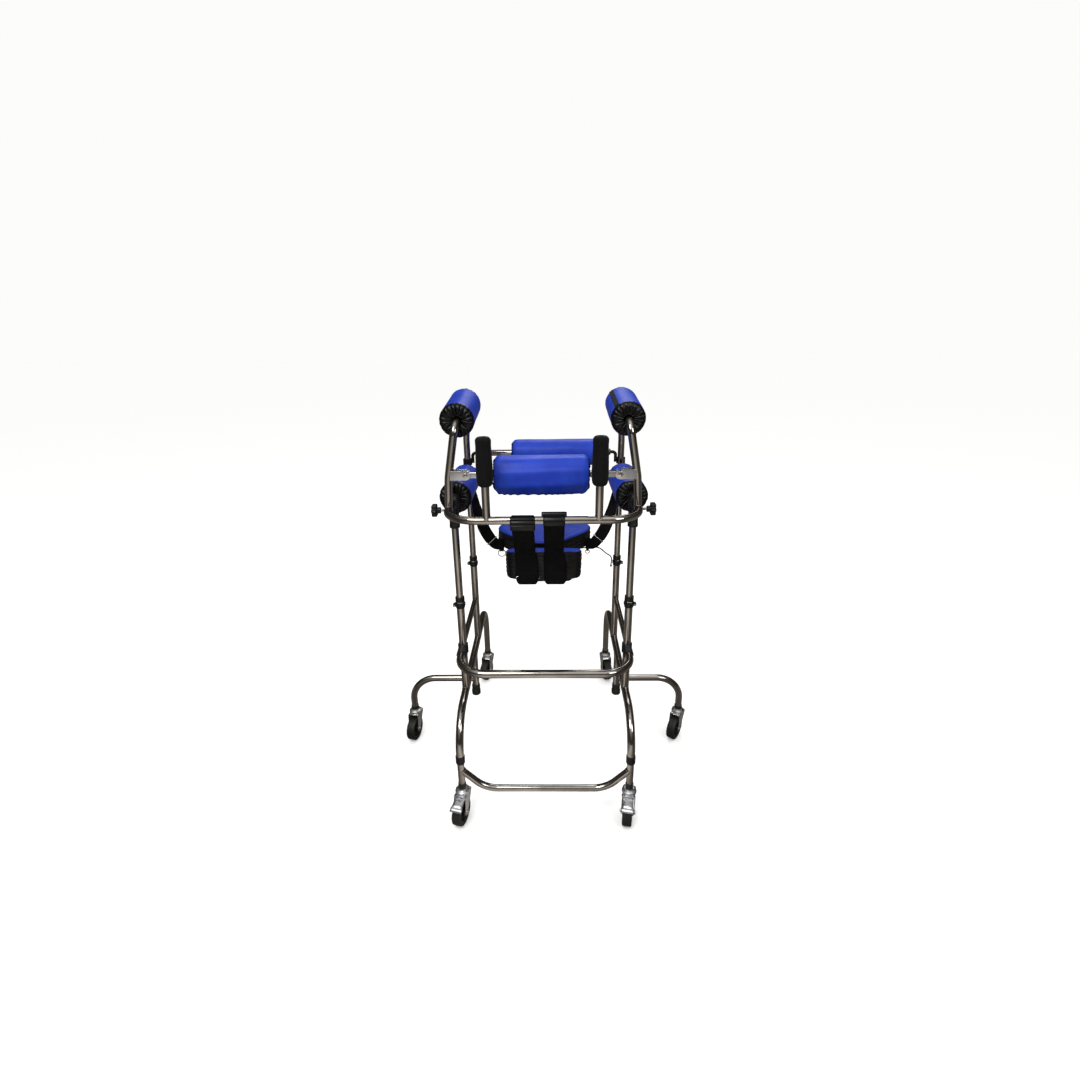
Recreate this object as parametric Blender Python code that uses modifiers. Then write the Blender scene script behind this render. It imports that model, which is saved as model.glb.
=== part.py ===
"""Six-caster standing walker: telescoping steel frame, underarm pads, hung seat, chest and back bars.

Frame coordinates, before the root offset: X across (0 on the midline), Y along the walk with 0 at the
front posts and the stretcher on the minus side, Z up from the floor. All sizes are in metres.
"""
import math

import bmesh
import bpy
from mathutils import Matrix, Vector

# Tubes, and the clearances between separate pieces
TRACK_HALF = 0.265
POST_SPAN = 0.335
TUBE_RADIUS = 0.0125
TUBE_WALL = 0.001
RAIL_RADIUS = 0.0095
GAP = 0.0003
RUNNING_GAP = 0.0005
WELD_STEP = 0.0002
CUT_REACH = 0.080
POST_BORE_RADIUS = TUBE_RADIUS - TUBE_WALL
INNER_RADIUS = POST_BORE_RADIUS - RUNNING_GAP

# Casters
WHEEL_RADIUS = 0.0445
WHEEL_WIDTH = 0.030
HUB_STEP = 0.002
HUB_RADIUS = 0.013
TYRE_DEPTH = 0.0135
TYRE_SHOULDER = 0.005
AXLE_RADIUS = 0.004
AXLE_HEAD_RADIUS = 0.0065
AXLE_HEAD_HEIGHT = 0.0035
CASTER_TRAIL = 0.022
WHEEL_SIDE_GAP = 0.001
WHEEL_HEADROOM = 0.017
FORK_SHEET = 0.0025
FORK_LENGTH = 0.050
FORK_EYE_RADIUS = 0.010
RACE_RADIUS = 0.0235
RACE_NECK_RADIUS = 0.0150
RACE_HEIGHT = 0.009
RACE_NECK_HEIGHT = 0.007
STEM_RADIUS = 0.0055
STEM_LENGTH = 0.030
PEDAL_PIVOT_Y = -0.016
PEDAL_TOP_GAP = 0.0007
PEDAL_SIDE_GAP = 0.0015
PEDAL_LENGTH = 0.052
PEDAL_SHEET = 0.002
PEDAL_SLOPE = math.radians(18)
PEDAL_PIN_RADIUS = 0.0022
PEDAL_SLEEVE_WALL = 0.0026
HUB_WIDTH = WHEEL_WIDTH + 2 * HUB_STEP
RIM_RADIUS = WHEEL_RADIUS - TYRE_DEPTH
FORK_INSIDE = HUB_WIDTH + 2 * WHEEL_SIDE_GAP
FORK_TOP_Z = 2 * WHEEL_RADIUS + WHEEL_HEADROOM
CASTER_SOCKET_Z = FORK_TOP_Z + RACE_HEIGHT + RACE_NECK_HEIGHT
PEDAL_SLEEVE_RADIUS = PEDAL_PIN_RADIUS + PEDAL_SLEEVE_WALL
PEDAL_PIVOT_Z = FORK_TOP_Z - FORK_SHEET - PEDAL_SLEEVE_RADIUS - PEDAL_TOP_GAP
PEDAL_WIDTH = FORK_INSIDE - 2 * PEDAL_SIDE_GAP

# Lower frame: heights above the casters' sockets, and reaches
FRONT_LEG_Y = -0.187
REAR_LEG_Y = 0.610
FRONT_BEND = 0.115
REAR_BEND = 0.108
LOW_RAIL_Z = CASTER_SOCKET_Z + 0.238
MID_RAIL_Z = CASTER_SOCKET_Z + 0.409
POST_TOP_Z = CASTER_SOCKET_Z + 0.554
LEG_SOCKET_Z = CASTER_SOCKET_Z + 0.110
MID_BAR_Y = -0.150
MID_BAR_Z = CASTER_SOCKET_Z + 0.395
MID_BAR_BEND = 0.090
STRETCHER_Z = CASTER_SOCKET_Z - 0.005
STRETCHER_RISE = 0.074
STRETCHER_BEND = 0.100

# Outrigger
OUTRIGGER_Y = 0.214
OUTRIGGER_Z = CASTER_SOCKET_Z + 0.133
OUTRIGGER_ARM = 0.240
OUTRIGGER_REACH = TRACK_HALF + OUTRIGGER_ARM
OUTRIGGER_BEND = 0.090
TIP_BOTTOM_Z = CASTER_SOCKET_Z + 0.066
TIP_FLOOR = 0.007
TIP_HEIGHT = 0.042
TIP_WALL = 0.0025
TIP_FLARE = 0.001
TIP_SHOULDER = 0.020
TIP_BORE_RADIUS = TUBE_RADIUS + RUNNING_GAP
TIP_RADIUS = TIP_BORE_RADIUS + TIP_WALL
DROP_END_Z = TIP_BOTTOM_Z + TIP_FLOOR

# Collars and clamps
COLLAR_WALL = 0.0017
COLLAR_HEIGHT = 0.038
COLLAR_FLANGE_STEP = 0.0023
COLLAR_FLANGE_HEIGHT = 0.005
COLLAR_TAB_STEP = 0.0062
COLLAR_TAB_WIDTH = 0.014
COLLAR_TAB_HEIGHT = 0.010
COLLAR_LAP = 0.012
COLLAR_BORE_RADIUS = TUBE_RADIUS + GAP
COLLAR_RADIUS = COLLAR_BORE_RADIUS + COLLAR_WALL
COLLAR_FLANGE = COLLAR_RADIUS + COLLAR_FLANGE_STEP
LEG_COLLAR_HEIGHT = 0.028
CLAMP_WALL = 0.0037
CLAMP_SOCKET_WALL = 0.0031
CLAMP_RADIUS = COLLAR_BORE_RADIUS + CLAMP_WALL
CLAMP_SOCKET_RADIUS = COLLAR_BORE_RADIUS + CLAMP_SOCKET_WALL
CLAMP_HEIGHT = 0.033
CLAMP_SOCKET_REACH = 0.048
CLAMP_BAR_START = 0.020

# Upper frame: the arm rail, and what stands on it
INNER_LAP = 0.130
ARM_RAIL_Z = CASTER_SOCKET_Z + 0.889
ARM_RAIL_FRONT_Y = -0.178
ARM_RAIL_BEND = 0.090
GRIP_HALF_SPACING = 0.148
GRIP_POST_RADIUS = 0.0106
GRIP_BOTTOM_Z = ARM_RAIL_Z + 0.094
GRIP_LENGTH = 0.127
GRIP_CAP = 0.009
GRIP_RADIUS = 0.022
GRIP_EDGE = 0.006
GRIP_TOP_Z = GRIP_BOTTOM_Z + GRIP_LENGTH
GRIP_POST_TOP_Z = GRIP_TOP_Z - GRIP_CAP
CRUTCH_FOOT_Y = -0.075
CRUTCH_NEAR_HALF = TRACK_HALF - 0.031
CRUTCH_FAR_HALF = TRACK_HALF - 0.027
CRUTCH_NEAR_Z = ARM_RAIL_Z + 0.2355
CRUTCH_FAR_Z = CRUTCH_NEAR_Z + 0.0455
CRUTCH_LEAN_START_Z = ARM_RAIL_Z + 0.139
CRUTCH_KNEE_HALF = TRACK_HALF - 0.0045
CRUTCH_KNEE_Z = ARM_RAIL_Z + 0.089
CRUTCH_FRONT_BEND = 0.035
CRUTCH_REAR_BEND = 0.060
CRUTCH_LEAN_BEND = 0.250
CRUTCH_KNEE_BEND = 0.150
FITTING_SLEEVE_LENGTH = 0.080
FITTING_SLEEVE_WALL = 0.0037
FITTING_SADDLE_WALL = 0.0052
FITTING_SADDLE_LENGTH = 0.056
FITTING_BOSS_RADIUS = 0.010
FITTING_BOSS_LENGTH = 0.0105
FITTING_BORE_RADIUS = INNER_RADIUS + GAP
FITTING_SLEEVE_RADIUS = FITTING_BORE_RADIUS + FITTING_SLEEVE_WALL
FITTING_SADDLE_RADIUS = FITTING_BORE_RADIUS + FITTING_SADDLE_WALL
FITTING_BOSS_REACH = FITTING_SLEEVE_RADIUS + FITTING_BOSS_LENGTH
FITTING_BOTTOM_Z = ARM_RAIL_Z - FITTING_SLEEVE_LENGTH
KNOB_Z = ARM_RAIL_Z - 0.026
KNOB_GAP = 0.013
KNOB_RADIUS = 0.0200
KNOB_LOBES = 6
KNOB_LOBE_DEPTH = 0.0028
KNOB_HEAD_THICKNESS = 0.015
KNOB_HUB_RADIUS = 0.0095
KNOB_HUB_LENGTH = 0.011
STUD_RADIUS = 0.004
STUD_SEAT_DEPTH = 0.010

# Chest bar and its brackets
GATE_Z = ARM_RAIL_Z + 0.099
GATE_BAR_HALF = 0.0085
GATE_BAR_END = 0.0105
GATE_BOLT_X = TRACK_HALF - 0.0533
GATE_BOLT_RADIUS = 0.004
GATE_BOLT_HEAD = 0.0075
GATE_BOLT_HEAD_HEIGHT = 0.005
BRACKET_HALF_HEIGHT = 0.0135
BRACKET_SHEET = 0.002
BRACKET_SLOT_END = GATE_BOLT_X + GATE_BAR_END + 0.0088
CHEST_PAD_RADIUS = 0.054
CHEST_PAD_LENGTH = 0.261
CHEST_PAD_X = -0.003

# Back bar
BACK_BAR_Z = ARM_RAIL_Z + 0.075
BACK_BAR_RADIUS = 0.0105
BACK_CLIP_WALL = 0.004
BACK_CLIP_BORE_RADIUS = INNER_RADIUS + RUNNING_GAP
BACK_CLIP_RADIUS = BACK_CLIP_BORE_RADIUS + BACK_CLIP_WALL
BACK_CLIP_HEIGHT = 0.022
BACK_CLIP_DROP = 0.030
BACK_CLIP_LIP = 0.001
BACK_ARM_RADIUS = 0.0055
BACK_ARM_OFFSET = 0.0185
BACK_ARM_BEND = 0.011
BACK_ARM_LAP = 0.006
BACK_BAR_END = 0.040
BACK_PAD_RADIUS = 0.046
BACK_PAD_LENGTH = 0.300
BACK_PAD_X = 0.040

# Arm and underarm pads
ARM_PAD_RADIUS = 0.050
ARM_PAD_START_Y = FITTING_SADDLE_LENGTH / 2 + 0.007
ARM_PAD_END_Y = POST_SPAN - 0.045
CRUTCH_PAD_RADIUS = 0.049
CRUTCH_PAD_START_Y = CRUTCH_FOOT_Y + 0.033
CRUTCH_PAD_LENGTH = 0.213
PAD_BORE_GAP = 0.0003
PAD_CROWN = 0.0015
PAD_EDGE = 0.008
PAD_DIMPLE = 0.006
PAD_PLEAT = 0.0025
PAD_PLEAT_SHARE = 0.62
PAD_STEPS = 20

# Seat: rows of (y, half width), and the nose's rows as shares of its depth and half width
SEAT_TOP_Z = ARM_RAIL_Z - 0.169
SEAT_THICKNESS = 0.056
SEAT_BOTTOM_Z = SEAT_TOP_Z - SEAT_THICKNESS
SEAT_ROWS = ((0.098, 0.045), (0.150, 0.090), (0.215, 0.160), (0.275, 0.166), (0.330, 0.130))
SEAT_CROWN = 0.006
SEAT_SINK = 0.006
SEAT_BASE_THICKNESS = 0.010
SEAT_BASE_HALF = 0.085
SEAT_BASE_FRONT_Y = -0.050
SEAT_BASE_BACK_Y = 0.290
NOSE_HALF = 0.116
NOSE_FRONT_Y = -0.068
NOSE_BACK_Y = 0.038
NOSE_ROWS = ((0.0, 0.92), (0.25, 1.0), (0.75, 1.0), (1.0, 0.85))
NOSE_CROWN = 0.004
NOSE_TOP_Z = SEAT_TOP_Z + 0.041
NOSE_TILT = 0.033
NOSE_BOTTOM_Z = SEAT_BOTTOM_Z - 0.0015
SEAT_BASE_TOP_Z = NOSE_BOTTOM_Z - GAP
SEAT_BASE_BOTTOM_Z = SEAT_BASE_TOP_Z - SEAT_BASE_THICKNESS
CUSHION_LEVELS = 2
CUSHION_CREASE = 0.6

# Straps and cord; a side strap's curve is in shares of the way from the seat to the arm rail
STRAP_THICKNESS = 0.003
FRONT_STRAP_WIDTH = 0.064
FRONT_STRAP_LEFT_X = -0.053
FRONT_STRAP_RIGHT_X = 0.030
STRAP_BOW = 0.020
STRAP_BOW_FALL = 0.028
STRAP_TAIL = 0.035
STRAP_CURL = 0.012
STRAP_UNDER = 0.060
STRAP_WRAP_DEGREES = 220
SIDE_STRAP_LOOP_DEGREES = 200
SIDE_STRAP_LOOP_WIDTH = 0.026
SIDE_STRAP_WIDTH = 0.040
SIDE_STRAP_TWIST_STEPS = 6
SIDE_STRAP_LOOP_Y = ARM_PAD_END_Y + 0.017
SIDE_STRAP_CURVE = ((0.94, 1.0, 0.745), (0.82, 0.74, 0.47), (0.58, 0.34, 0.20), (0.26, 0.06, 0.0))
SIDE_STRAP_END_Y = 0.205
SIDE_STRAP_END_Z = SEAT_BOTTOM_Z + 0.014
CORD_RADIUS = 0.0022
CORD_SEWN_END = (0.020, 0.222)
CORD_UNDER_SEAT = (0.075, 0.226)
CORD_CORNER = (0.150, 0.240)
CORD_SAG = 0.002
CORD_HANG = ((0.190, 0.270, 0.758), (0.222, 0.305, 0.722))
CORD_TIE_RISE = 0.018
CORD_TAIL = 0.034
CORD_CLEAR = 0.002

CASTERS = {
    "front_left": (-TRACK_HALF, FRONT_LEG_Y, math.radians(-15)),
    "front_right": (TRACK_HALF, FRONT_LEG_Y, math.radians(-12)),
    "rear_left": (-TRACK_HALF, REAR_LEG_Y, math.radians(-18)),
    "rear_right": (TRACK_HALF, REAR_LEG_Y, math.radians(12)),
    "outer_left": (-OUTRIGGER_REACH, OUTRIGGER_Y, math.radians(-12)),
    "outer_right": (OUTRIGGER_REACH, OUTRIGGER_Y, math.radians(-35)),
}

# The box of the finished walker is centred on the world origin by this offset of the midline
MIDLINE_X = -0.000956
MIDLINE_Y = -0.192659

SIDES = {"left": -1, "right": 1}
PIPE_RESOLUTION = 3
WHEEL_SIDES = 20
SMALL_SIDES = 12
PIN_SIDES = 10
ROUND_SIDES = 16
BORE_SIDES = 20
FINE_SIDES = 20

# The wheel stands on a flat facet of its tyre
WHEEL_CENTRE_Z = WHEEL_RADIUS * math.cos(math.pi / WHEEL_SIDES)

STEEL = ("stainless_steel", (0.62, 0.60, 0.58), 0.18, 1.0)
ZINC = ("zinc_plate", (0.72, 0.73, 0.75), 0.32, 1.0)
BLACK_PLASTIC = ("black_plastic", (0.02, 0.02, 0.02), 0.45, 0.0)
RUBBER = ("black_rubber", (0.025, 0.025, 0.025), 0.7, 0.0)
FOAM = ("black_foam", (0.018, 0.018, 0.02), 0.9, 0.0)
BLUE_NYLON = ("blue_nylon", (0.05, 0.09, 0.45), 0.4, 0.0)
WEBBING = ("black_webbing", (0.015, 0.015, 0.015), 0.8, 0.0)

PARTS = None
CUTTERS = None


def clear_scene():
    """Remove every object of the opened scene."""
    for obj in list(bpy.data.objects):
        bpy.data.objects.remove(obj, do_unlink=True)


def collection(name):
    """A new collection linked to the scene."""
    made = bpy.data.collections.new(name)
    bpy.context.scene.collection.children.link(made)
    return made


def material(finish):
    """The Principled material of a finish, made once."""
    name, colour, roughness, metallic = finish
    if name in bpy.data.materials:
        return bpy.data.materials[name]
    made = bpy.data.materials.new(name)
    made.use_nodes = True
    shader = made.node_tree.nodes["Principled BSDF"]
    shader.inputs["Base Color"].default_value = (*colour, 1.0)
    shader.inputs["Roughness"].default_value = roughness
    shader.inputs["Metallic"].default_value = metallic
    made.diffuse_color = (*colour, 1.0)
    return made


def empty(name, parent=None, location=(0, 0, 0), turn=0.0):
    """An empty that carries a moving sub-assembly on its joint's axis."""
    made = bpy.data.objects.new(name, None)
    made.parent = parent
    made.location = location
    made.rotation_euler = (0, 0, turn)
    PARTS.objects.link(made)
    return made


def add(name, data, finish, parent, location=(0, 0, 0), rotation=(0, 0, 0)):
    """A node of the part from a mesh or a curve."""
    made = bpy.data.objects.new(name, data)
    if not data.materials:
        data.materials.append(material(finish))
    made.parent = parent
    made.location = location
    made.rotation_euler = rotation
    PARTS.objects.link(made)
    return made


def helper(name, data, parent=None, location=(0, 0, 0), rotation=(0, 0, 0)):
    """A cutter or an operand, which the build leaves out."""
    made = bpy.data.objects.new(name, data)
    made.parent = parent
    made.location = location
    made.rotation_euler = rotation
    made.hide_render = True
    made.display_type = "WIRE"
    CUTTERS.objects.link(made)
    return made


def baked(obj):
    """The evaluated mesh of a helper object, which is removed with its operands."""
    bpy.context.view_layer.update()
    graph = bpy.context.evaluated_depsgraph_get()
    mesh = bpy.data.meshes.new_from_object(obj.evaluated_get(graph), depsgraph=graph)
    mesh.transform(obj.matrix_world)
    mesh.materials.clear()
    operands = [m.object for m in obj.modifiers if m.type == "BOOLEAN"]
    for used in [obj, *operands]:
        bpy.data.objects.remove(used, do_unlink=True)
    return mesh


def smooth(mesh, angle=math.radians(35)):
    """Shade round faces smooth and keep the sharp edges."""
    mesh.shade_smooth()
    mesh.set_sharp_from_angle(angle=angle)
    return mesh


def boolean(obj, operand, operation):
    """Join an operand to an object or cut it out of it."""
    modifier = obj.modifiers.new(operation.lower(), "BOOLEAN")
    modifier.operation = operation
    modifier.object = operand
    modifier.solver = "EXACT"
    return modifier


def pipe_curve(name, points, radius, resolution=PIPE_RESOLUTION):
    """A round bar along points, with filled caps."""
    curve = bpy.data.curves.new(name, "CURVE")
    curve.dimensions = "3D"
    curve.bevel_depth = radius
    curve.bevel_resolution = resolution
    curve.use_fill_caps = True
    spline = curve.splines.new("POLY")
    spline.points.add(len(points) - 1)
    for slot, point in zip(spline.points, points):
        slot.co = (*point, 1.0)
    return curve


def pipe_mesh(name, points, radius, resolution=PIPE_RESOLUTION):
    """The same bar as a closed mesh, ready to be cut or joined."""
    mesh = baked(helper(name, pipe_curve(name, points, radius, resolution)))
    return welded(mesh)


def welded(mesh, distance=0.00001):
    """Close the seams of a mesh made from a curve."""
    work = bmesh.new()
    work.from_mesh(mesh)
    bmesh.ops.remove_doubles(work, verts=work.verts, dist=distance)
    bmesh.ops.recalc_face_normals(work, faces=work.faces)
    work.to_mesh(mesh)
    work.free()
    return mesh


def rod_mesh(name, radius, start, end, sides=ROUND_SIDES):
    """A straight round bar between two points."""
    start, end = Vector(start), Vector(end)
    axis = end - start
    work = bmesh.new()
    bmesh.ops.create_cone(
        work, cap_ends=True, segments=sides, radius1=radius, radius2=radius, depth=axis.length
    )
    turn = axis.to_track_quat("Z", "Y").to_matrix().to_4x4()
    work.transform(Matrix.Translation((start + end) / 2) @ turn)
    mesh = bpy.data.meshes.new(name)
    work.to_mesh(mesh)
    work.free()
    return mesh


def box_mesh(name, low, high):
    """A box between two corners."""
    low, high = Vector(low), Vector(high)
    work = bmesh.new()
    bmesh.ops.create_cube(work, size=1.0)
    size = high - low
    work.transform(Matrix.Translation((low + high) / 2) @ Matrix.Diagonal((*size, 1.0)))
    mesh = bpy.data.meshes.new(name)
    work.to_mesh(mesh)
    work.free()
    return mesh


def turned_mesh(name, profile, steps, centred=True):
    """A turned shape; the profile of (radius, height) runs top to bottom down the outer side."""
    mesh = bpy.data.meshes.new(name)
    count = len(profile)
    edges = [(i, i + 1) for i in range(count - 1)]
    if not centred:
        edges.append((count - 1, 0))
    mesh.from_pydata([(r, 0.0, z) for r, z in profile], edges, [])
    turned = helper(name, mesh)
    screw = turned.modifiers.new("turn", "SCREW")
    screw.axis = "Z"
    screw.angle = 2 * math.pi
    screw.steps = steps
    screw.render_steps = steps
    screw.use_merge_vertices = True
    screw.merge_threshold = 0.00001
    result = baked(turned)
    return smooth(welded(result))


def outline_mesh(name, outline, half_thickness):
    """A flat outline of (x, y) points, extruded to both sides along Z."""
    curve = bpy.data.curves.new(name, "CURVE")
    curve.dimensions = "2D"
    curve.fill_mode = "BOTH"
    curve.extrude = half_thickness
    spline = curve.splines.new("POLY")
    spline.points.add(len(outline) - 1)
    for slot, (x, y) in zip(spline.points, outline):
        slot.co = (x, y, 0.0, 1.0)
    spline.use_cyclic_u = True
    mesh = welded(baked(helper(name, curve)))
    work = bmesh.new()
    work.from_mesh(mesh)
    bmesh.ops.dissolve_limit(work, angle_limit=math.radians(1), verts=work.verts, edges=work.edges)
    work.to_mesh(mesh)
    work.free()
    return mesh


def ribbon_mesh(name, centres, acrosses, thickness):
    """A flat strap: a strip along centres, at each as wide as its across vector, given its thickness."""
    points = []
    for centre, across in zip(centres, acrosses):
        half = Vector(across) / 2
        points += [Vector(centre) - half, Vector(centre) + half]
    faces = [(2 * i, 2 * i + 1, 2 * i + 3, 2 * i + 2) for i in range(len(centres) - 1)]
    mesh = bpy.data.meshes.new(name)
    mesh.from_pydata(points, [], faces)
    strip = helper(name, mesh)
    wall = strip.modifiers.new("thickness", "SOLIDIFY")
    wall.thickness = thickness
    wall.offset = 0.0
    wall.use_even_offset = True
    return smooth(welded(baked(strip)), math.radians(60))


def rounded_path(corners, radii, steps=6):
    """Points through corners, with each inner corner replaced by an arc of its radius."""
    corners = [Vector(corner) for corner in corners]
    path = [corners[0]]
    for before, corner, after, radius in zip(corners, corners[1:], corners[2:], radii):
        back = (before - corner).normalized()
        ahead = (after - corner).normalized()
        half = back.angle(ahead) / 2
        reach = radius / math.tan(half)
        middle = corner + (back + ahead).normalized() * (radius / math.sin(half))
        start = corner + back * reach - middle
        end = corner + ahead * reach - middle
        sweep = start.angle(end)
        for i in range(steps + 1):
            share = i / steps
            weight_start = math.sin((1 - share) * sweep) / math.sin(sweep)
            weight_end = math.sin(share * sweep) / math.sin(sweep)
            path.append(middle + start * weight_start + end * weight_end)
    path.append(corners[-1])
    return path


def arc(centre, radius, first, last, steps):
    """Points (a, b) on an arc between two angles in degrees."""
    angles = [math.radians(first + (last - first) * i / steps) for i in range(steps + 1)]
    return [(centre[0] + radius * math.cos(a), centre[1] + radius * math.sin(a)) for a in angles]


def smooth_route(points, steps):
    """A Catmull-Rom curve through points, with steps samples for each stretch."""
    points = [Vector(point) for point in points]
    padded = [2 * points[0] - points[1], *points, 2 * points[-1] - points[-2]]
    route = []
    for before, start, end, after in zip(padded, padded[1:], padded[2:], padded[3:]):
        for i in range(steps):
            t = i / steps
            route.append(
                0.5
                * (
                    2 * start
                    + (end - before) * t
                    + (2 * before - 5 * start + 4 * end - after) * t**2
                    + (3 * start - before - 3 * end + after) * t**3
                )
            )
    route.append(points[-1])
    return route


def lower_frame(root):
    """The welded side frames, the bars between them, the outriggers and their plastic pieces."""
    for side, sign in SIDES.items():
        side_tube(root, side, sign)
        posts(root, side, sign)
        outrigger(root, side, sign)
        collars(root, side, sign)
        mid_clamp(root, side, sign)
    mid_bar(root)
    front_stretcher(root)


def side_tube(root, side, sign):
    """The low rail that turns down into the front leg and the rear leg."""
    x = sign * TRACK_HALF
    corners = [
        (x, FRONT_LEG_Y, LEG_SOCKET_Z),
        (x, FRONT_LEG_Y, LOW_RAIL_Z),
        (x, REAR_LEG_Y, LOW_RAIL_Z),
        (x, REAR_LEG_Y, CASTER_SOCKET_Z),
    ]
    name = f"side_tube_{side}"
    path = rounded_path(corners, [FRONT_BEND, REAR_BEND])
    made = add(name, pipe_mesh(name, path, TUBE_RADIUS), STEEL, root)
    boolean(made, stem_socket(f"cut_rear_stem_{side}", root, x, REAR_LEG_Y), "DIFFERENCE")


def stem_socket(name, root, x, y):
    """The cutter of the bore that a caster's stem turns in."""
    low, high = (x, y, CASTER_SOCKET_Z - STEM_LENGTH), (x, y, CASTER_SOCKET_Z + STEM_LENGTH + GAP)
    return helper(name, rod_mesh(name, STEM_RADIUS + GAP, low, high, SMALL_SIDES), root)


def rail_cutter(name, root, x, radius):
    """A rod along the low rail, a gap wider than it, that copes what is welded to it."""
    start = (x, -FRONT_BEND, LOW_RAIL_Z)
    end = (x, REAR_LEG_Y - REAR_BEND, LOW_RAIL_Z)
    return helper(name, rod_mesh(name, radius + GAP, start, end, FINE_SIDES), root)


def posts(root, side, sign):
    """The hollow front and rear posts; the side rail is welded to the rear one."""
    x = sign * TRACK_HALF
    foot = LOW_RAIL_Z + TUBE_RADIUS / 3
    cutter = rail_cutter(f"cut_low_rail_{side}", root, x, TUBE_RADIUS)
    for place, y in (("front", 0.0), ("rear", POST_SPAN)):
        name = f"{place}_post_{side}"
        post = add(name, rod_mesh(name, TUBE_RADIUS, (x, y, foot), (x, y, POST_TOP_Z)), STEEL, root)
        if place == "rear":
            rail = rod_mesh(f"rail_{side}", RAIL_RADIUS, (x, y, MID_RAIL_Z), (x, 0.0, MID_RAIL_Z))
            boolean(post, helper(f"join_rail_{side}", rail, root), "UNION")
            ahead = rod_mesh(
                f"ahead_{side}", TUBE_RADIUS + GAP, (x, 0, foot), (x, 0, POST_TOP_Z), FINE_SIDES
            )
            boolean(post, helper(f"cut_front_post_{side}", ahead, root), "DIFFERENCE")
            half = CLAMP_HEIGHT / 2 + GAP
            low, high = (x, 0, MID_BAR_Z - half), (x, 0, MID_BAR_Z + half)
            clamp = rod_mesh(f"clamp_{side}", CLAMP_RADIUS + GAP, low, high, FINE_SIDES)
            boolean(post, helper(f"cut_clamp_{side}", clamp, root), "DIFFERENCE")
        low, high = (x, y, foot - TUBE_RADIUS), (x, y, POST_TOP_Z + TUBE_RADIUS)
        bore = rod_mesh(f"bore_{name}", POST_BORE_RADIUS, low, high, BORE_SIDES)
        boolean(post, helper(f"cut_{name}", bore, root), "DIFFERENCE")
        boolean(post, cutter, "DIFFERENCE")


def outrigger(root, side, sign):
    """The drop post with its rubber tip and the side arm that carries the outer caster."""
    x = sign * TRACK_HALF
    name = f"outrigger_{side}"
    top = LOW_RAIL_Z - TUBE_RADIUS / 3
    drop = rod_mesh(name, TUBE_RADIUS, (x, OUTRIGGER_Y, DROP_END_Z), (x, OUTRIGGER_Y, top))
    arm = rounded_path(
        [
            (x, OUTRIGGER_Y, OUTRIGGER_Z),
            (sign * OUTRIGGER_REACH, OUTRIGGER_Y, OUTRIGGER_Z),
            (sign * OUTRIGGER_REACH, OUTRIGGER_Y, CASTER_SOCKET_Z),
        ],
        [OUTRIGGER_BEND],
    )
    made = add(name, drop, STEEL, root)
    arm_mesh = pipe_mesh(f"arm_{side}", arm, TUBE_RADIUS - WELD_STEP)
    boolean(made, helper(f"join_arm_{side}", arm_mesh, root), "UNION")
    boolean(made, bpy.data.objects[f"cut_low_rail_{side}"], "DIFFERENCE")
    socket = stem_socket(f"cut_outer_stem_{side}", root, sign * OUTRIGGER_REACH, OUTRIGGER_Y)
    boolean(made, socket, "DIFFERENCE")
    bore = TIP_BORE_RADIUS
    floor = TIP_FLOOR - GAP
    profile = [
        (0.0, floor),
        (bore, floor),
        (bore, TIP_HEIGHT),
        (TIP_RADIUS - TIP_FLARE, TIP_HEIGHT),
        (TIP_RADIUS - TIP_FLARE, TIP_SHOULDER),
        (TIP_RADIUS + TIP_FLARE, TIP_SHOULDER - 3 * TIP_FLARE),
        (TIP_RADIUS + TIP_FLARE, TIP_FLARE),
        (TIP_RADIUS, 0.0),
        (0.0, 0.0),
    ]
    tip = turned_mesh(f"post_tip_{side}", profile, ROUND_SIDES)
    add(f"post_tip_{side}", tip, RUBBER, root, (x, OUTRIGGER_Y, TIP_BOTTOM_Z))


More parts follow.
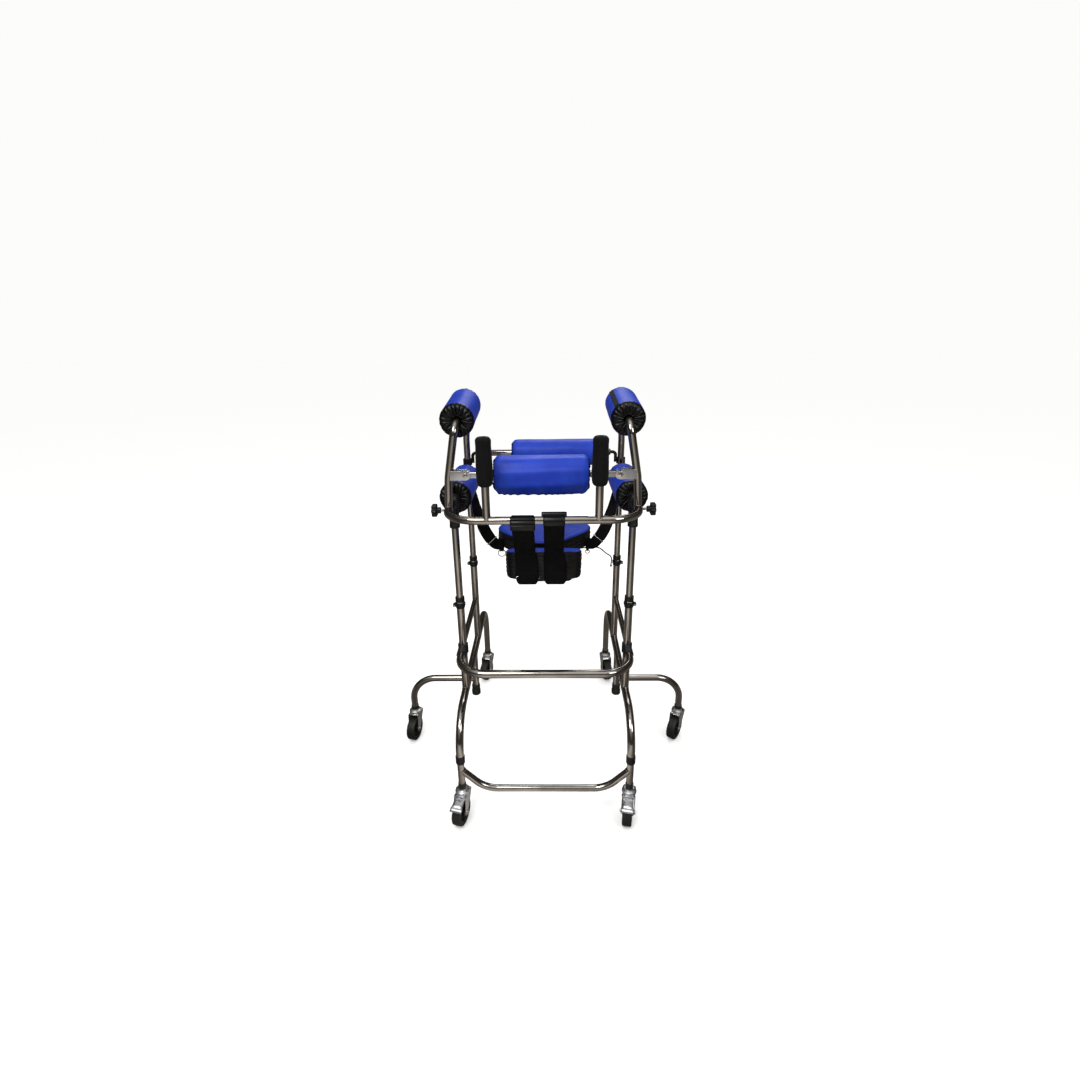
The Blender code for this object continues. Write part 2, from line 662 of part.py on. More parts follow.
def collars(root, side, sign):
    """The clamp collars on the posts and the plain collar on the front leg."""
    bore_low = COLLAR_BORE_RADIUS
    bore_high = INNER_RADIUS + RUNNING_GAP
    bottom = -COLLAR_LAP
    top = COLLAR_HEIGHT - COLLAR_LAP
    flange = COLLAR_FLANGE_HEIGHT / 2
    profile = [
        (bore_high, top),
        (COLLAR_RADIUS, top),
        (COLLAR_RADIUS, flange),
        (COLLAR_FLANGE, flange),
        (COLLAR_FLANGE, -flange),
        (COLLAR_RADIUS, -flange),
        (COLLAR_RADIUS, bottom),
        (bore_low, bottom),
        (bore_low, GAP),
        (bore_high, GAP),
    ]
    ring = turned_mesh(f"collar_ring_{side}", profile, ROUND_SIDES, centred=False)
    tab_low = ((bore_low + COLLAR_RADIUS) / 2, -COLLAR_TAB_WIDTH / 2, flange - COLLAR_TAB_HEIGHT)
    tab_high = (COLLAR_FLANGE + COLLAR_TAB_STEP, COLLAR_TAB_WIDTH / 2, flange - GAP)
    tab = helper("collar_tab", box_mesh("collar_tab", tab_low, tab_high))
    joined = helper("collar", ring)
    boolean(joined, tab, "UNION")
    mesh = smooth(baked(joined))
    turn = 0.0 if sign > 0 else math.pi
    for place, y in (("front", 0.0), ("rear", POST_SPAN)):
        name = f"{place}_collar_{side}"
        add(name, mesh, BLACK_PLASTIC, root, (sign * TRACK_HALF, y, POST_TOP_Z), (0, 0, turn))
    half = LEG_COLLAR_HEIGHT / 2
    profile = [
        (COLLAR_BORE_RADIUS, half),
        (COLLAR_RADIUS, half),
        (COLLAR_RADIUS, -half),
        (INNER_RADIUS + GAP, -half),
        (INNER_RADIUS + GAP, -GAP),
        (COLLAR_BORE_RADIUS, -GAP),
    ]
    leg = turned_mesh(f"leg_collar_{side}", profile, ROUND_SIDES, centred=False)
    place = (sign * TRACK_HALF, FRONT_LEG_Y, LEG_SOCKET_Z)
    add(f"leg_collar_{side}", leg, BLACK_PLASTIC, root, place)


def mid_clamp(root, side, sign):
    """The black tee that holds the mid bar's end to the front post."""
    x = sign * TRACK_HALF
    half = CLAMP_HEIGHT / 2
    name = f"mid_clamp_{side}"
    low, high = (x, 0, MID_BAR_Z - half), (x, 0, MID_BAR_Z + half)
    made = add(name, rod_mesh(name, CLAMP_RADIUS, low, high), BLACK_PLASTIC, root)
    socket_end = (x, -CLAMP_SOCKET_REACH, MID_BAR_Z)
    socket = rod_mesh(f"socket_{side}", CLAMP_SOCKET_RADIUS, socket_end, (x, 0, MID_BAR_Z))
    boolean(made, helper(f"join_socket_{side}", socket, root), "UNION")
    bore = COLLAR_BORE_RADIUS
    low, high = (x, 0, MID_BAR_Z - 2 * half), (x, 0, MID_BAR_Z + 2 * half)
    post = rod_mesh(f"post_hole_{side}", bore, low, high, FINE_SIDES)
    boolean(made, helper(f"cut_post_hole_{side}", post, root), "DIFFERENCE")
    low, high = (x, -2 * CLAMP_SOCKET_REACH, MID_BAR_Z), (x, GAP - CLAMP_BAR_START, MID_BAR_Z)
    bar = rod_mesh(f"bar_hole_{side}", bore, low, high, FINE_SIDES)
    boolean(made, helper(f"cut_bar_hole_{side}", bar, root), "DIFFERENCE")


def mid_bar(root):
    """The U bar between the front posts."""
    corners = [
        (-TRACK_HALF, -CLAMP_BAR_START, MID_BAR_Z),
        (-TRACK_HALF, MID_BAR_Y, MID_BAR_Z),
        (TRACK_HALF, MID_BAR_Y, MID_BAR_Z),
        (TRACK_HALF, -CLAMP_BAR_START, MID_BAR_Z),
    ]
    path = rounded_path(corners, [MID_BAR_BEND, MID_BAR_BEND])
    add("mid_bar", pipe_curve("mid_bar", path, TUBE_RADIUS), STEEL, root)


def front_stretcher(root):
    """The low bar welded between the two leg ends that carry the front casters."""
    leg_top = LEG_SOCKET_Z - GAP
    lift = STRETCHER_Z + STRETCHER_RISE
    corners = [
        (-TRACK_HALF, FRONT_LEG_Y, lift),
        (-TRACK_HALF + STRETCHER_RISE, FRONT_LEG_Y, STRETCHER_Z),
        (TRACK_HALF - STRETCHER_RISE, FRONT_LEG_Y, STRETCHER_Z),
        (TRACK_HALF, FRONT_LEG_Y, lift),
    ]
    path = rounded_path(corners, [STRETCHER_BEND, STRETCHER_BEND], 4)
    bar = pipe_mesh("front_stretcher", path, INNER_RADIUS - WELD_STEP)
    made = add("front_stretcher", bar, STEEL, root)
    for side, sign in SIDES.items():
        x = sign * TRACK_HALF
        leg = rod_mesh(
            f"leg_end_{side}", INNER_RADIUS, (x, FRONT_LEG_Y, CASTER_SOCKET_Z), (x, FRONT_LEG_Y, leg_top)
        )
        boolean(made, helper(f"join_leg_{side}", leg, root), "UNION")
        boolean(made, stem_socket(f"cut_front_stem_{side}", root, x, FRONT_LEG_Y), "DIFFERENCE")


def wheel_mesh():
    """Tyre and hub as one turned shape, axle along Z, a flat facet at the floor."""
    half = WHEEL_WIDTH / 2
    upper = [
        (AXLE_RADIUS + RUNNING_GAP, HUB_WIDTH / 2),
        (HUB_RADIUS, HUB_WIDTH / 2),
        (RIM_RADIUS, half - TYRE_SHOULDER),
        (WHEEL_RADIUS - TYRE_SHOULDER, half),
        (WHEEL_RADIUS, half - TYRE_SHOULDER),
    ]
    profile = upper + [(r, -z) for r, z in reversed(upper)]
    return turned_mesh("caster_wheel", profile, WHEEL_SIDES, centred=False)


def fork_mesh():
    """Fork sheet, swivel race, axle bolt; the swivel axis is Z and the wheel trails to minus Y."""
    outside = FORK_INSIDE / 2 + FORK_SHEET
    front = FORK_LENGTH / 2
    plate_low = FORK_TOP_Z - FORK_SHEET
    plate = box_mesh("plate", (-outside, -front, plate_low), (outside, front, FORK_TOP_Z))
    fork = helper("fork", plate)
    eye = arc((-CASTER_TRAIL, WHEEL_CENTRE_Z), FORK_EYE_RADIUS, 200, 340, 4)
    outline = [(-front, FORK_TOP_Z - FORK_SHEET / 2), *eye, (front, FORK_TOP_Z - FORK_SHEET / 2)]
    for sign in (-1, 1):
        leg = outline_mesh("leg", outline, FORK_SHEET / 2)
        upright = Matrix(((0, 0, 1), (1, 0, 0), (0, 1, 0))).to_4x4()
        shift = Matrix.Translation((sign * (outside - FORK_SHEET / 2), 0, 0))
        leg.transform(shift @ upright)
        boolean(fork, helper("fork_leg", leg), "UNION")
    top = CASTER_SOCKET_Z - GAP
    shoulder = FORK_TOP_Z + RACE_HEIGHT
    stem_top = CASTER_SOCKET_Z + STEM_LENGTH
    profile = [
        (0.0, stem_top),
        (STEM_RADIUS, stem_top),
        (STEM_RADIUS, top),
        (RACE_NECK_RADIUS, top),
        (RACE_NECK_RADIUS, shoulder),
        (RACE_RADIUS, FORK_TOP_Z + RACE_HEIGHT / 2),
        (RACE_RADIUS, FORK_TOP_Z - FORK_SHEET / 2),
        (0.0, FORK_TOP_Z - FORK_SHEET / 2),
    ]
    boolean(fork, helper("race", turned_mesh("race", profile, SMALL_SIDES)), "UNION")
    reach = outside + AXLE_HEAD_HEIGHT
    centre = (-CASTER_TRAIL, WHEEL_CENTRE_Z)
    axle = rod_mesh("axle", AXLE_RADIUS, (-reach, *centre), (reach, *centre), PIN_SIDES)
    boolean(fork, helper("axle", axle), "UNION")
    for sign in (-1, 1):
        head = rod_mesh(
            "head", AXLE_HEAD_RADIUS, (sign * (outside - FORK_SHEET / 2), *centre), (sign * reach, *centre), 6
        )
        boolean(fork, helper("axle_head", head), "UNION")
    return smooth(baked(fork))


def pedal_mesh():
    """Brake pedal: a bent sheet with its pivot sleeve on X through its own origin."""
    half = PEDAL_WIDTH / 2
    pedal = helper("pedal", rod_mesh("pedal", PEDAL_SLEEVE_RADIUS, (-half, 0, 0), (half, 0, 0), PIN_SIDES))
    root = PEDAL_SLEEVE_RADIUS - PEDAL_SLEEVE_WALL / 4
    sheet = box_mesh("sheet", (-half, -PEDAL_LENGTH, -PEDAL_SHEET / 2), (half, -root, PEDAL_SHEET / 2))
    sheet.transform(Matrix.Rotation(PEDAL_SLOPE, 4, "X"))
    boolean(pedal, helper("sheet", sheet), "UNION")
    bore = PEDAL_PIN_RADIUS + RUNNING_GAP
    hole = rod_mesh("hole", bore, (-2 * half, 0, 0), (2 * half, 0, 0), SMALL_SIDES)
    boolean(pedal, helper("hole", hole), "DIFFERENCE")
    return smooth(baked(pedal))


def braked_fork_mesh(fork):
    """The fork with the pin that the brake pedal turns on."""
    braked = helper("braked_fork", fork.copy())
    reach = FORK_INSIDE / 2 + FORK_SHEET / 2
    ends = [(sign * reach, PEDAL_PIVOT_Y, PEDAL_PIVOT_Z) for sign in (-1, 1)]
    pin = rod_mesh("pin", PEDAL_PIN_RADIUS, *ends, PIN_SIDES)
    boolean(braked, helper("pin", pin), "UNION")
    return smooth(baked(braked))


def casters(root):
    """Six swivel casters; the two front ones have a brake pedal."""
    wheel = wheel_mesh()
    fork = fork_mesh()
    braked = braked_fork_mesh(fork)
    pedal = pedal_mesh()
    facet_turn = math.pi / WHEEL_SIDES
    for place, (x, y, turn) in CASTERS.items():
        swivel = empty(f"swivel_{place}", root, (x, y, 0), turn)
        front = place.startswith("front")
        add(f"fork_{place}", braked if front else fork, ZINC, swivel)
        centre = (0, -CASTER_TRAIL, WHEEL_CENTRE_Z)
        rotation = (math.pi / 2, facet_turn, math.pi / 2)
        add(f"wheel_{place}", wheel, RUBBER, swivel, centre, rotation)
        if front:
            pivot = (0, PEDAL_PIVOT_Y, PEDAL_PIVOT_Z)
            add(f"brake_pedal_{place}", pedal, ZINC, swivel, pivot)


def crutch_corners(sign):
    """Corner points of an underarm tube, from inside the rear post to its foot on the arm rail."""
    post_x = sign * TRACK_HALF
    return [
        (post_x, POST_SPAN, POST_TOP_Z - INNER_LAP),
        (post_x, POST_SPAN, CRUTCH_LEAN_START_Z),
        (sign * CRUTCH_FAR_HALF, POST_SPAN, CRUTCH_FAR_Z),
        (sign * CRUTCH_NEAR_HALF, CRUTCH_FOOT_Y, CRUTCH_NEAR_Z),
        (sign * CRUTCH_KNEE_HALF, CRUTCH_FOOT_Y, CRUTCH_KNEE_Z),
        (post_x, CRUTCH_FOOT_Y, ARM_RAIL_Z + INNER_RADIUS / 3),
    ]


def bracket_leg_x():
    """Distance of the underarm tube's front leg from the midline at the chest bar's height."""
    share = (GATE_Z - CRUTCH_KNEE_Z) / (CRUTCH_NEAR_Z - CRUTCH_KNEE_Z)
    return CRUTCH_KNEE_HALF + (CRUTCH_NEAR_HALF - CRUTCH_KNEE_HALF) * share


def bracket_mesh(sign):
    """The sheet bracket on the underarm tube that takes the chest bar's end."""
    leg = bracket_leg_x()
    nose = arc((GATE_BOLT_X, 0), BRACKET_HALF_HEIGHT, 90, 270, 6)
    outline = [(leg, -BRACKET_HALF_HEIGHT), (leg, BRACKET_HALF_HEIGHT), *nose]
    half = GATE_BAR_HALF + GAP + BRACKET_SHEET
    block = outline_mesh(f"bracket_{sign}", outline, half)
    upright = Matrix(((sign, 0, 0), (0, 0, 1), (0, 1, 0))).to_4x4()
    block.transform(Matrix.Translation((0, CRUTCH_FOOT_Y, GATE_Z)) @ upright)
    bracket = helper(f"bracket_block_{sign}", welded(block))
    slot_half = GATE_BAR_HALF + GAP
    deep = 2 * BRACKET_HALF_HEIGHT
    ends = sorted((sign * (GATE_BOLT_X - deep), sign * BRACKET_SLOT_END))
    slot = box_mesh(
        "slot",
        (ends[0], CRUTCH_FOOT_Y - slot_half, GATE_Z - deep),
        (ends[1], CRUTCH_FOOT_Y + slot_half, GATE_Z + deep),
    )
    boolean(bracket, helper("bracket_slot", slot), "DIFFERENCE")
    bolt = GATE_BOLT_RADIUS + RUNNING_GAP
    x = sign * GATE_BOLT_X
    hole = rod_mesh("hole", bolt, (x, CRUTCH_FOOT_Y - deep, GATE_Z), (x, CRUTCH_FOOT_Y + deep, GATE_Z))
    boolean(bracket, helper("bracket_hole", hole), "DIFFERENCE")
    if sign > 0:
        mouth = box_mesh(
            "mouth",
            (x - bolt, CRUTCH_FOOT_Y - deep, GATE_Z),
            (x + bolt, CRUTCH_FOOT_Y + deep, GATE_Z + deep),
        )
        boolean(bracket, helper("bracket_mouth", mouth), "DIFFERENCE")
    return baked(bracket)


def crutch_tube(upper, side, sign):
    """Rear post's inner tube, underarm run and front leg in one bend, with the chest bar's bracket."""
    name = f"crutch_tube_{side}"
    radii = [CRUTCH_LEAN_BEND, CRUTCH_REAR_BEND, CRUTCH_FRONT_BEND, CRUTCH_KNEE_BEND]
    path = rounded_path(crutch_corners(sign), radii, 4)
    made = add(name, pipe_mesh(name, path, INNER_RADIUS), STEEL, upper)
    x = sign * TRACK_HALF
    boolean(made, helper(f"join_bracket_{side}", bracket_mesh(sign), upper), "UNION")
    ends = [(x, CRUTCH_FOOT_Y + shift, ARM_RAIL_Z) for shift in (-CUT_REACH, CUT_REACH)]
    rail = rod_mesh(f"rail_below_{side}", INNER_RADIUS + GAP, *ends, FINE_SIDES)
    boolean(made, helper(f"cut_arm_rail_{side}", rail, upper), "DIFFERENCE")


def arm_rail(upper):
    """The U rail with the two grip posts welded to its front."""
    corners = [
        (-TRACK_HALF, POST_SPAN, ARM_RAIL_Z),
        (-TRACK_HALF, ARM_RAIL_FRONT_Y, ARM_RAIL_Z),
        (TRACK_HALF, ARM_RAIL_FRONT_Y, ARM_RAIL_Z),
        (TRACK_HALF, POST_SPAN, ARM_RAIL_Z),
    ]
    path = rounded_path(corners, [ARM_RAIL_BEND, ARM_RAIL_BEND])
    made = add("arm_rail", pipe_mesh("arm_rail", path, INNER_RADIUS), STEEL, upper)
    for side, sign in SIDES.items():
        x = sign * GRIP_HALF_SPACING
        low = (x, ARM_RAIL_FRONT_Y, ARM_RAIL_Z)
        high = (x, ARM_RAIL_FRONT_Y, GRIP_POST_TOP_Z)
        post = rod_mesh(f"grip_post_{side}", GRIP_POST_RADIUS, low, high)
        boolean(made, helper(f"join_grip_post_{side}", post, upper), "UNION")
        x = sign * TRACK_HALF
        low, high = ARM_RAIL_Z - CUT_REACH, ARM_RAIL_Z + CUT_REACH
        leg = rod_mesh(
            f"rear_leg_{side}", INNER_RADIUS + GAP, (x, POST_SPAN, low), (x, POST_SPAN, high), FINE_SIDES
        )
        boolean(made, helper(f"cut_rear_leg_{side}", leg, upper), "DIFFERENCE")
        beyond = box_mesh(
            f"beyond_{side}", (x - CUT_REACH, POST_SPAN, low), (x + CUT_REACH, POST_SPAN + CUT_REACH, high)
        )
        boolean(made, helper(f"cut_beyond_{side}", beyond, upper), "DIFFERENCE")


def front_inner_tube(upper, side, sign):
    """The front post's inner tube, up to the arm rail inside the corner fitting."""
    x = sign * TRACK_HALF
    name = f"front_inner_tube_{side}"
    top = ARM_RAIL_Z - INNER_RADIUS - GAP
    tube = rod_mesh(name, INNER_RADIUS, (x, 0, POST_TOP_Z - INNER_LAP), (x, 0, top))
    add(name, smooth(tube), STEEL, upper)


def corner_fitting(upper, side, sign):
    """The black tee on top of the front post: sleeve, saddle round the arm rail, boss for the knob."""
    x = sign * TRACK_HALF
    name = f"corner_fitting_{side}"
    low, high = (x, 0, FITTING_BOTTOM_Z), (x, 0, ARM_RAIL_Z)
    made = add(name, rod_mesh(name, FITTING_SLEEVE_RADIUS, low, high), BLACK_PLASTIC, upper)
    half = FITTING_SADDLE_LENGTH / 2
    saddle = rod_mesh(f"saddle_{side}", FITTING_SADDLE_RADIUS, (x, -half, ARM_RAIL_Z), (x, half, ARM_RAIL_Z))
    boolean(made, helper(f"join_saddle_{side}", saddle, upper), "UNION")
    reach = x + sign * FITTING_BOSS_REACH
    boss = rod_mesh(f"boss_{side}", FITTING_BOSS_RADIUS, (x, 0, KNOB_Z), (reach, 0, KNOB_Z), SMALL_SIDES)
    boolean(made, helper(f"join_boss_{side}", boss, upper), "UNION")
    ends = [(x, shift, ARM_RAIL_Z) for shift in (-CUT_REACH, CUT_REACH)]
    rail = rod_mesh(f"rail_hole_{side}", FITTING_BORE_RADIUS, *ends, FINE_SIDES)
    boolean(made, helper(f"cut_rail_hole_{side}", rail, upper), "DIFFERENCE")
    bottom = (x, 0, FITTING_BOTTOM_Z - CUT_REACH)
    tube = rod_mesh(f"tube_hole_{side}", FITTING_BORE_RADIUS, bottom, (x, 0, ARM_RAIL_Z), FINE_SIDES)
    boolean(made, helper(f"cut_tube_hole_{side}", tube, upper), "DIFFERENCE")
    inner, outer = reach - sign * STUD_SEAT_DEPTH, reach + sign * STUD_SEAT_DEPTH
    bore = STUD_RADIUS + RUNNING_GAP
    seat = rod_mesh(f"stud_hole_{side}", bore, (inner, 0, KNOB_Z), (outer, 0, KNOB_Z), SMALL_SIDES)
    boolean(made, helper(f"cut_stud_hole_{side}", seat, upper), "DIFFERENCE")


def knob_mesh():
    """Star knob with its threaded stud along X; the origin is at the stud's inner end."""
    steps = KNOB_LOBES * 4
    outline = []
    for i in range(steps):
        angle = 2 * math.pi * i / steps
        radius = KNOB_RADIUS - KNOB_LOBE_DEPTH * (1 - math.cos(KNOB_LOBES * angle))
        outline.append((radius * math.cos(angle), radius * math.sin(angle)))
    stud = STUD_SEAT_DEPTH - GAP + KNOB_GAP
    head_low = stud + KNOB_HUB_LENGTH
    head = outline_mesh("knob", outline, KNOB_HEAD_THICKNESS / 2)
    head_middle = (0, 0, head_low + KNOB_HEAD_THICKNESS / 2)
    head.transform(Matrix.Translation(head_middle))
    knob = helper("knob", head)
    hub = rod_mesh("hub", KNOB_HUB_RADIUS, (0, 0, stud), head_middle, SMALL_SIDES)
    boolean(knob, helper("hub", hub), "UNION")
    pin = rod_mesh("pin", STUD_RADIUS, (0, 0, 0), (0, 0, stud + KNOB_HUB_LENGTH / 2), PIN_SIDES)
    boolean(knob, helper("pin", pin), "UNION")
    mesh = baked(knob)
    mesh.transform(Matrix.Rotation(math.pi / 2, 4, "Y"))
    return smooth(mesh)


def grip(upper, side, sign, mesh):
    """A foam grip over its post."""
    place = (sign * GRIP_HALF_SPACING, ARM_RAIL_FRONT_Y, GRIP_BOTTOM_Z)
    add(f"grip_{side}", mesh, FOAM, upper, place)


def grip_mesh():
    """Foam sleeve with a closed, rounded top."""
    height = GRIP_TOP_Z - GRIP_BOTTOM_Z
    bore = GRIP_POST_RADIUS + GAP
    depth = GRIP_POST_TOP_Z - GRIP_BOTTOM_Z + GAP
    profile = [
        (0.0, height),
        (GRIP_RADIUS - GRIP_EDGE * 1.6, height - GRIP_EDGE * 0.15),
        (GRIP_RADIUS - GRIP_EDGE * 0.4, height - GRIP_EDGE * 0.6),
        (GRIP_RADIUS, height - GRIP_EDGE * 1.8),
        (GRIP_RADIUS, GRIP_EDGE),
        (GRIP_RADIUS - GRIP_EDGE * 0.6, 0.0),
        (bore, 0.0),
        (bore, depth),
        (0.0, depth),
    ]
    return turned_mesh("grip", profile, ROUND_SIDES)


def pad_mesh(name, radius, length, bore):
    """A round pad on a tube, axis on Z: crowned body, drawn-in ends with gathered pleats."""
    half = length / 2
    edge = PAD_EDGE
    upper = [
        (bore, half - PAD_DIMPLE),
        (bore + (radius - bore) * PAD_PLEAT_SHARE, half - PAD_PLEAT),
        (radius - edge * 0.4, half - edge * 0.25),
        (radius, half - edge),
    ]
    profile = upper + [(radius + PAD_CROWN, 0.0)] + [(r, -z) for r, z in reversed(upper)]
    mesh = turned_mesh(name, profile, PAD_STEPS, centred=False)
    for vertex in mesh.vertices:
        x, y, z = vertex.co
        reach = math.hypot(x, y)
        if bore < reach - PAD_PLEAT and reach < radius - edge:
            wave = math.cos(PAD_STEPS / 2 * math.atan2(y, x))
            vertex.co.z = z + math.copysign(PAD_PLEAT, z) * wave
    return mesh


def pads(upper):
    """Arm pads on the rail and underarm pads on the crutch tubes."""
    bore = INNER_RADIUS + PAD_BORE_GAP
    length = ARM_PAD_END_Y - ARM_PAD_START_Y
    arm = pad_mesh("arm_pad", ARM_PAD_RADIUS, length, bore)
    under = pad_mesh("underarm_pad", CRUTCH_PAD_RADIUS, CRUTCH_PAD_LENGTH, bore)
    for side, sign in SIDES.items():
        middle = (sign * TRACK_HALF, (ARM_PAD_START_Y + ARM_PAD_END_Y) / 2, ARM_RAIL_Z)
        add(f"arm_pad_{side}", arm, BLUE_NYLON, upper, middle, (math.pi / 2, 0, 0))
        far, near = (Vector(corner) for corner in crutch_corners(sign)[2:4])
        run = (far - near).normalized()
        start = near + run * ((CRUTCH_PAD_START_Y - near.y) / run.y)
        centre = start + run * CRUTCH_PAD_LENGTH / 2
        made = add(f"underarm_pad_{side}", under, BLUE_NYLON, upper, centre)
        made.rotation_euler = run.to_track_quat("Z", "X").to_euler()


def chest_bar(upper):
    """The square bar in front of the chest, hinged on its left bolt, with its pad."""
    pivot = empty("chest_pivot", upper, (-GATE_BOLT_X, CRUTCH_FOOT_Y, GATE_Z))
    span = 2 * GATE_BOLT_X
    low = (-GATE_BAR_END, -GATE_BAR_HALF, -GATE_BAR_HALF)
    high = (span + GATE_BAR_END, GATE_BAR_HALF, GATE_BAR_HALF)
    made = add("chest_bar", box_mesh("chest_bar", low, high), STEEL, pivot)
    reach = GATE_BAR_HALF + 2 * GAP + BRACKET_SHEET
    for place, x in (("hinge", 0.0), ("latch", span)):
        tip = reach + GATE_BOLT_HEAD_HEIGHT
        bolt = rod_mesh(f"bolt_{place}", GATE_BOLT_RADIUS, (x, -tip, 0), (x, tip, 0), PIN_SIDES)
        boolean(made, helper(f"join_bolt_{place}", bolt, pivot), "UNION")
        for name, sign in (("front", -1), ("back", 1)):
            head = rod_mesh(
                f"head_{place}_{name}", GATE_BOLT_HEAD, (x, sign * reach, 0), (x, sign * tip, 0), 6
            )
            boolean(made, helper(f"join_head_{place}_{name}", head, pivot), "UNION")
    bore = GATE_BAR_HALF * math.sqrt(2) + PAD_BORE_GAP
    pad = pad_mesh("chest_pad", CHEST_PAD_RADIUS, CHEST_PAD_LENGTH, bore)
    place = (GATE_BOLT_X + CHEST_PAD_X, 0, 0)
    add("chest_pad", pad, BLUE_NYLON, pivot, place, (0, math.pi / 2, 0))


def back_bar(upper):
    """The bar behind the user, hung on bent arms from a ring on the left tube and a clip on the right."""
    pivot = empty("back_pivot", upper, (-TRACK_HALF, POST_SPAN, BACK_BAR_Z))
    span = 2 * TRACK_HALF
    bore = BACK_CLIP_BORE_RADIUS
    low, high = -BACK_CLIP_DROP - BACK_CLIP_HEIGHT / 2, -BACK_CLIP_DROP + BACK_CLIP_HEIGHT / 2
    bar = rod_mesh("back_bar", BACK_BAR_RADIUS, (BACK_BAR_END, 0, 0), (span - BACK_BAR_END, 0, 0))
    made = add("back_bar", bar, STEEL, pivot)
    for place, x, inward in (("ring", 0.0, 1), ("clip", span, -1)):
        elbow = x + inward * BACK_ARM_OFFSET
        inside = x + inward * (BACK_BAR_END + BACK_ARM_LAP)
        corners = [(inside, 0, 0), (elbow, 0, 0), (elbow, 0, -BACK_CLIP_DROP)]
        route = rounded_path(corners, [BACK_ARM_BEND], 4)
        arm = pipe_mesh(f"arm_{place}", route, BACK_ARM_RADIUS, 2)
        boolean(made, helper(f"join_arm_{place}", arm, pivot), "UNION")
        ring = rod_mesh(f"band_{place}", BACK_CLIP_RADIUS, (x, 0, low), (x, 0, high))
        boolean(made, helper(f"join_{place}", ring, pivot), "UNION")
        hole = rod_mesh(f"hole_{place}", bore, (x, 0, low - CUT_REACH), (x, 0, high + CUT_REACH))
        boolean(made, helper(f"cut_{place}", hole, pivot), "DIFFERENCE")
    reach = 2 * BACK_CLIP_RADIUS
    mouth = box_mesh("mouth", (span - bore, -reach, low - bore), (span + reach, -BACK_CLIP_LIP, high + bore))
    boolean(made, helper("cut_mouth", mouth, pivot), "DIFFERENCE")
    pad = pad_mesh("back_pad", BACK_PAD_RADIUS, BACK_PAD_LENGTH, BACK_BAR_RADIUS + PAD_BORE_GAP)
    place = (TRACK_HALF + BACK_PAD_X, 0, 0)
    add("back_pad", pad, BLUE_NYLON, pivot, place, (0, math.pi / 2, 0))


def cage_mesh(name, rows, low, high, crown, tilt=0.0):
    """A cushion from a coarse cage: rows of (y, half width), walls between two heights, a tilted top."""
    columns = (-1.0, 0.0, 1.0)
    points = []
    first, depth = rows[0][0], rows[-1][0] - rows[0][0]
    for i, (y, half) in enumerate(rows):
        inner_row = 0 < i < len(rows) - 1
        top = high - tilt * (y - first) / depth
        for column in columns:
            lift = crown if inner_row and abs(column) < 1 else 0.0
            points += [(column * half, y, low), (column * half, y, top + lift)]
    wide = len(columns)

    def at(row, column, top):
        return 2 * (row * wide + column) + top

    faces = []
    last = len(rows) - 1
    for row in range(last):
        for column in range(wide - 1):
            ring = [(row, column), (row, column + 1), (row + 1, column + 1), (row + 1, column)]
            faces.append([at(r, c, 1) for r, c in ring])
            faces.append([at(r, c, 0) for r, c in reversed(ring)])
        faces.append([at(row, 0, 0), at(row, 0, 1), at(row + 1, 0, 1), at(row + 1, 0, 0)])
        end = wide - 1
        faces.append([at(row, end, 0), at(row + 1, end, 0), at(row + 1, end, 1), at(row, end, 1)])
    for column in range(wide - 1):
        faces.append([at(0, column, 0), at(0, column + 1, 0), at(0, column + 1, 1), at(0, column, 1)])
        faces.append(
            [at(last, column, 0), at(last, column, 1), at(last, column + 1, 1), at(last, column + 1, 0)]
        )
    mesh = bpy.data.meshes.new(name)
    mesh.from_pydata(points, [], faces)
    crease = mesh.attributes.new("crease_edge", "FLOAT", "EDGE")
    for edge, slot in zip(mesh.edges, crease.data):
        cells = [divmod(vertex // 2, wide) for vertex in edge.vertices]
        level = len({vertex % 2 for vertex in edge.vertices}) == 1
        if level and all(row in (0, last) or column in (0, wide - 1) for row, column in cells):
            slot.value = CUSHION_CREASE
    cage = helper(name, mesh)
    soft = cage.modifiers.new("soft", "SUBSURF")
    soft.levels = CUSHION_LEVELS
    soft.render_levels = CUSHION_LEVELS
    return smooth(welded(baked(cage)))


def seat(upper):
    """The saddle seat: rear cushion on its base panel, and the nose cushion in front."""
    low = SEAT_BOTTOM_Z - SEAT_SINK
    cushion = cage_mesh("seat_cushion", SEAT_ROWS, low, SEAT_TOP_Z, SEAT_CROWN)
    made = add("seat_cushion", cushion, BLUE_NYLON, upper)
    low = (-SEAT_BASE_HALF, SEAT_BASE_FRONT_Y, SEAT_BASE_BOTTOM_Z)
    high = (SEAT_BASE_HALF, SEAT_BASE_BACK_Y, SEAT_BASE_TOP_Z)
    base = box_mesh("seat_base", low, high)
    boolean(made, helper("join_seat_base", base, upper), "UNION")
    depth = NOSE_BACK_Y - NOSE_FRONT_Y
    rows = [(NOSE_FRONT_Y + depth * share, NOSE_HALF * width) for share, width in NOSE_ROWS]
    nose = cage_mesh("seat_nose", rows, NOSE_BOTTOM_Z, NOSE_TOP_Z, NOSE_CROWN, NOSE_TILT)
    add("seat_nose", nose, BLUE_NYLON, upper)


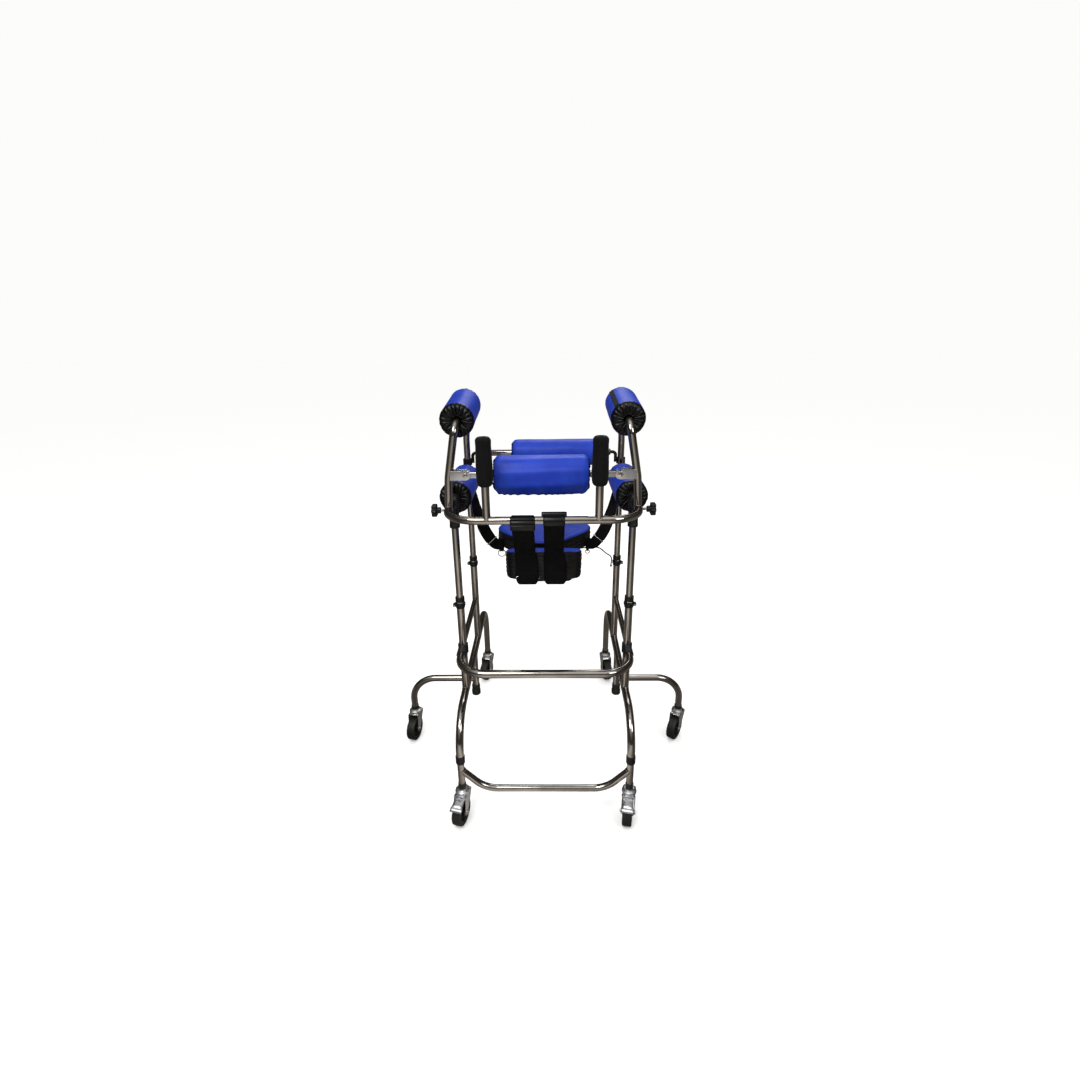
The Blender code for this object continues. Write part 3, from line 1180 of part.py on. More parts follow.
def front_strap_route():
    """Route of a front strap: its sewn tail, round the bar, then down under the seat's nose."""
    bar = Vector((0, ARM_RAIL_FRONT_Y, ARM_RAIL_Z))
    face = NOSE_FRONT_Y - GAP - STRAP_THICKNESS / 2
    under = SEAT_BASE_BOTTOM_Z - GAP - STRAP_THICKNESS / 2
    bow = Vector((0, face - STRAP_BOW, NOSE_TOP_Z + STRAP_BOW / 2))
    fall = (bow - bar).normalized()
    outward = Vector((0, fall.z, -fall.y))
    loop = INNER_RADIUS + GAP + STRAP_THICKNESS / 2
    tail = bar + outward * (loop - STRAP_THICKNESS - 2 * GAP) + fall * STRAP_TAIL
    leave = math.degrees(math.atan2(outward.z, outward.y))
    wrap = [(0, y, z) for y, z in arc(bar.yz, loop, leave - STRAP_WRAP_DEGREES, leave, 10)]
    curl = under + STRAP_CURL
    under_seat = [
        (0, face, NOSE_TOP_Z - STRAP_BOW_FALL),
        (0, face, curl),
        (0, face + STRAP_CURL * 0.3, under + STRAP_CURL * 0.3),
        (0, face + STRAP_CURL, under),
        (0, face + STRAP_UNDER, under),
    ]
    return [tail, *wrap, bow, *under_seat]


def straps(upper):
    """Front straps from the arm rail under the nose, and side straps from the rail to the seat."""
    route = front_strap_route()
    for side, x in (("left", FRONT_STRAP_LEFT_X), ("right", FRONT_STRAP_RIGHT_X)):
        name = f"front_strap_{side}"
        centres = [Vector((x, 0, 0)) + Vector(point) for point in route]
        acrosses = [(FRONT_STRAP_WIDTH, 0, 0)] * len(centres)
        mesh = ribbon_mesh(name, centres, acrosses, STRAP_THICKNESS)
        add(name, mesh, WEBBING, upper)
    loop = INNER_RADIUS + GAP + STRAP_THICKNESS / 2
    edge = cushion_edge(bpy.data.objects["seat_cushion"])
    for side, sign in SIDES.items():
        wrap = arc((0, ARM_RAIL_Z), loop, SIDE_STRAP_LOOP_DEGREES, 0, 8)
        centres = [(sign * (TRACK_HALF - dx), SIDE_STRAP_LOOP_Y, z) for dx, z in wrap]
        top = Vector((sign * (TRACK_HALF - loop), SIDE_STRAP_LOOP_Y, ARM_RAIL_Z - loop))
        end = Vector((sign * (edge + GAP), SIDE_STRAP_END_Y, SIDE_STRAP_END_Z))
        curve = [end + (top - end) * Vector(shares) for shares in SIDE_STRAP_CURVE]
        fall = smooth_route([top, *curve, end], 2)
        acrosses = [Vector((0, SIDE_STRAP_LOOP_WIDTH, 0))] * len(centres) + strap_twist(fall)
        name = f"side_strap_{side}"
        mesh = ribbon_mesh(name, centres + fall, acrosses, STRAP_THICKNESS)
        add(name, mesh, WEBBING, upper)


def cushion_edge(cushion):
    """Distance from the midline of the seat cushion's side where a side strap meets it."""
    hits = []
    for share in range(-4, 5):
        z = SIDE_STRAP_END_Z + SIDE_STRAP_WIDTH * share / 8
        for y in (SIDE_STRAP_END_Y - STRAP_THICKNESS, SIDE_STRAP_END_Y + STRAP_THICKNESS):
            found, place, _, _ = cushion.ray_cast(Vector((TRACK_HALF, y, z)), Vector((-1, 0, 0)))
            if found:
                hits.append(place.x)
    return max(hits)


def strap_twist(fall):
    """Across vectors of a side strap that turns its flat side forward below the loop."""
    forward = Vector((0, -1, 0))
    acrosses = []
    for i, centre in enumerate(fall):
        after = fall[min(i + 1, len(fall) - 1)]
        before = fall[max(i - 1, 0)]
        flat = (after - before).cross(forward).normalized()
        if flat.z < 0:
            flat = -flat
        share = min(1.0, i / SIDE_STRAP_TWIST_STEPS)
        width = SIDE_STRAP_LOOP_WIDTH + (SIDE_STRAP_WIDTH - SIDE_STRAP_LOOP_WIDTH) * share
        angle = share * math.pi / 2
        run = (after - before).normalized()
        start = (Vector((0, 1, 0)) - run * run.y).normalized()
        across = start * math.cos(angle) + flat * math.sin(angle)
        acrosses.append(across.normalized() * width)
    return acrosses


def tie_cord(upper):
    """The thin cord sewn under the seat that runs to the right rear collar, with its hanging tail."""
    clear = TRACK_HALF - COLLAR_FLANGE - CORD_CLEAR - CORD_RADIUS
    height = POST_TOP_Z + CORD_TIE_RISE
    under = SEAT_BASE_BOTTOM_Z - GAP - CORD_RADIUS
    route = [
        (*CORD_SEWN_END, under),
        (*CORD_UNDER_SEAT, under),
        (*CORD_CORNER, under - CORD_SAG),
        *CORD_HANG,
        (clear, POST_SPAN, height),
        (clear, POST_SPAN, height - CORD_TAIL),
    ]
    path = smooth_route(route, 2)
    add("tie_cord", pipe_curve("tie_cord", path, CORD_RADIUS, 2), WEBBING, upper)


def upper_frame(root):
    """Everything that telescopes up and down with the arm rail."""
    upper = empty("height_slide", root)
    arm_rail(upper)
    knob = knob_mesh()
    foam = grip_mesh()
    for side, sign in SIDES.items():
        crutch_tube(upper, side, sign)
        front_inner_tube(upper, side, sign)
        corner_fitting(upper, side, sign)
        grip(upper, side, sign, foam)
        x = sign * (TRACK_HALF + FITTING_BOSS_REACH - STUD_SEAT_DEPTH + GAP)
        turn = 0.0 if sign > 0 else math.pi
        add(f"knob_{side}", knob, BLACK_PLASTIC, upper, (x, 0, KNOB_Z), (0, 0, turn))
    pads(upper)
    chest_bar(upper)
    back_bar(upper)
    seat(upper)
    straps(upper)
    tie_cord(upper)


def main():
    """Build the walker."""
    global PARTS, CUTTERS
    clear_scene()
    PARTS = collection("walker")
    CUTTERS = collection("cutters")
    root = empty("walker_root", None, (MIDLINE_X, MIDLINE_Y, 0))
    lower_frame(root)
    casters(root)
    upper_frame(root)


main()
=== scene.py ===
"""Looks of a six-caster standing walker: polished tubes, zinc casters, round nylon pads and a webbing seat.

Lengths are in metres. Meshes are built in the design frame of the part's source (X across, Y along the walk
with 0 at the front posts, Z up from the floor) and shifted by ORIGIN into the row frame as their last step.
"""

import logging
import math
import random
from dataclasses import dataclass
from enum import Enum
from functools import cache, partial
from typing import Callable, Iterable, Sequence

import bmesh
import bpy
from mathutils import Matrix, Vector, noise
from mathutils.bvhtree import BVHTree


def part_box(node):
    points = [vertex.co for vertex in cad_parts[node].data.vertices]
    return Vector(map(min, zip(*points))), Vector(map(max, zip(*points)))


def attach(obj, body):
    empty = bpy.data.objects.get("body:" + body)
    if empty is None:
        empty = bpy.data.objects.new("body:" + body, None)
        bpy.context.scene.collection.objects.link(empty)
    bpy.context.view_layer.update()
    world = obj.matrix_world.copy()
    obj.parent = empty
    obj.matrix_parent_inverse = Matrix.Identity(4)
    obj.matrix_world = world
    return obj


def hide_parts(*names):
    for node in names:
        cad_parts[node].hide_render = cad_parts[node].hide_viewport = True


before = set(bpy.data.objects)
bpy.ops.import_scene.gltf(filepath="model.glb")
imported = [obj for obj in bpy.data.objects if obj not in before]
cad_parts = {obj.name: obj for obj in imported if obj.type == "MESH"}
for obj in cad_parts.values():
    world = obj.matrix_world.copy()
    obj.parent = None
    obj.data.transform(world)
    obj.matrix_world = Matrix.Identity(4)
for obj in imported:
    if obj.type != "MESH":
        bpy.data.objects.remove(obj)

logging.basicConfig(level=logging.INFO, format="%(message)s")
LOG = logging.getLogger("walker")

Mesh = bpy.types.Mesh
Tree = bpy.types.NodeTree
Socket = bpy.types.NodeSocket
Point = Sequence[float]
Points = Sequence[Point]

ORIGIN = Vector((-0.000956, -0.192659, 0.0))
SIDES = {"left": -1, "right": 1}

# Tubes, bars and their places, as in the part's source
TRACK = 0.265
POST_SPAN = 0.335
OUTER = 0.0125
OUTER_BORE = 0.0115
INNER = 0.0110
RAIL = 0.0095
SOCKET_Z = 0.122
LOW_RAIL_Z = 0.360
POST_TOP_Z = 0.676
ARM_RAIL_Z = 1.011
ARM_FRONT_Y = -0.178
FRONT_LEG_Y = -0.187
REAR_LEG_Y = 0.610
OUTRIGGER_Y = 0.214
OUTRIGGER_REACH = 0.505
CRUTCH_FOOT_Y = -0.075
CRUTCH_KNEE = (0.2605, 1.100)
CRUTCH_NEAR = (0.234, 1.2465)
CRUTCH_REAR = ((TRACK, 1.150), (0.238, 1.292))
CRUTCH_BENDS = (0.250, 0.060, 0.035, 0.150)
INNER_LAP = 0.130
CHEST_BAR_Z = 1.110
BACK_BAR_Z = 1.086
CHEST_BOLT_X = 0.2117
GRIP_X = 0.148

# Sides of a turned solid
ROUND = 48
# Distance between the ripples of a weld bead
RIPPLE = 0.0019


# Finishes


class Slot(Enum):
    """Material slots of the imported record."""

    STEEL = "stainless_steel"
    ZINC = "zinc_plate"
    PLASTIC = "black_plastic"
    RUBBER = "black_rubber"
    TYRE = "black_tyre"
    FOAM = "black_foam"
    NYLON = "blue_nylon"
    WEBBING = "black_webbing"


def linear(code: str) -> tuple[float, float, float, float]:
    """Turn an sRGB hex value into a linear colour.

    Args:
        code: Six hex digits after a hash.

    Returns:
        Linear red, green and blue, and full alpha.
    """
    parts = [int(code[i : i + 2], 16) / 255 for i in (1, 3, 5)]
    return (*[c / 12.92 if c <= 0.04045 else ((c + 0.055) / 1.055) ** 2.4 for c in parts], 1.0)


def add_node(
    tree: Tree, kind: str, settings: dict | None = None, links: dict | None = None
) -> bpy.types.Node:
    """Add a node to a tree, with its settings and its incoming links.

    Args:
        tree: Shader or geometry tree.
        kind: Node type.
        settings: Input values by socket name or index, and node properties by name.
        links: Output sockets by the name or index of the input they feed.

    Returns:
        The new node.
    """
    node = tree.nodes.new(kind)
    values = {}
    for key, value in (settings or {}).items():
        if isinstance(key, int) or key[0].isupper():
            values[key] = value
        else:
            setattr(node, key, value)
    for key, value in values.items():
        node.inputs[key].default_value = value
    for key, source in (links or {}).items():
        tree.links.new(source, node.inputs[key])
    return node


@dataclass(frozen=True)
class Finish:
    """A surface finish with colours that vary between two values, gloss and a fine relief.

    Attributes:
        name: What the finish is in a maker's words.
        slot: Slot of the record that it belongs to; not used.
        dark: Darker sRGB hex value.
        light: Lighter sRGB hex value.
        roughness: Lowest and highest roughness.
        blotch_mm: Size of the colour variation.
        grain_mm: Size of the relief.
        relief_mm: Depth of the relief.
        metallic: One for bare metal.
        sheen: Sheen weight of cloth and foam.
        wear: How much lighter rubbed edges are.
        specular: Specular level, under a half for cloth and foam that swallow light.
    """

    name: str
    slot: Slot
    dark: str
    light: str
    roughness: tuple[float, float]
    blotch_mm: float
    grain_mm: float
    relief_mm: float
    metallic: float = 0.0
    sheen: float = 0.0
    wear: float = 0.0
    specular: float = 0.5

    def height(self, tree: Tree, place: Socket) -> Socket:
        """Add the relief pattern.

        Args:
            tree: Shader tree.
            place: Object coordinates.

        Returns:
            The height, from nought to one.
        """
        settings = {"Scale": 1000 / self.grain_mm, "Detail": 3.0}
        return add_node(tree, "ShaderNodeTexNoise", settings, {"Vector": place}).outputs[0]

    def material(self) -> bpy.types.Material:
        """Make the finish's material, once.

        Returns:
            The material.
        """
        if self.name in bpy.data.materials:
            return bpy.data.materials[self.name]
        made = bpy.data.materials.new(self.name)
        made.use_nodes = True
        tree = made.node_tree
        add = partial(add_node, tree)
        place = add("ShaderNodeTexCoord").outputs["Object"]
        spread = {"Scale": 1000 / self.blotch_mm, "Detail": 4.0, "Roughness": 0.6}
        blotch = add("ShaderNodeTexNoise", spread, {"Vector": place}).outputs[0]
        share = add("ShaderNodeMapRange", {"From Min": 0.35, "From Max": 0.65}, {"Value": blotch}).outputs[0]
        ends = {"data_type": "RGBA", 6: linear(self.dark), 7: linear(self.light)}
        colour = add("ShaderNodeMix", ends, {0: share}).outputs[2]
        height = self.height(tree, place)
        if self.wear:
            edge = add("ShaderNodeNewGeometry").outputs["Pointiness"]
            limits = {"From Min": 0.54, "From Max": 0.62, "To Max": self.wear}
            rubbed = add("ShaderNodeMapRange", limits, {"Value": edge}).outputs[0]
            pale = [min(1.0, 0.08 + 1.6 * c) for c in linear(self.light)[:3]]
            bare = {"data_type": "RGBA", 7: (*pale, 1.0)}
            colour = add("ShaderNodeMix", bare, {0: rubbed, 6: colour}).outputs[2]
        smear = {"Scale": 2500 / self.blotch_mm, "Detail": 5.0}
        smudge = add("ShaderNodeTexNoise", smear, {"Vector": place}).outputs[0]
        limits = {"From Min": 0.3, "From Max": 0.7, "To Min": self.roughness[0], "To Max": self.roughness[1]}
        gloss = add("ShaderNodeMapRange", limits, {"Value": smudge}).outputs[0]
        depth = {"Strength": 1.0, "Distance": self.relief_mm / 1000}
        relief = add("ShaderNodeBump", depth, {"Height": height}).outputs[0]
        inputs = tree.nodes["Principled BSDF"].inputs
        for name, source in {"Base Color": colour, "Roughness": gloss, "Normal": relief}.items():
            tree.links.new(source, inputs[name])
        inputs["Metallic"].default_value = self.metallic
        inputs["Specular IOR Level"].default_value = self.specular
        if self.sheen:
            inputs["Sheen Weight"].default_value = self.sheen
            inputs["Sheen Roughness"].default_value = 0.45
        made.diffuse_color = linear(self.light)
        return made


@dataclass(frozen=True)
class WovenFinish(Finish):
    """Cloth with a plain weave on the piece's own UV map, which is in metres."""

    thread_mm: float = 1.2

    def height(self, tree: Tree, place: Socket) -> Socket:
        """Add crossing threads.

        Args:
            tree: Shader tree.
            place: Object coordinates, used for slubs.

        Returns:
            The height, from nought to one.
        """
        add = partial(add_node, tree)
        parts = add("ShaderNodeSeparateXYZ", None, {0: add("ShaderNodeTexCoord").outputs["UV"]}).outputs
        turns = {"operation": "MULTIPLY", 1: 1000 * math.pi / self.thread_mm}
        waves = {}
        for i in range(2):
            scaled = add("ShaderNodeMath", turns, {0: parts[i]}).outputs[0]
            waves[i] = add("ShaderNodeMath", {"operation": "SINE"}, {0: scaled}).outputs[0]
        crossed = add("ShaderNodeMath", {"operation": "MULTIPLY"}, waves).outputs[0]
        slub = add("ShaderNodeTexNoise", {"Scale": 400.0, "Detail": 2.0}, {"Vector": place}).outputs[0]
        return add("ShaderNodeMath", {"operation": "MULTIPLY_ADD", 1: 0.5}, {0: crossed, 2: slub}).outputs[0]


@dataclass(frozen=True)
class RibbedFinish(Finish):
    """Webbing with chevron ribs along the piece's own UV map, which is in metres."""

    rib_mm: float = 2.4

    def height(self, tree: Tree, place: Socket) -> Socket:
        """Add the chevron ribs.

        Args:
            tree: Shader tree.
            place: Object coordinates, not used by the ribs.

        Returns:
            The height, from nought to one.
        """
        add = partial(add_node, tree)
        parts = add("ShaderNodeSeparateXYZ", None, {0: add("ShaderNodeTexCoord").outputs["UV"]}).outputs
        fold = add("ShaderNodeMath", {"operation": "PINGPONG", 1: 0.004}, {0: parts[0]}).outputs[0]
        slant = add("ShaderNodeMath", {"operation": "ADD"}, {0: parts[1], 1: fold}).outputs[0]
        turns = {"operation": "MULTIPLY", 1: 2000 * math.pi / self.rib_mm}
        scaled = add("ShaderNodeMath", turns, {0: slant}).outputs[0]
        wave = add("ShaderNodeMath", {"operation": "SINE"}, {0: scaled}).outputs[0]
        return add("ShaderNodeMath", {"operation": "MULTIPLY_ADD", 1: 0.5, 2: 0.5}, {0: wave}).outputs[0]


# Drawn and buffed stainless tube: mirror-like with faint smears, warm grey from the room it reflects
STEEL = Finish(
    "buffed_stainless_tube", Slot.STEEL, "#A19B95", "#BAB5AF", (0.05, 0.12), 90, 0.5, 0.003, metallic=1.0
)
# Ground weld bead, duller than the tube
WELD = Finish(
    "stainless_weld_bead", Slot.STEEL, "#6E675F", "#9A938A", (0.28, 0.42), 8, 0.8, 0.03, metallic=1.0
)
# Bright zinc over pressed sheet: pale, slightly blue, with passivation blotches
ZINC = Finish(
    "bright_zinc_pressing", Slot.ZINC, "#C4C5C8", "#DCDDDF", (0.24, 0.34), 40, 0.8, 0.002, metallic=1.0
)
# Nickel plated wire of hooks and rings
NICKEL = Finish(
    "nickel_plated_wire", Slot.ZINC, "#C4C2BD", "#DEDCD8", (0.10, 0.20), 20, 0.5, 0.004, metallic=1.0
)
# Glass-filled nylon moulding with a fine spark-eroded grain
PLASTIC = Finish(
    "moulded_black_nylon", Slot.PLASTIC, "#060607", "#0D0D0E", (0.34, 0.50), 20, 0.9, 0.02,
    wear=0.15, specular=0.35,
)
# Vulcanised rubber of the post tips
RUBBER = Finish(
    "moulded_black_rubber", Slot.RUBBER, "#080808", "#101010", (0.55, 0.72), 18, 0.7, 0.03, wear=0.15
)
# Caster tyre, dustier on its tread
TYRE = Finish("caster_tyre_rubber", Slot.TYRE, "#080808", "#131312", (0.50, 0.70), 12, 0.8, 0.03, wear=0.2)
# Closed-cell grip foam: matt, with open pores in its skin
FOAM = Finish(
    "closed_cell_grip_foam", Slot.FOAM, "#060607", "#0C0C0D", (0.72, 0.88), 10, 1.1, 0.08,
    sheen=0.04, specular=0.15,
)
# Satin-coated nylon; real threads are 0.4 mm and are drawn three times as coarse, to show
BLUE = WovenFinish(
    "royal_blue_satin_nylon", Slot.NYLON, "#15309A", "#1A3CAE", (0.36, 0.46), 70, 0.4, 0.03, specular=0.22
)
# The same nylon in black, gathered on elastic at the pads' ends and round the seat
LINING = WovenFinish(
    "black_gathered_nylon", Slot.NYLON, "#040405", "#09090A", (0.28, 0.38), 30, 0.4, 0.03, specular=0.3
)
# Polypropylene webbing with chevron ribs
WEBBING = RibbedFinish(
    "black_polypropylene_webbing", Slot.WEBBING, "#030304", "#070708", (0.55, 0.70), 25, 0.4, 0.10,
    specular=0.1,
)
# Hook-and-loop tape with its fuzz
TAPE = Finish(
    "hook_and_loop_tape", Slot.WEBBING, "#050506", "#0D0D0E", (0.85, 0.95), 4, 1.4, 0.20,
    sheen=0.06, specular=0.1,
)
# Polyester sewing thread
THREAD = Finish(
    "black_sewing_thread", Slot.WEBBING, "#0C0C0E", "#161618", (0.45, 0.60), 5, 0.3, 0.02, specular=0.2
)
# Braided cord
BRAID = Finish(
    "black_braided_cord", Slot.WEBBING, "#060607", "#0E0E0F", (0.55, 0.70), 4, 1.1, 0.15, specular=0.2
)


# Mesh makers


def rounded_path(corners: Points, radii: Sequence[float], steps: int = 16) -> list[Vector]:
    """Points through corners, with each inner corner replaced by an arc.

    Args:
        corners: Corner points.
        radii: Arc radius for each inner corner.
        steps: Chords in each arc.

    Returns:
        The path's points.
    """
    corners = [Vector(corner) for corner in corners]
    path = [corners[0]]
    for before, corner, after, radius in zip(corners, corners[1:], corners[2:], radii):
        back, ahead = (before - corner), (after - corner)
        room = 0.49 * min(back.length, ahead.length)
        back, ahead = back.normalized(), ahead.normalized()
        half = back.angle(ahead) / 2
        if half > math.radians(89):
            path.append(corner)
            continue
        radius = min(radius, room * math.tan(half)) if radius < 0.02 else radius
        reach = radius / math.tan(half)
        middle = corner + (back + ahead).normalized() * (radius / math.sin(half))
        start, end = corner + back * reach - middle, corner + ahead * reach - middle
        sweep = start.angle(end)
        for i in range(steps + 1):
            share = i / steps
            from_start = start * (math.sin((1 - share) * sweep) / math.sin(sweep))
            path.append(middle + from_start + end * (math.sin(share * sweep) / math.sin(sweep)))
    path.append(corners[-1])
    return path


def smooth_route(points: Points, steps: int) -> list[Vector]:
    """A Catmull-Rom curve through points.

    Args:
        points: Points on the curve.
        steps: Samples for each stretch.

    Returns:
        The curve's points.
    """
    points = [Vector(point) for point in points]
    padded = [2 * points[0] - points[1], *points, 2 * points[-1] - points[-2]]
    route = []
    for before, start, end, after in zip(padded, padded[1:], padded[2:], padded[3:]):
        square = 2 * before - 5 * start + 4 * end - after
        cube = 3 * start - before - 3 * end + after
        for i in range(steps):
            t = i / steps
            route.append(0.5 * (2 * start + (end - before) * t + square * t**2 + cube * t**3))
    route.append(points[-1])
    return route


def arc(centre: Point, radius: float, first: float, last: float, steps: int) -> list[tuple[float, float]]:
    """Points on an arc.

    Args:
        centre: Its centre in the plane.
        radius: Its radius.
        first: Angle of the first point in degrees.
        last: Angle of the last point in degrees.
        steps: Number of chords.

    Returns:
        Pairs of coordinates in the plane.
    """
    angles = [math.radians(first + (last - first) * i / steps) for i in range(steps + 1)]
    return [(centre[0] + radius * math.cos(a), centre[1] + radius * math.sin(a)) for a in angles]


def mirrored(profile: Points, middle: Points = ()) -> list[Point]:
    """A profile of radii and heights, its middle points, and its mirror image below height nought."""
    return [*profile, *middle, *[(radius, -height) for radius, height in reversed(profile)]]


def at(x: float, y: float, z: float) -> Matrix:
    """Matrix that moves the origin to a place."""
    return Matrix.Translation((x, y, z))


def spun(radians: float, axis: str) -> Matrix:
    """Matrix that turns about one of the main axes."""
    return Matrix.Rotation(radians, 4, axis)


def aim(place: Point, direction: Point) -> Matrix:
    """Matrix that turns local Z to a direction and moves the origin to a place."""
    turn = Vector(direction).to_track_quat("Z", "Y").to_matrix().to_4x4()
    return Matrix.Translation(place) @ turn


def mesh_of(points: Iterable[Point], faces: Iterable[Sequence[int]]) -> Mesh:
    """A mesh with its faces turned outwards.

    Args:
        points: Its vertices.
        faces: The vertex numbers of each face.

    Returns:
        The mesh.
    """
    mesh = bpy.data.meshes.new("solid")
    mesh.from_pydata([tuple(p) for p in points], [], list(faces))
    work = bmesh.new()
    work.from_mesh(mesh)
    bmesh.ops.recalc_face_normals(work, faces=work.faces)
    work.to_mesh(mesh)
    work.free()
    return mesh


def skin(rows: Sequence[Points], closed: bool = False, capped: bool = False) -> Mesh:
    """A skin over rows of points.

    Args:
        rows: The rows, all of one length.
        closed: Whether each row closes on itself.
        capped: Whether a face closes each end.

    Returns:
        The mesh.
    """
    wide = len(rows[0])
    faces = [
        (r * wide + i, r * wide + (i + 1) % wide, (r + 1) * wide + (i + 1) % wide, (r + 1) * wide + i)
        for r in range(len(rows) - 1)
        for i in range(wide if closed else wide - 1)
    ]
    if capped:
        last = (len(rows) - 1) * wide
        faces += [tuple(range(wide)), tuple(reversed(range(last, last + wide)))]
    return mesh_of([point for row in rows for point in row], faces)


def lathe(profile: Points, steps: int = ROUND, ring: bool = False) -> Mesh:
    """A turned solid round Z.

    Args:
        profile: Pairs of radius and height from one end to the other.
        steps: Sides of the solid.
        ring: Whether the profile closes on itself round a hole.

    Returns:
        The closed mesh.
    """
    points: list[tuple[float, float, float]] = []
    rows: list[list[int]] = []
    for radius, height in profile:
        count = 1 if radius < 1e-6 else steps
        rows.append(list(range(len(points), len(points) + count)))
        for i in range(count):
            angle = 2 * math.pi * i / steps
            points.append((radius * math.cos(angle), radius * math.sin(angle), height))
    faces = []
    for low, high in list(zip(rows, rows[1:])) + ([(rows[-1], rows[0])] if ring else []):
        for i in range(steps):
            j = (i + 1) % steps
            around = [low[i % len(low)], low[j % len(low)], high[j % len(high)], high[i % len(high)]]
            faces.append(list(dict.fromkeys(around)))
    return mesh_of(points, faces)


def eased(profile: Points, radius: float = 0.0006) -> list[tuple[float, float]]:
    """A profile with its inner corners rounded over.

    Args:
        profile: Pairs of radius and height.
        radius: Rounding of the corners.

    Returns:
        The rounded profile.
    """
    flat = [(r, 0.0, z) for r, z in profile]
    path = rounded_path(flat, [radius] * (len(flat) - 2), 3)
    return [(point.x, point.z) for point in path]


def rod(radius: float, start: Point, end: Point, edge: float = 0.0005) -> Mesh:
    """A straight round bar with eased ends.

    Args:
        radius: Its radius.
        start: One end of its axis.
        end: The other end.
        edge: Rounding of its ends.

    Returns:
        The mesh.
    """
    start, end = Vector(start), Vector(end)
    length = (end - start).length
    mesh = lathe(eased([(0, 0), (radius, 0), (radius, length), (0, length)], edge))
    mesh.transform(aim(start, end - start))
    return mesh


def bevelled(work: bmesh.types.BMesh, width: float) -> Mesh:
    """Turn a bmesh into a mesh, with its sharp edges rounded over.

    Args:
        work: The solid, which is freed.
        width: Width of the rounding, or nought for none.

    Returns:
        The new mesh.
    """
    bmesh.ops.recalc_face_normals(work, faces=work.faces)
    if width:
        edges = [e for e in work.edges if e.calc_face_angle(0.0) > math.radians(30)]
        settings = {"segments": 3, "profile": 0.5, "affect": "EDGES", "clamp_overlap": True}
        bmesh.ops.bevel(work, geom=edges, offset=width, **settings)
    mesh = bpy.data.meshes.new("solid")
    work.to_mesh(mesh)
    work.free()
    return mesh


def plate(outline: Points, low: float, high: float, edge: float = 0.0005) -> Mesh:
    """A flat outline raised between two heights, with rounded edges.

    Args:
        outline: Its (x, y) points.
        low: Height of its underside.
        high: Height of its top.
        edge: Rounding of its edges.

    Returns:
        The mesh.
    """
    work = bmesh.new()
    face = work.faces.new([work.verts.new((x, y, low)) for x, y in outline])
    raised = bmesh.ops.extrude_face_region(work, geom=[face])["geom"]
    corners = [v for v in raised if isinstance(v, bmesh.types.BMVert)]
    bmesh.ops.translate(work, vec=(0, 0, high - low), verts=corners)
    return bevelled(work, edge)


def block(low: Point, high: Point, edge: float) -> Mesh:
    """A box between two corners with rounded edges."""
    outline = [(low[0], low[1]), (high[0], low[1]), (high[0], high[1]), (low[0], high[1])]
    return plate(outline, low[2], high[2], edge)


def fastener(radius: float, height: float, matrix: Matrix, domed: bool) -> Mesh:
    """A hexagon head or nut on a washer, standing up along Z.

    Args:
        radius: Half of the width across corners.
        height: Height with its washer.
        matrix: Where it stands.
        domed: Whether a dome closes its top.

    Returns:
        The mesh.
    """
    work = bmesh.new()
    washer = [(0, 0), (radius * 1.12, 0), (radius * 1.12, height * 0.22), (0, height * 0.22)]
    top = height * (1.25 if domed else 1.0)
    core = [(0, height * 0.5), (radius * 0.66, height * 0.5), (radius * 0.62, height * 0.9), (0, top)]
    hexagon = plate(arc((0, 0), radius, 0, 300, 5), height * 0.2, height * 0.85, radius * 0.08)
    for part in (hexagon, lathe(eased(washer, 0.0002), 32), lathe(core, 32)):
        work.from_mesh(part)
        bpy.data.meshes.remove(part)
    work.transform(matrix)
    return bevelled(work, 0.0)


def modified(mesh: Mesh, *stack: tuple[str, dict]) -> Mesh:
    """A mesh with a stack of modifiers applied.

    Args:
        mesh: The mesh, which is used up.
        stack: Modifier types, each with its settings.

    Returns:
        The resulting mesh.
    """
    obj = bpy.data.objects.new("work", mesh)
    bpy.context.scene.collection.objects.link(obj)
    for kind, settings in stack:
        modifier = obj.modifiers.new(kind.lower(), kind)
        for key, value in settings.items():
            setattr(modifier, key, value)
    return taken(obj)


def taken(obj: bpy.types.Object) -> Mesh:
    """Take an object's evaluated mesh.

    Args:
        obj: The object, which is removed with its own mesh.

    Returns:
        The evaluated mesh, without materials.
    """
    bpy.context.view_layer.update()
    graph = bpy.context.evaluated_depsgraph_get()
    result = bpy.data.meshes.new_from_object(obj.evaluated_get(graph), depsgraph=graph)
    result.materials.clear()
    source = obj.data
    bpy.data.objects.remove(obj)
    bpy.data.meshes.remove(source)
    return result


def sheet_metal(rows: Sequence[Points], thickness: float, edge: float = 0.0006) -> Mesh:
    """Pressed sheet: a grid of points given its thickness, with rolled edges.

    Args:
        rows: Rows of points, all of one length, on the sheet's middle.
        thickness: Sheet thickness.
        edge: Rounding of its cut edges.

    Returns:
        The closed mesh.
    """
    wall = {"thickness": thickness, "offset": 0.0, "use_even_offset": True}
    round_over = {"width": edge, "segments": 2, "limit_method": "ANGLE", "angle_limit": math.radians(50)}
    return modified(skin(rows), ("SOLIDIFY", wall), ("BEVEL", round_over))


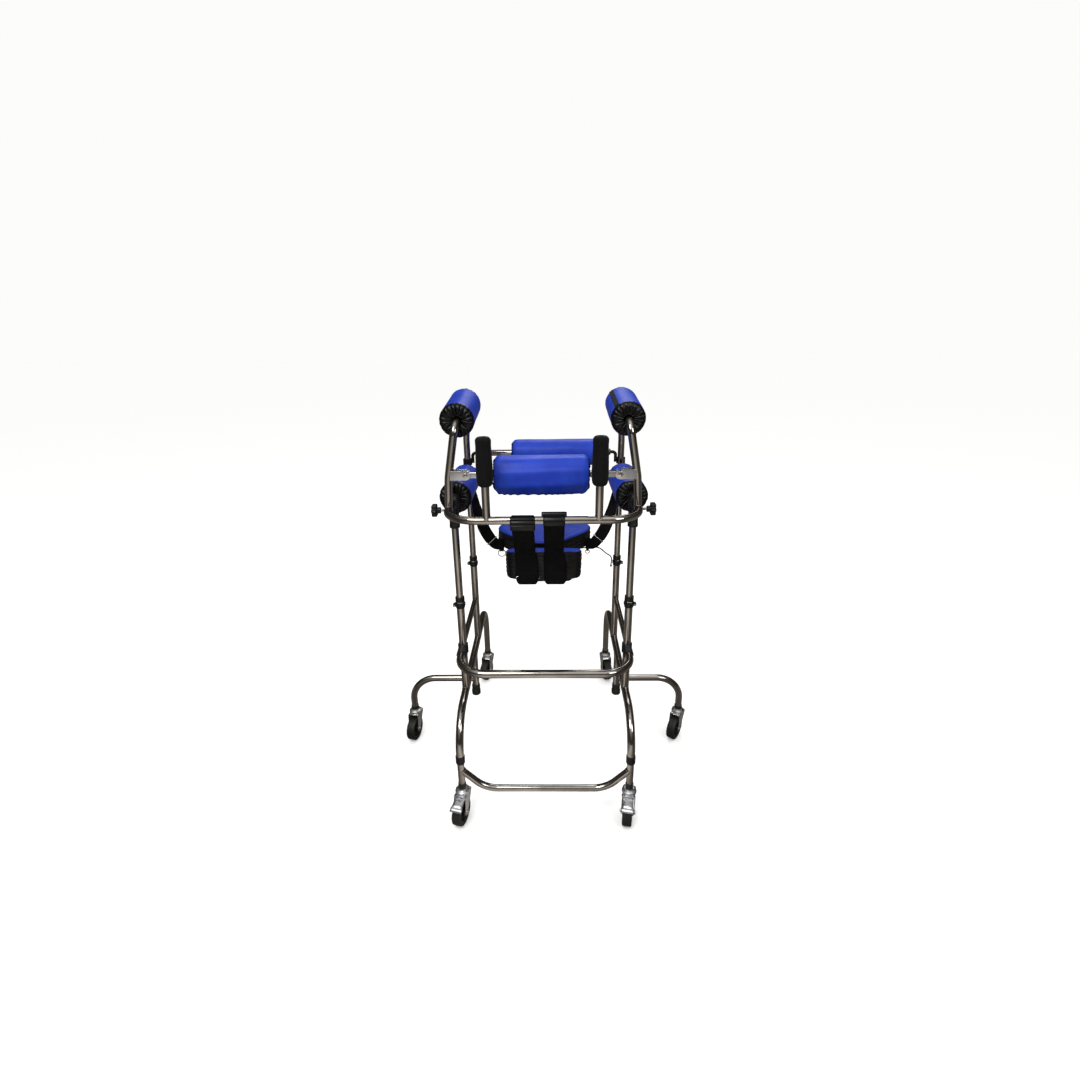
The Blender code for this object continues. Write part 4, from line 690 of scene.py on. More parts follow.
def ribbon(centres: Points, acrosses: Points, thickness: float) -> Mesh:
    """A webbing strap with full edges and a UV map in metres.

    Args:
        centres: Points along the strap.
        acrosses: At each point the vector across the whole width.
        thickness: Strap thickness.

    Returns:
        The closed mesh.
    """
    centres = [Vector(c) for c in centres]
    section = [(-0.5, 0.0), (-0.47, 0.46), (-0.25, 0.5), (0.0, 0.5), (0.25, 0.5), (0.47, 0.46)]
    section += [(-a, -b) for a, b in section]
    rows, lengths = [], [0.0]
    for i, (centre, across) in enumerate(zip(centres, acrosses)):
        across = Vector(across)
        run = centres[min(i + 1, len(centres) - 1)] - centres[max(i - 1, 0)]
        up = run.cross(across).normalized() * thickness
        rows.append([centre + across * a + up * b for a, b in section])
        if i:
            lengths.append(lengths[-1] + (centre - centres[i - 1]).length)
    mesh = skin(rows, closed=True, capped=True)
    layer = mesh.uv_layers.new(name="UVMap")
    for loop in mesh.loops:
        row, column = divmod(loop.vertex_index, len(section))
        width = Vector(acrosses[row]).length
        layer.data[loop.index].uv = (section[column][0] * width, lengths[row])
    return mesh


def box_uv(mesh: Mesh) -> Mesh:
    """Give a mesh a UV map in metres, projected along each face's main direction.

    Args:
        mesh: The mesh, changed in place.

    Returns:
        The same mesh.
    """
    layer = mesh.uv_layers.get("UVMap") or mesh.uv_layers.new(name="UVMap")
    for face in mesh.polygons:
        main = max(range(3), key=lambda axis: abs(face.normal[axis]))
        keep = [axis for axis in range(3) if axis != main]
        for index in face.loop_indices:
            co = mesh.vertices[mesh.loops[index].vertex_index].co
            layer.data[index].uv = (co[keep[0]], co[keep[1]])
    return mesh


def round_uv(mesh: Mesh, radius: float) -> Mesh:
    """Give a round cover about Z a UV map in metres: round its girth and along its length.

    Args:
        mesh: The cover, changed in place.
        radius: Its radius.

    Returns:
        The same mesh.
    """
    layer = mesh.uv_layers.get("UVMap") or mesh.uv_layers.new(name="UVMap")
    for face in mesh.polygons:
        middle = math.atan2(face.center.y, face.center.x)
        for index in face.loop_indices:
            co = mesh.vertices[mesh.loops[index].vertex_index].co
            angle = math.atan2(co.y, co.x)
            angle += 2 * math.pi * round((middle - angle) / (2 * math.pi))
            layer.data[index].uv = (angle * radius, co.z)
    return mesh


def parted(mesh: Mesh, test: Callable[[Vector], bool]) -> list[Mesh]:
    """Split a mesh in two, which uses it up.

    Args:
        mesh: The mesh.
        test: Tells whether the face with a given centre belongs to the first part.

    Returns:
        Both parts.
    """
    parts = []
    for keep in (True, False):
        work = bmesh.new()
        work.from_mesh(mesh)
        doomed = [face for face in work.faces if test(face.calc_center_median()) != keep]
        bmesh.ops.delete(work, geom=doomed, context="FACES")
        part = bpy.data.meshes.new("part")
        work.to_mesh(part)
        work.free()
        parts.append(part)
    bpy.data.meshes.remove(mesh)
    return parts


# Geometry Nodes


class Grower:
    """A Geometry Nodes tree that grows something along the edges of a path."""

    name = ""
    inputs: dict[str, str] = {}

    def __init__(self) -> None:
        """Build the tree, which ends in real geometry, smooth and in its material."""
        self.tree = bpy.data.node_groups.new(self.name, "GeometryNodeTree")
        sockets = self.tree.interface
        kinds = {"Geometry": "NodeSocketGeometry", **self.inputs, "Material": "NodeSocketMaterial"}
        for title, kind in kinds.items():
            sockets.new_socket(title, in_out="INPUT", socket_type=kind)
        sockets.new_socket("Geometry", in_out="OUTPUT", socket_type="NodeSocketGeometry")
        add = partial(add_node, self.tree)
        given = add("NodeGroupInput").outputs
        path = add("GeometryNodeMeshToCurve", None, {0: given["Geometry"]}).outputs[0]
        real = add("GeometryNodeRealizeInstances", None, {0: self.body(given, path)}).outputs[0]
        even = add("GeometryNodeSetShadeSmooth", None, {0: real}).outputs[0]
        painted = add("GeometryNodeSetMaterial", None, {0: even, "Material": given["Material"]}).outputs[0]
        add("NodeGroupOutput", None, {0: painted})

    def body(self, given: bpy.types.NodeOutputs, path: Socket) -> Socket:
        """Add what the tree grows.

        Args:
            given: The tree's inputs.
            path: The path as a curve.

        Returns:
            The grown geometry.
        """
        raise NotImplementedError

    def grow(self, path: Points, ups: Points, closed: bool, finish: Finish, values: dict) -> Mesh:
        """Run the tree.

        Args:
            path: Points of the path.
            ups: At each point the direction that an item's top faces, or nothing.
            closed: Whether the path closes on itself.
            finish: Finish of the result.
            values: Values of the named inputs.

        Returns:
            The plain mesh.
        """
        count = len(path)
        edges = [(i, i + 1) for i in range(count - 1)] + ([(count - 1, 0)] if closed else [])
        seed = bpy.data.meshes.new("seed")
        seed.from_pydata([tuple(p) for p in path], edges, [])
        if ups:
            layer = seed.attributes.new("up", "FLOAT_VECTOR", "POINT")
            for slot, up in zip(layer.data, ups):
                slot.vector = up
        obj = bpy.data.objects.new("seed", seed)
        modifier = obj.modifiers.new("grow", "NODES")
        modifier.node_group = self.tree
        values["Material"] = finish.material()
        for item in self.tree.interface.items_tree:
            if item.in_out == "INPUT" and item.name in values:
                modifier[item.identifier] = values[item.name]
        bpy.context.scene.collection.objects.link(obj)
        return taken(obj)


class RoundBar(Grower):
    """A circle swept along the path."""

    name = "swept_round_bar"
    inputs = {"Radius": "NodeSocketFloat", "Sides": "NodeSocketInt"}

    def body(self, given: bpy.types.NodeOutputs, path: Socket) -> Socket:
        """Add the sweep.

        Args:
            given: The tree's inputs.
            path: The path as a curve.

        Returns:
            The bar.
        """
        sizes = {"Resolution": given["Sides"], "Radius": given["Radius"]}
        ring = add_node(self.tree, "GeometryNodeCurvePrimitiveCircle", None, sizes).outputs[0]
        curves = {"Curve": path, "Profile Curve": ring}
        return add_node(self.tree, "GeometryNodeCurveToMesh", {"Fill Caps": True}, curves).outputs[0]


class ItemRow(Grower):
    """Beads or blocks at even steps along the path, each with its top facing up."""

    name = "row_of_small_items"
    inputs = {"Spacing": "NodeSocketFloat", "Size": "NodeSocketVector", "Square": "NodeSocketBool"}

    def body(self, given: bpy.types.NodeOutputs, path: Socket) -> Socket:
        """Add the items.

        Args:
            given: The tree's inputs.
            path: The path as a curve.

        Returns:
            The row.
        """
        add = partial(add_node, self.tree)
        stretch = {"Curve": path, "Length": given["Spacing"]}
        steps = add("GeometryNodeResampleCurve", {"mode": "LENGTH"}, stretch).outputs[0]
        bead = add("GeometryNodeMeshUVSphere", {"Segments": 8, "Rings": 5, "Radius": 0.5}).outputs[0]
        brick = add("GeometryNodeMeshCube").outputs[0]
        choice = {"Switch": given["Square"], "False": bead, "True": brick}
        item = add("GeometryNodeSwitch", {"input_type": "GEOMETRY"}, choice).outputs[0]
        tangent = add("GeometryNodeInputTangent").outputs[0]
        named = {"data_type": "FLOAT_VECTOR", "Name": "up"}
        up = add("GeometryNodeInputNamedAttribute", named).outputs[0]
        axes = {"primary_axis": "X", "secondary_axis": "Z"}
        turn = add("FunctionNodeAxesToRotation", axes, {0: tangent, 1: up}).outputs[0]
        places = {"Points": steps, "Instance": item, "Rotation": turn, "Scale": given["Size"]}
        return add("GeometryNodeInstanceOnPoints", None, places).outputs[0]


@cache
def grower(kind: type[Grower]) -> Grower:
    """The one tree of a kind."""
    return kind()


class Piece:
    """A visible piece under construction, gathered from solids of several finishes."""

    def __init__(self, name: str) -> None:
        """Start an empty piece.

        Args:
            name: Its name, which is also that of the CAD node it stands for.
        """
        self.name = name
        self.work = bmesh.new()
        self.finishes: list[Finish] = []

    def add(self, mesh: Mesh, finish: Finish, matrix: Matrix | None = None) -> "Piece":
        """Add a solid.

        Args:
            mesh: Its mesh, which is used up.
            finish: Its finish.
            matrix: Where it goes, in the design frame.

        Returns:
            The piece itself.
        """
        if matrix is not None:
            mesh.transform(matrix)
        if finish not in self.finishes:
            self.finishes.append(finish)
        before = len(self.work.faces)
        self.work.from_mesh(mesh)
        self.work.faces.ensure_lookup_table()
        for face in self.work.faces[before:]:
            face.material_index = self.finishes.index(finish)
        bpy.data.meshes.remove(mesh)
        return self

    def bar(
        self,
        path: Points,
        radius: float,
        finish: Finish,
        sides: int = ROUND,
        closed: bool = False,
        matrix: Matrix | None = None,
    ) -> "Piece":
        """Add a round bar along a path.

        Args:
            path: Its centre line.
            radius: Its radius.
            finish: Its finish.
            sides: Its sides.
            closed: Whether the path closes on itself.
            matrix: Where it goes, in the design frame.

        Returns:
            The piece itself.
        """
        values = {"Radius": radius, "Sides": sides}
        return self.add(grower(RoundBar).grow(path, (), closed, finish, values), finish, matrix)

    def row(
        self,
        path: Points,
        ups: Points,
        spacing: float,
        size: Point,
        finish: Finish,
        closed: bool = False,
        square: bool = False,
        matrix: Matrix | None = None,
    ) -> "Piece":
        """Add a row of small items along a path.

        Args:
            path: Points of the row.
            ups: At each point the direction that an item's top faces.
            spacing: Distance between items.
            size: Length, width and height of an item.
            finish: Its finish.
            closed: Whether the path closes on itself.
            square: Whether the items are blocks and not beads.
            matrix: Where it goes, in the design frame.

        Returns:
            The piece itself.
        """
        values = {"Spacing": spacing, "Size": tuple(size), "Square": square}
        return self.add(grower(ItemRow).grow(path, ups, closed, finish, values), finish, matrix)

    def weld(self, centre: Point, out: Point, along: Point, small: float, large: float) -> "Piece":
        """Add the rippled bead where one tube is welded onto another.

        Args:
            centre: Where the two axes cross.
            out: Direction of the branch.
            along: Direction of the tube that it stands on.
            small: Radius of the branch.
            large: Radius of the tube that it stands on.

        Returns:
            The piece itself.
        """
        out = Vector(out).normalized()
        across = Vector(along).normalized().cross(out).normalized()
        along = out.cross(across)
        path, ups = [], []
        for i in range(64):
            angle = 2 * math.pi * i / 64
            side, run = small * math.cos(angle), small * math.sin(angle)
            rise = math.sqrt(max(0.0, large**2 - side**2))
            path.append(Vector(centre) + across * side + along * run + out * rise)
            ups.append((across * side + along * run).normalized() + out)
        return self.row(path, ups, RIPPLE, (0.0036, 0.0036, 0.0022), WELD, closed=True)

    def stitches(
        self, path: Points, ups: Points, closed: bool = False, matrix: Matrix | None = None
    ) -> "Piece":
        """Add a line of lockstitch: threads of 3 mm every 4.2 mm.

        Args:
            path: Points of the line.
            ups: At each point the direction away from the cloth.
            closed: Whether the line closes on itself.
            matrix: Where it goes, in the design frame.

        Returns:
            The piece itself.
        """
        return self.row(path, ups, 0.0042, (0.0031, 0.0010, 0.0009), THREAD, closed, matrix=matrix)

    def done(self, body: str, angle: float = 38.0, turn: bool = True, node: bool = True) -> bpy.types.Object:
        """Finish the piece: put it in the row frame and let it ride on its body.

        Args:
            body: CAD body that it rides on.
            angle: Edges sharper than this many degrees stay sharp.
            turn: Whether its faces are turned outwards again.
            node: Whether it stands for the CAD node of its name.

        Returns:
            The finished object.
        """
        if turn:
            bmesh.ops.recalc_face_normals(self.work, faces=self.work.faces)
        mesh = bpy.data.meshes.new(self.name)
        self.work.to_mesh(mesh)
        self.work.free()
        mesh.transform(Matrix.Translation(ORIGIN))
        for finish in self.finishes:
            mesh.materials.append(finish.material())
        mesh.shade_smooth()
        mesh.set_sharp_from_angle(angle=math.radians(angle))
        obj = bpy.data.objects.new(self.name, mesh)
        bpy.context.scene.collection.objects.link(obj)
        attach(obj, body)
        if node:
            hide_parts(self.name)
        LOG.info("%s: %d faces on %s", self.name, len(mesh.polygons), body)
        return obj


# Lower frame


@dataclass
class SideFrame:
    """One welded side frame with its black mouldings.

    Attributes:
        side: Left or right.
        sign: Minus one on the left.
        leg_socket_z: Height of the leg collar.
        mid_rail_z: Height of the thin rail between the posts.
        mid_bar_z: Height of the clamp that takes the mid bar.
        arm_z: Height of the outrigger's side arm.
        arm_radius: Radius of that arm.
        tip_z: Bottom of the rubber tip.
    """

    side: str
    sign: int
    leg_socket_z: float = 0.232
    mid_rail_z: float = 0.531
    mid_bar_z: float = 0.517
    arm_z: float = 0.255
    arm_radius: float = 0.0123
    tip_z: float = 0.188

    @property
    def x(self) -> float:
        """Distance of the frame from the midline."""
        return self.sign * TRACK

    def build(self) -> None:
        """Build the whole side."""
        self.side_tube()
        for place, y in (("front", 0.0), ("rear", POST_SPAN)):
            self.post(place, y)
            self.post_collar(place, y)
        self.outrigger()
        self.rubber_tip()
        self.leg_collar()
        self.mid_clamp()

    def foot(self, piece: Piece, x: float, y: float, bore: float) -> None:
        """Add the black end cap above a caster.

        Args:
            piece: The piece that it closes.
            x: Its place across.
            y: Its place along the walk.
            bore: Radius of its hole.
        """
        profile = [(0.0132, 0.0), (0.0142, 0.0008), (0.0142, 0.011)]
        profile += [(bore + 0.0006, 0.012), (bore, 0.011), (bore, 0.0)]
        piece.add(lathe(profile, ring=True), PLASTIC, at(x, y, SOCKET_Z + 0.0004))

    def side_tube(self) -> None:
        """The low rail that turns down into the front leg and the rear leg."""
        corners = [(FRONT_LEG_Y, self.leg_socket_z), (FRONT_LEG_Y, LOW_RAIL_Z)]
        corners += [(REAR_LEG_Y, LOW_RAIL_Z), (REAR_LEG_Y, SOCKET_Z)]
        path = rounded_path([(self.x, y, z) for y, z in corners], [0.115, 0.108], 24)
        piece = Piece(f"side_tube_{self.side}").bar(path, OUTER, STEEL)
        self.foot(piece, self.x, REAR_LEG_Y, 0.0122)
        piece.done("base")

    def post(self, place: str, y: float) -> None:
        """A hollow post; the thin side rail is welded to the rear one.

        Args:
            place: Front or rear.
            y: Place of the post along the walk.
        """
        low = LOW_RAIL_Z + 0.004
        wall = [(OUTER, low), (OUTER, POST_TOP_Z), (OUTER_BORE, POST_TOP_Z), (OUTER_BORE, low)]
        piece = Piece(f"{place}_post_{self.side}").add(lathe(wall, ring=True), STEEL, at(self.x, y, 0))
        piece.weld((self.x, y, LOW_RAIL_Z), (0, 0, 1), (0, 1, 0), OUTER, OUTER)
        if place == "rear":
            piece.add(self.thin_rail(), STEEL)
            piece.weld((self.x, y, self.mid_rail_z), (0, -1, 0), (0, 0, 1), RAIL, OUTER)
        piece.done("base")

    def thin_rail(self) -> Mesh:
        """Make the thin rail, its ends shaped to the posts.

        Returns:
            The mesh.
        """
        points, count = [], 32
        for centre, way in ((0.0, 1), (POST_SPAN, -1)):
            for i in range(count):
                angle = 2 * math.pi * i / count
                off, rise = RAIL * math.cos(angle), RAIL * math.sin(angle)
                reach = math.sqrt((OUTER - 0.0003) ** 2 - off**2)
                points.append((self.x + off, centre + way * reach, self.mid_rail_z + rise))
        faces = [(i, (i + 1) % count, count + (i + 1) % count, count + i) for i in range(count)]
        for first in (0, count):
            for i in range(count // 2):
                quad = (i, i + 1, count - i - 1, (count - i) % count)
                faces.append([first + k for k in dict.fromkeys(quad)])
        return mesh_of(points, faces)

    def post_collar(self, place: str, y: float) -> None:
        """A split clamp collar on top of a post, with its spring wire, lugs and screw.

        Args:
            place: Front or rear.
            y: Place of the post along the walk.
        """
        profile = [(0.0115, 0.0257), (0.0136, 0.0258), (0.0145, 0.0246), (0.0145, 0.0190), (0.0141, 0.0185)]
        profile += [(0.0141, 0.0175), (0.0145, 0.0170), (0.0145, 0.0120), (0.0136, 0.0112)]
        profile += [(0.0136, 0.0064), (0.0161, 0.0054), (0.0166, 0.0042), (0.0166, -0.0036)]
        profile += [(0.0158, -0.0047), (0.0146, -0.0051), (0.0146, -0.0108), (0.0139, -0.0118)]
        profile += [(0.0128, -0.0118), (0.0128, 0.0004), (0.0115, 0.0004)]
        top = at(self.x, y, POST_TOP_Z)
        turn = top @ spun(0.0 if self.sign > 0 else math.pi, "Z")
        piece = Piece(f"{place}_collar_{self.side}")
        piece.add(lathe(eased(profile, 0.0004), ring=True), PLASTIC, turn)
        for near in (-0.0066, 0.0008):
            piece.add(block((0.0132, near, -0.0073), (0.0226, near + 0.0058, 0.0021), 0.0012), PLASTIC, turn)
        piece.add(rod(0.0014, (0.0188, -0.0076, -0.0026), (0.0188, 0.0076, -0.0026)), ZINC, turn)
        head = lathe(eased([(0, 0), (0.0028, 0), (0.0028, 0.0014), (0, 0.0014)], 0.0003), 24)
        piece.add(head, ZINC, turn @ aim((0.0188, -0.0064, -0.0026), (0, -1, 0)))
        wire = [Vector((*point, 0.0088)) for point in arc((0, 0), 0.0142, -118, -52, 14)]
        piece.bar(wire, 0.0008, ZINC, 10, matrix=top)
        piece.done("base")

    def outrigger(self) -> None:
        """The drop post and the side arm that carries the outer caster."""
        x, y, reach = self.x, OUTRIGGER_Y, self.sign * OUTRIGGER_REACH
        corners = [(x, y, self.arm_z), (reach, y, self.arm_z), (reach, y, SOCKET_Z)]
        piece = Piece(f"outrigger_{self.side}")
        piece.bar(rounded_path(corners, [0.090], 24), self.arm_radius, STEEL)
        piece.add(rod(OUTER, (x, y, 0.195), (x, y, LOW_RAIL_Z - 0.0042)), STEEL)
        piece.weld((x, y, self.arm_z), (self.sign, 0, 0), (0, 0, 1), self.arm_radius, OUTER)
        piece.weld((x, y, LOW_RAIL_Z), (0, 0, -1), (0, 1, 0), OUTER, OUTER)
        self.foot(piece, reach, y, 0.0120)
        piece.done("base")

    def rubber_tip(self) -> None:
        """The ribbed rubber tip of the drop post."""
        profile = [(0.0, 0.0067), (0.0130, 0.0067), (0.0130, 0.0415), (0.0137, 0.0420), (0.0145, 0.0412)]
        for z in (0.0385, 0.0335, 0.0285, 0.0235):
            profile += [(0.0146, z), (0.0151, z - 0.0010), (0.0151, z - 0.0026), (0.0144, z - 0.0036)]
        profile += [(0.0154, 0.0180), (0.0165, 0.0160), (0.0165, 0.0018), (0.0155, 0.0), (0.0120, 0.0)]
        profile += [(0.0112, 0.0008), (0.0095, 0.0008), (0.0088, 0.0), (0.0045, 0.0), (0.0, 0.0010)]
        tip = Piece(f"post_tip_{self.side}")
        tip.add(lathe(profile), RUBBER, at(self.x, OUTRIGGER_Y, self.tip_z)).done("base")

    def leg_collar(self) -> None:
        """The plain collar where the leg end goes into the side tube."""
        half = 0.014
        profile = [(0.0128, half), (0.0136, half), (0.0145, half - 0.0014), (0.0145, half - 0.0055)]
        for z in (0.0060, 0.0, -0.0060):
            profile += [(0.0141, z + 0.0006), (0.0141, z - 0.0006)]
            profile += [(0.0145, z - 0.0012), (0.0145, z - 0.0042)]
        profile += [(0.0136, -half), (0.0113, -half), (0.0113, -0.0003), (0.0128, -0.0003)]
        place = at(self.x, FRONT_LEG_Y, self.leg_socket_z)
        Piece(f"leg_collar_{self.side}").add(lathe(profile, ring=True), PLASTIC, place).done("base")

    def mid_clamp(self) -> None:
        """The black tee that holds the mid bar's end to the front post, ribbed along its socket."""
        half, wall = 0.0165, 0.0165
        profile = [(0.0128, half), (0.0150, half), (wall, half - 0.0014), (wall, half - 0.0050)]
        profile += [(0.0160, half - 0.0055), (0.0160, half - 0.0065), (wall, half - 0.0070)]
        wrap = lathe(mirrored(profile, [(wall, 0.0)]), ring=True)
        piece = Piece(f"mid_clamp_{self.side}").add(wrap, PLASTIC, at(self.x, 0, self.mid_bar_z))
        socket = [(0.0, 0.0), (0.0150, 0.0)]
        for k in range(7):
            z = 0.0035 + 0.0044 * k
            socket += [(0.0146, z), (0.0158, z + 0.0009), (0.0158, z + 0.0026), (0.0146, z + 0.0034)]
        socket += [(0.0142, 0.0348), (0.0127, 0.0352), (0.0, 0.0345)]
        piece.add(lathe(eased(socket, 0.0003)), PLASTIC, aim((self.x, -0.0128, self.mid_bar_z), (0, -1, 0)))
        piece.done("base")


@dataclass
class CrossBars:
    """The two bars between the side frames.

    Attributes:
        mid_bar_y: Front of the U bar between the posts.
        mid_bar_z: Its height.
        low_z: Height of the low bar between the front legs.
        rise: Height and reach of its rising ends.
        low_radius: Its radius.
        leg_top_z: Top of the leg ends.
    """

    mid_bar_y: float = -0.150
    mid_bar_z: float = 0.517
    low_z: float = 0.117
    rise: float = 0.074
    low_radius: float = 0.0108
    leg_top_z: float = 0.2317

    def build(self) -> None:
        """Build both bars."""
        self.mid_bar()
        self.front_stretcher()

    def mid_bar(self) -> None:
        """The U bar between the front posts."""
        plan = [(-TRACK, -0.020), (-TRACK, self.mid_bar_y), (TRACK, self.mid_bar_y), (TRACK, -0.020)]
        path = rounded_path([(x, y, self.mid_bar_z) for x, y in plan], [0.090, 0.090], 24)
        Piece("mid_bar").bar(path, OUTER, STEEL).done("base")

    def front_stretcher(self) -> None:
        """The low bar between the two leg ends, with the black bushes above the front casters."""
        lift, inner_x, y = self.low_z + self.rise, TRACK - self.rise, FRONT_LEG_Y
        corners = [(-TRACK, y, lift), (-inner_x, y, self.low_z), (inner_x, y, self.low_z), (TRACK, y, lift)]
        piece = Piece("front_stretcher")
        piece.bar(rounded_path(corners, [0.100, 0.100], 16), self.low_radius, STEEL)
        bush = [(0.0112, 0.0), (0.0128, 0.0), (0.0128, 0.0150), (0.0122, 0.0172), (0.0112, 0.0178)]
        for sign in SIDES.values():
            x = sign * TRACK
            piece.add(rod(INNER, (x, y, SOCKET_Z), (x, y, self.leg_top_z)), STEEL)
            inwards, outwards = (-sign * 0.7071, 0, -0.7071), (0.7071 * sign, 0, -0.7071)
            piece.weld((x, y, lift), inwards, outwards, self.low_radius, INNER)
            piece.add(lathe(bush, ring=True), PLASTIC, at(x, y, SOCKET_Z + 0.0004))
        piece.done("base")


# Casters


@dataclass
class Caster:
    """A swivel caster: pressed fork with domed races, tyre on a moulded hub, and a brake pedal in front.

    Attributes:
        place: Name of its place on the walker.
        x: Swivel axis across.
        y: Swivel axis along the walk.
        yaw: Rest turn about the swivel axis in degrees.
        trail: Distance from the swivel axis back to the axle.
        wheel_z: Height of the axle, which is the tyre's radius.
        sheet: Thickness of the pressings.
        inside: Width between the fork's legs.
        top_z: Top of the fork's plate.
        pin_y: The brake's pivot along the walk.
        pin_z: Its height.
    """

    place: str
    x: float
    y: float
    yaw: float
    trail: float = 0.022
    wheel_z: float = 0.04395
    sheet: float = 0.0025
    inside: float = 0.036
    top_z: float = 0.106
    pin_y: float = -0.016
    pin_z: float = 0.0980

    @property
    def matrix(self) -> Matrix:
        """Where the caster stands."""
        return at(self.x, self.y, 0) @ spun(math.radians(self.yaw), "Z")

    @property
    def outside(self) -> float:
        """Half of the fork's width."""
        return self.inside / 2 + self.sheet

    def build(self) -> None:
        """Build the fork, the wheel and, in front, the brake pedal."""
        braked = self.place.startswith("front")
        self.fork(braked)
        self.wheel()
        if braked:
            self.pedal()

    def fork_rows(self) -> list[list[Vector]]:
        """Lay out the bent fork sheet.

        Returns:
            Rows of points, each across the sheet from front to back.
        """
        half = self.inside / 2 + self.sheet / 2
        middle, axle, bend = self.top_z - self.sheet / 2, self.wheel_z, 0.004
        low = axle - 0.0092
        steps = [low, low + 0.0012, low + 0.003, low + 0.0055, axle, axle + 0.006]
        steps += [axle + 0.006 + (middle - axle - bend - 0.006) * i / 8 for i in range(1, 9)]
        profile = [(half, z) for z in steps]
        profile += arc((half - bend, middle - bend), bend, 0, 90, 5)[1:]
        profile += [(x, middle) for x in (half * 0.6, half * 0.35, 0.0)]
        profile += [(-x, z) for x, z in reversed(profile[:-1])]
        rows = []
        for x, z in profile:
            share = min(1.0, max(0.0, (z - axle + 0.0034) / (middle - axle + 0.0034)))
            front = -self.trail - 0.0094 + share * (self.trail + 0.0094 - 0.025)
            back = -self.trail + 0.0094 + share * (self.trail - 0.0094 + 0.025)
            if z < axle - 0.0034:
                half_chord = math.sqrt(max(1e-6, 0.010**2 - (axle - z) ** 2))
                front, back = -self.trail - half_chord, -self.trail + half_chord
            row = []
            for j in range(11):
                t = j / 10
                bump = ((t - 0.5) / 0.20) ** 2 + ((z - 0.078) / 0.013) ** 2
                press = 0.0009 * math.exp(-bump)
                row.append(Vector((x + math.copysign(press, x) if x else 0.0, front + (back - front) * t, z)))
            rows.append(row)
        return rows

    def fork(self, braked: bool) -> None:
        """The fork with its races, stem, axle bolt and, in front, the pedal's pin.

        Args:
            braked: Whether it carries a pedal.
        """
        place, outside = self.matrix, self.outside
        piece = Piece(f"fork_{self.place}").add(sheet_metal(self.fork_rows(), self.sheet), ZINC, place)
        races = [(0.0, -0.0012), (0.0220, -0.0012), (0.0232, 0.0), (0.0235, 0.0022), (0.0228, 0.0042)]
        races += [(0.0214, 0.0047), (0.0212, 0.0053), (0.0224, 0.0058), (0.0222, 0.0074), (0.0196, 0.0092)]
        races += [(0.0168, 0.0102), (0.0152, 0.0112), (0.0150, 0.0150), (0.0146, 0.0157), (0.0056, 0.0157)]
        races += [(0.0054, 0.0440), (0.0046, 0.0458), (0.0, 0.0458)]
        piece.add(lathe(races), ZINC, place @ at(0, 0, self.top_z))
        head = [(0.0, 0.0), (0.0078, 0.0), (0.0078, -0.0022), (0.0058, -0.0036), (0.0, -0.0040)]
        piece.add(lathe(eased(head, 0.0003), 32), ZINC, place @ at(0, 0, self.top_z - self.sheet))
        axle = rod(0.004, (-outside, -self.trail, self.wheel_z), (outside, -self.trail, self.wheel_z))
        piece.add(axle, ZINC, place)
        for sign in (-1, 1):
            nut = aim((sign * outside, -self.trail, self.wheel_z), (sign, 0, 0))
            piece.add(fastener(0.0068, 0.0042, nut, sign < 0), ZINC, place)
        if braked:
            reach = outside - 0.0004
            pin = rod(0.0022, (-reach, self.pin_y, self.pin_z), (reach, self.pin_y, self.pin_z))
            piece.add(pin, ZINC, place)
            for sign in (-1, 1):
                rivet = [(0.0, 0.0), (0.0036, 0.0), (0.0033, 0.0008), (0.0020, 0.0014), (0.0, 0.0016)]
                end = aim((sign * outside, self.pin_y, self.pin_z), (sign, 0, 0))
                piece.add(lathe(rivet, 24), ZINC, place @ end)
        piece.done(f"caster_{self.place}")

    def wheel(self) -> None:
        """The square-shouldered tyre on a black hub with ribs and a zinc bearing cover."""
        turn = self.matrix @ aim((0, -self.trail, self.wheel_z), (1, 0, 0))
        rim, radius, half = 0.0310, self.wheel_z, 0.0150
        tread = [(rim, half - 0.0035), (rim + 0.0020, half - 0.0012), (rim + 0.0060, half)]
        tread += [(radius - 0.0040, half), (radius - 0.0012, half - 0.0010), (radius - 0.0002, half - 0.0034)]
        tread += [(radius, half - 0.0060), (radius, 0.0009), (radius - 0.0005, 0.0004)]
        piece = Piece(f"wheel_{self.place}").add(lathe(mirrored(tread), 96, ring=True), TYRE, turn)
        hub = [(0.0045, 0.0168), (0.0120, 0.0168), (0.0130, 0.0158), (0.0132, 0.0110)]
        hub += [(0.0140, 0.0060), (0.0290, 0.0060), (0.0296, 0.0110), (0.0312, 0.0116)]
        piece.add(lathe(mirrored(hub), 72, ring=True), PLASTIC, turn)
        spoke_reach, spokes = 0.0213, 8
        circle = [(math.cos(a), math.sin(a)) for a in (2 * math.pi * i / 72 for i in range(72))]
        for sign in (-1, 1):
            ring = [(spoke_reach * x, spoke_reach * y, sign * 0.0080) for x, y in circle]
            step, size = 2 * math.pi * spoke_reach / spokes, (0.0022, 0.0168, 0.0050)
            piece.row(ring, [(0, 0, sign)] * 72, step, size, PLASTIC, True, True, turn)
            cover = [(0.0046, 0.0), (0.0086, 0.0), (0.0082, 0.0007), (0.0070, 0.0010), (0.0046, 0.0010)]
            piece.add(lathe(cover, 32, ring=True), ZINC, turn @ aim((0, 0, sign * 0.0166), (0, 0, sign)))
        piece.done(f"caster_wheel_{self.place}")

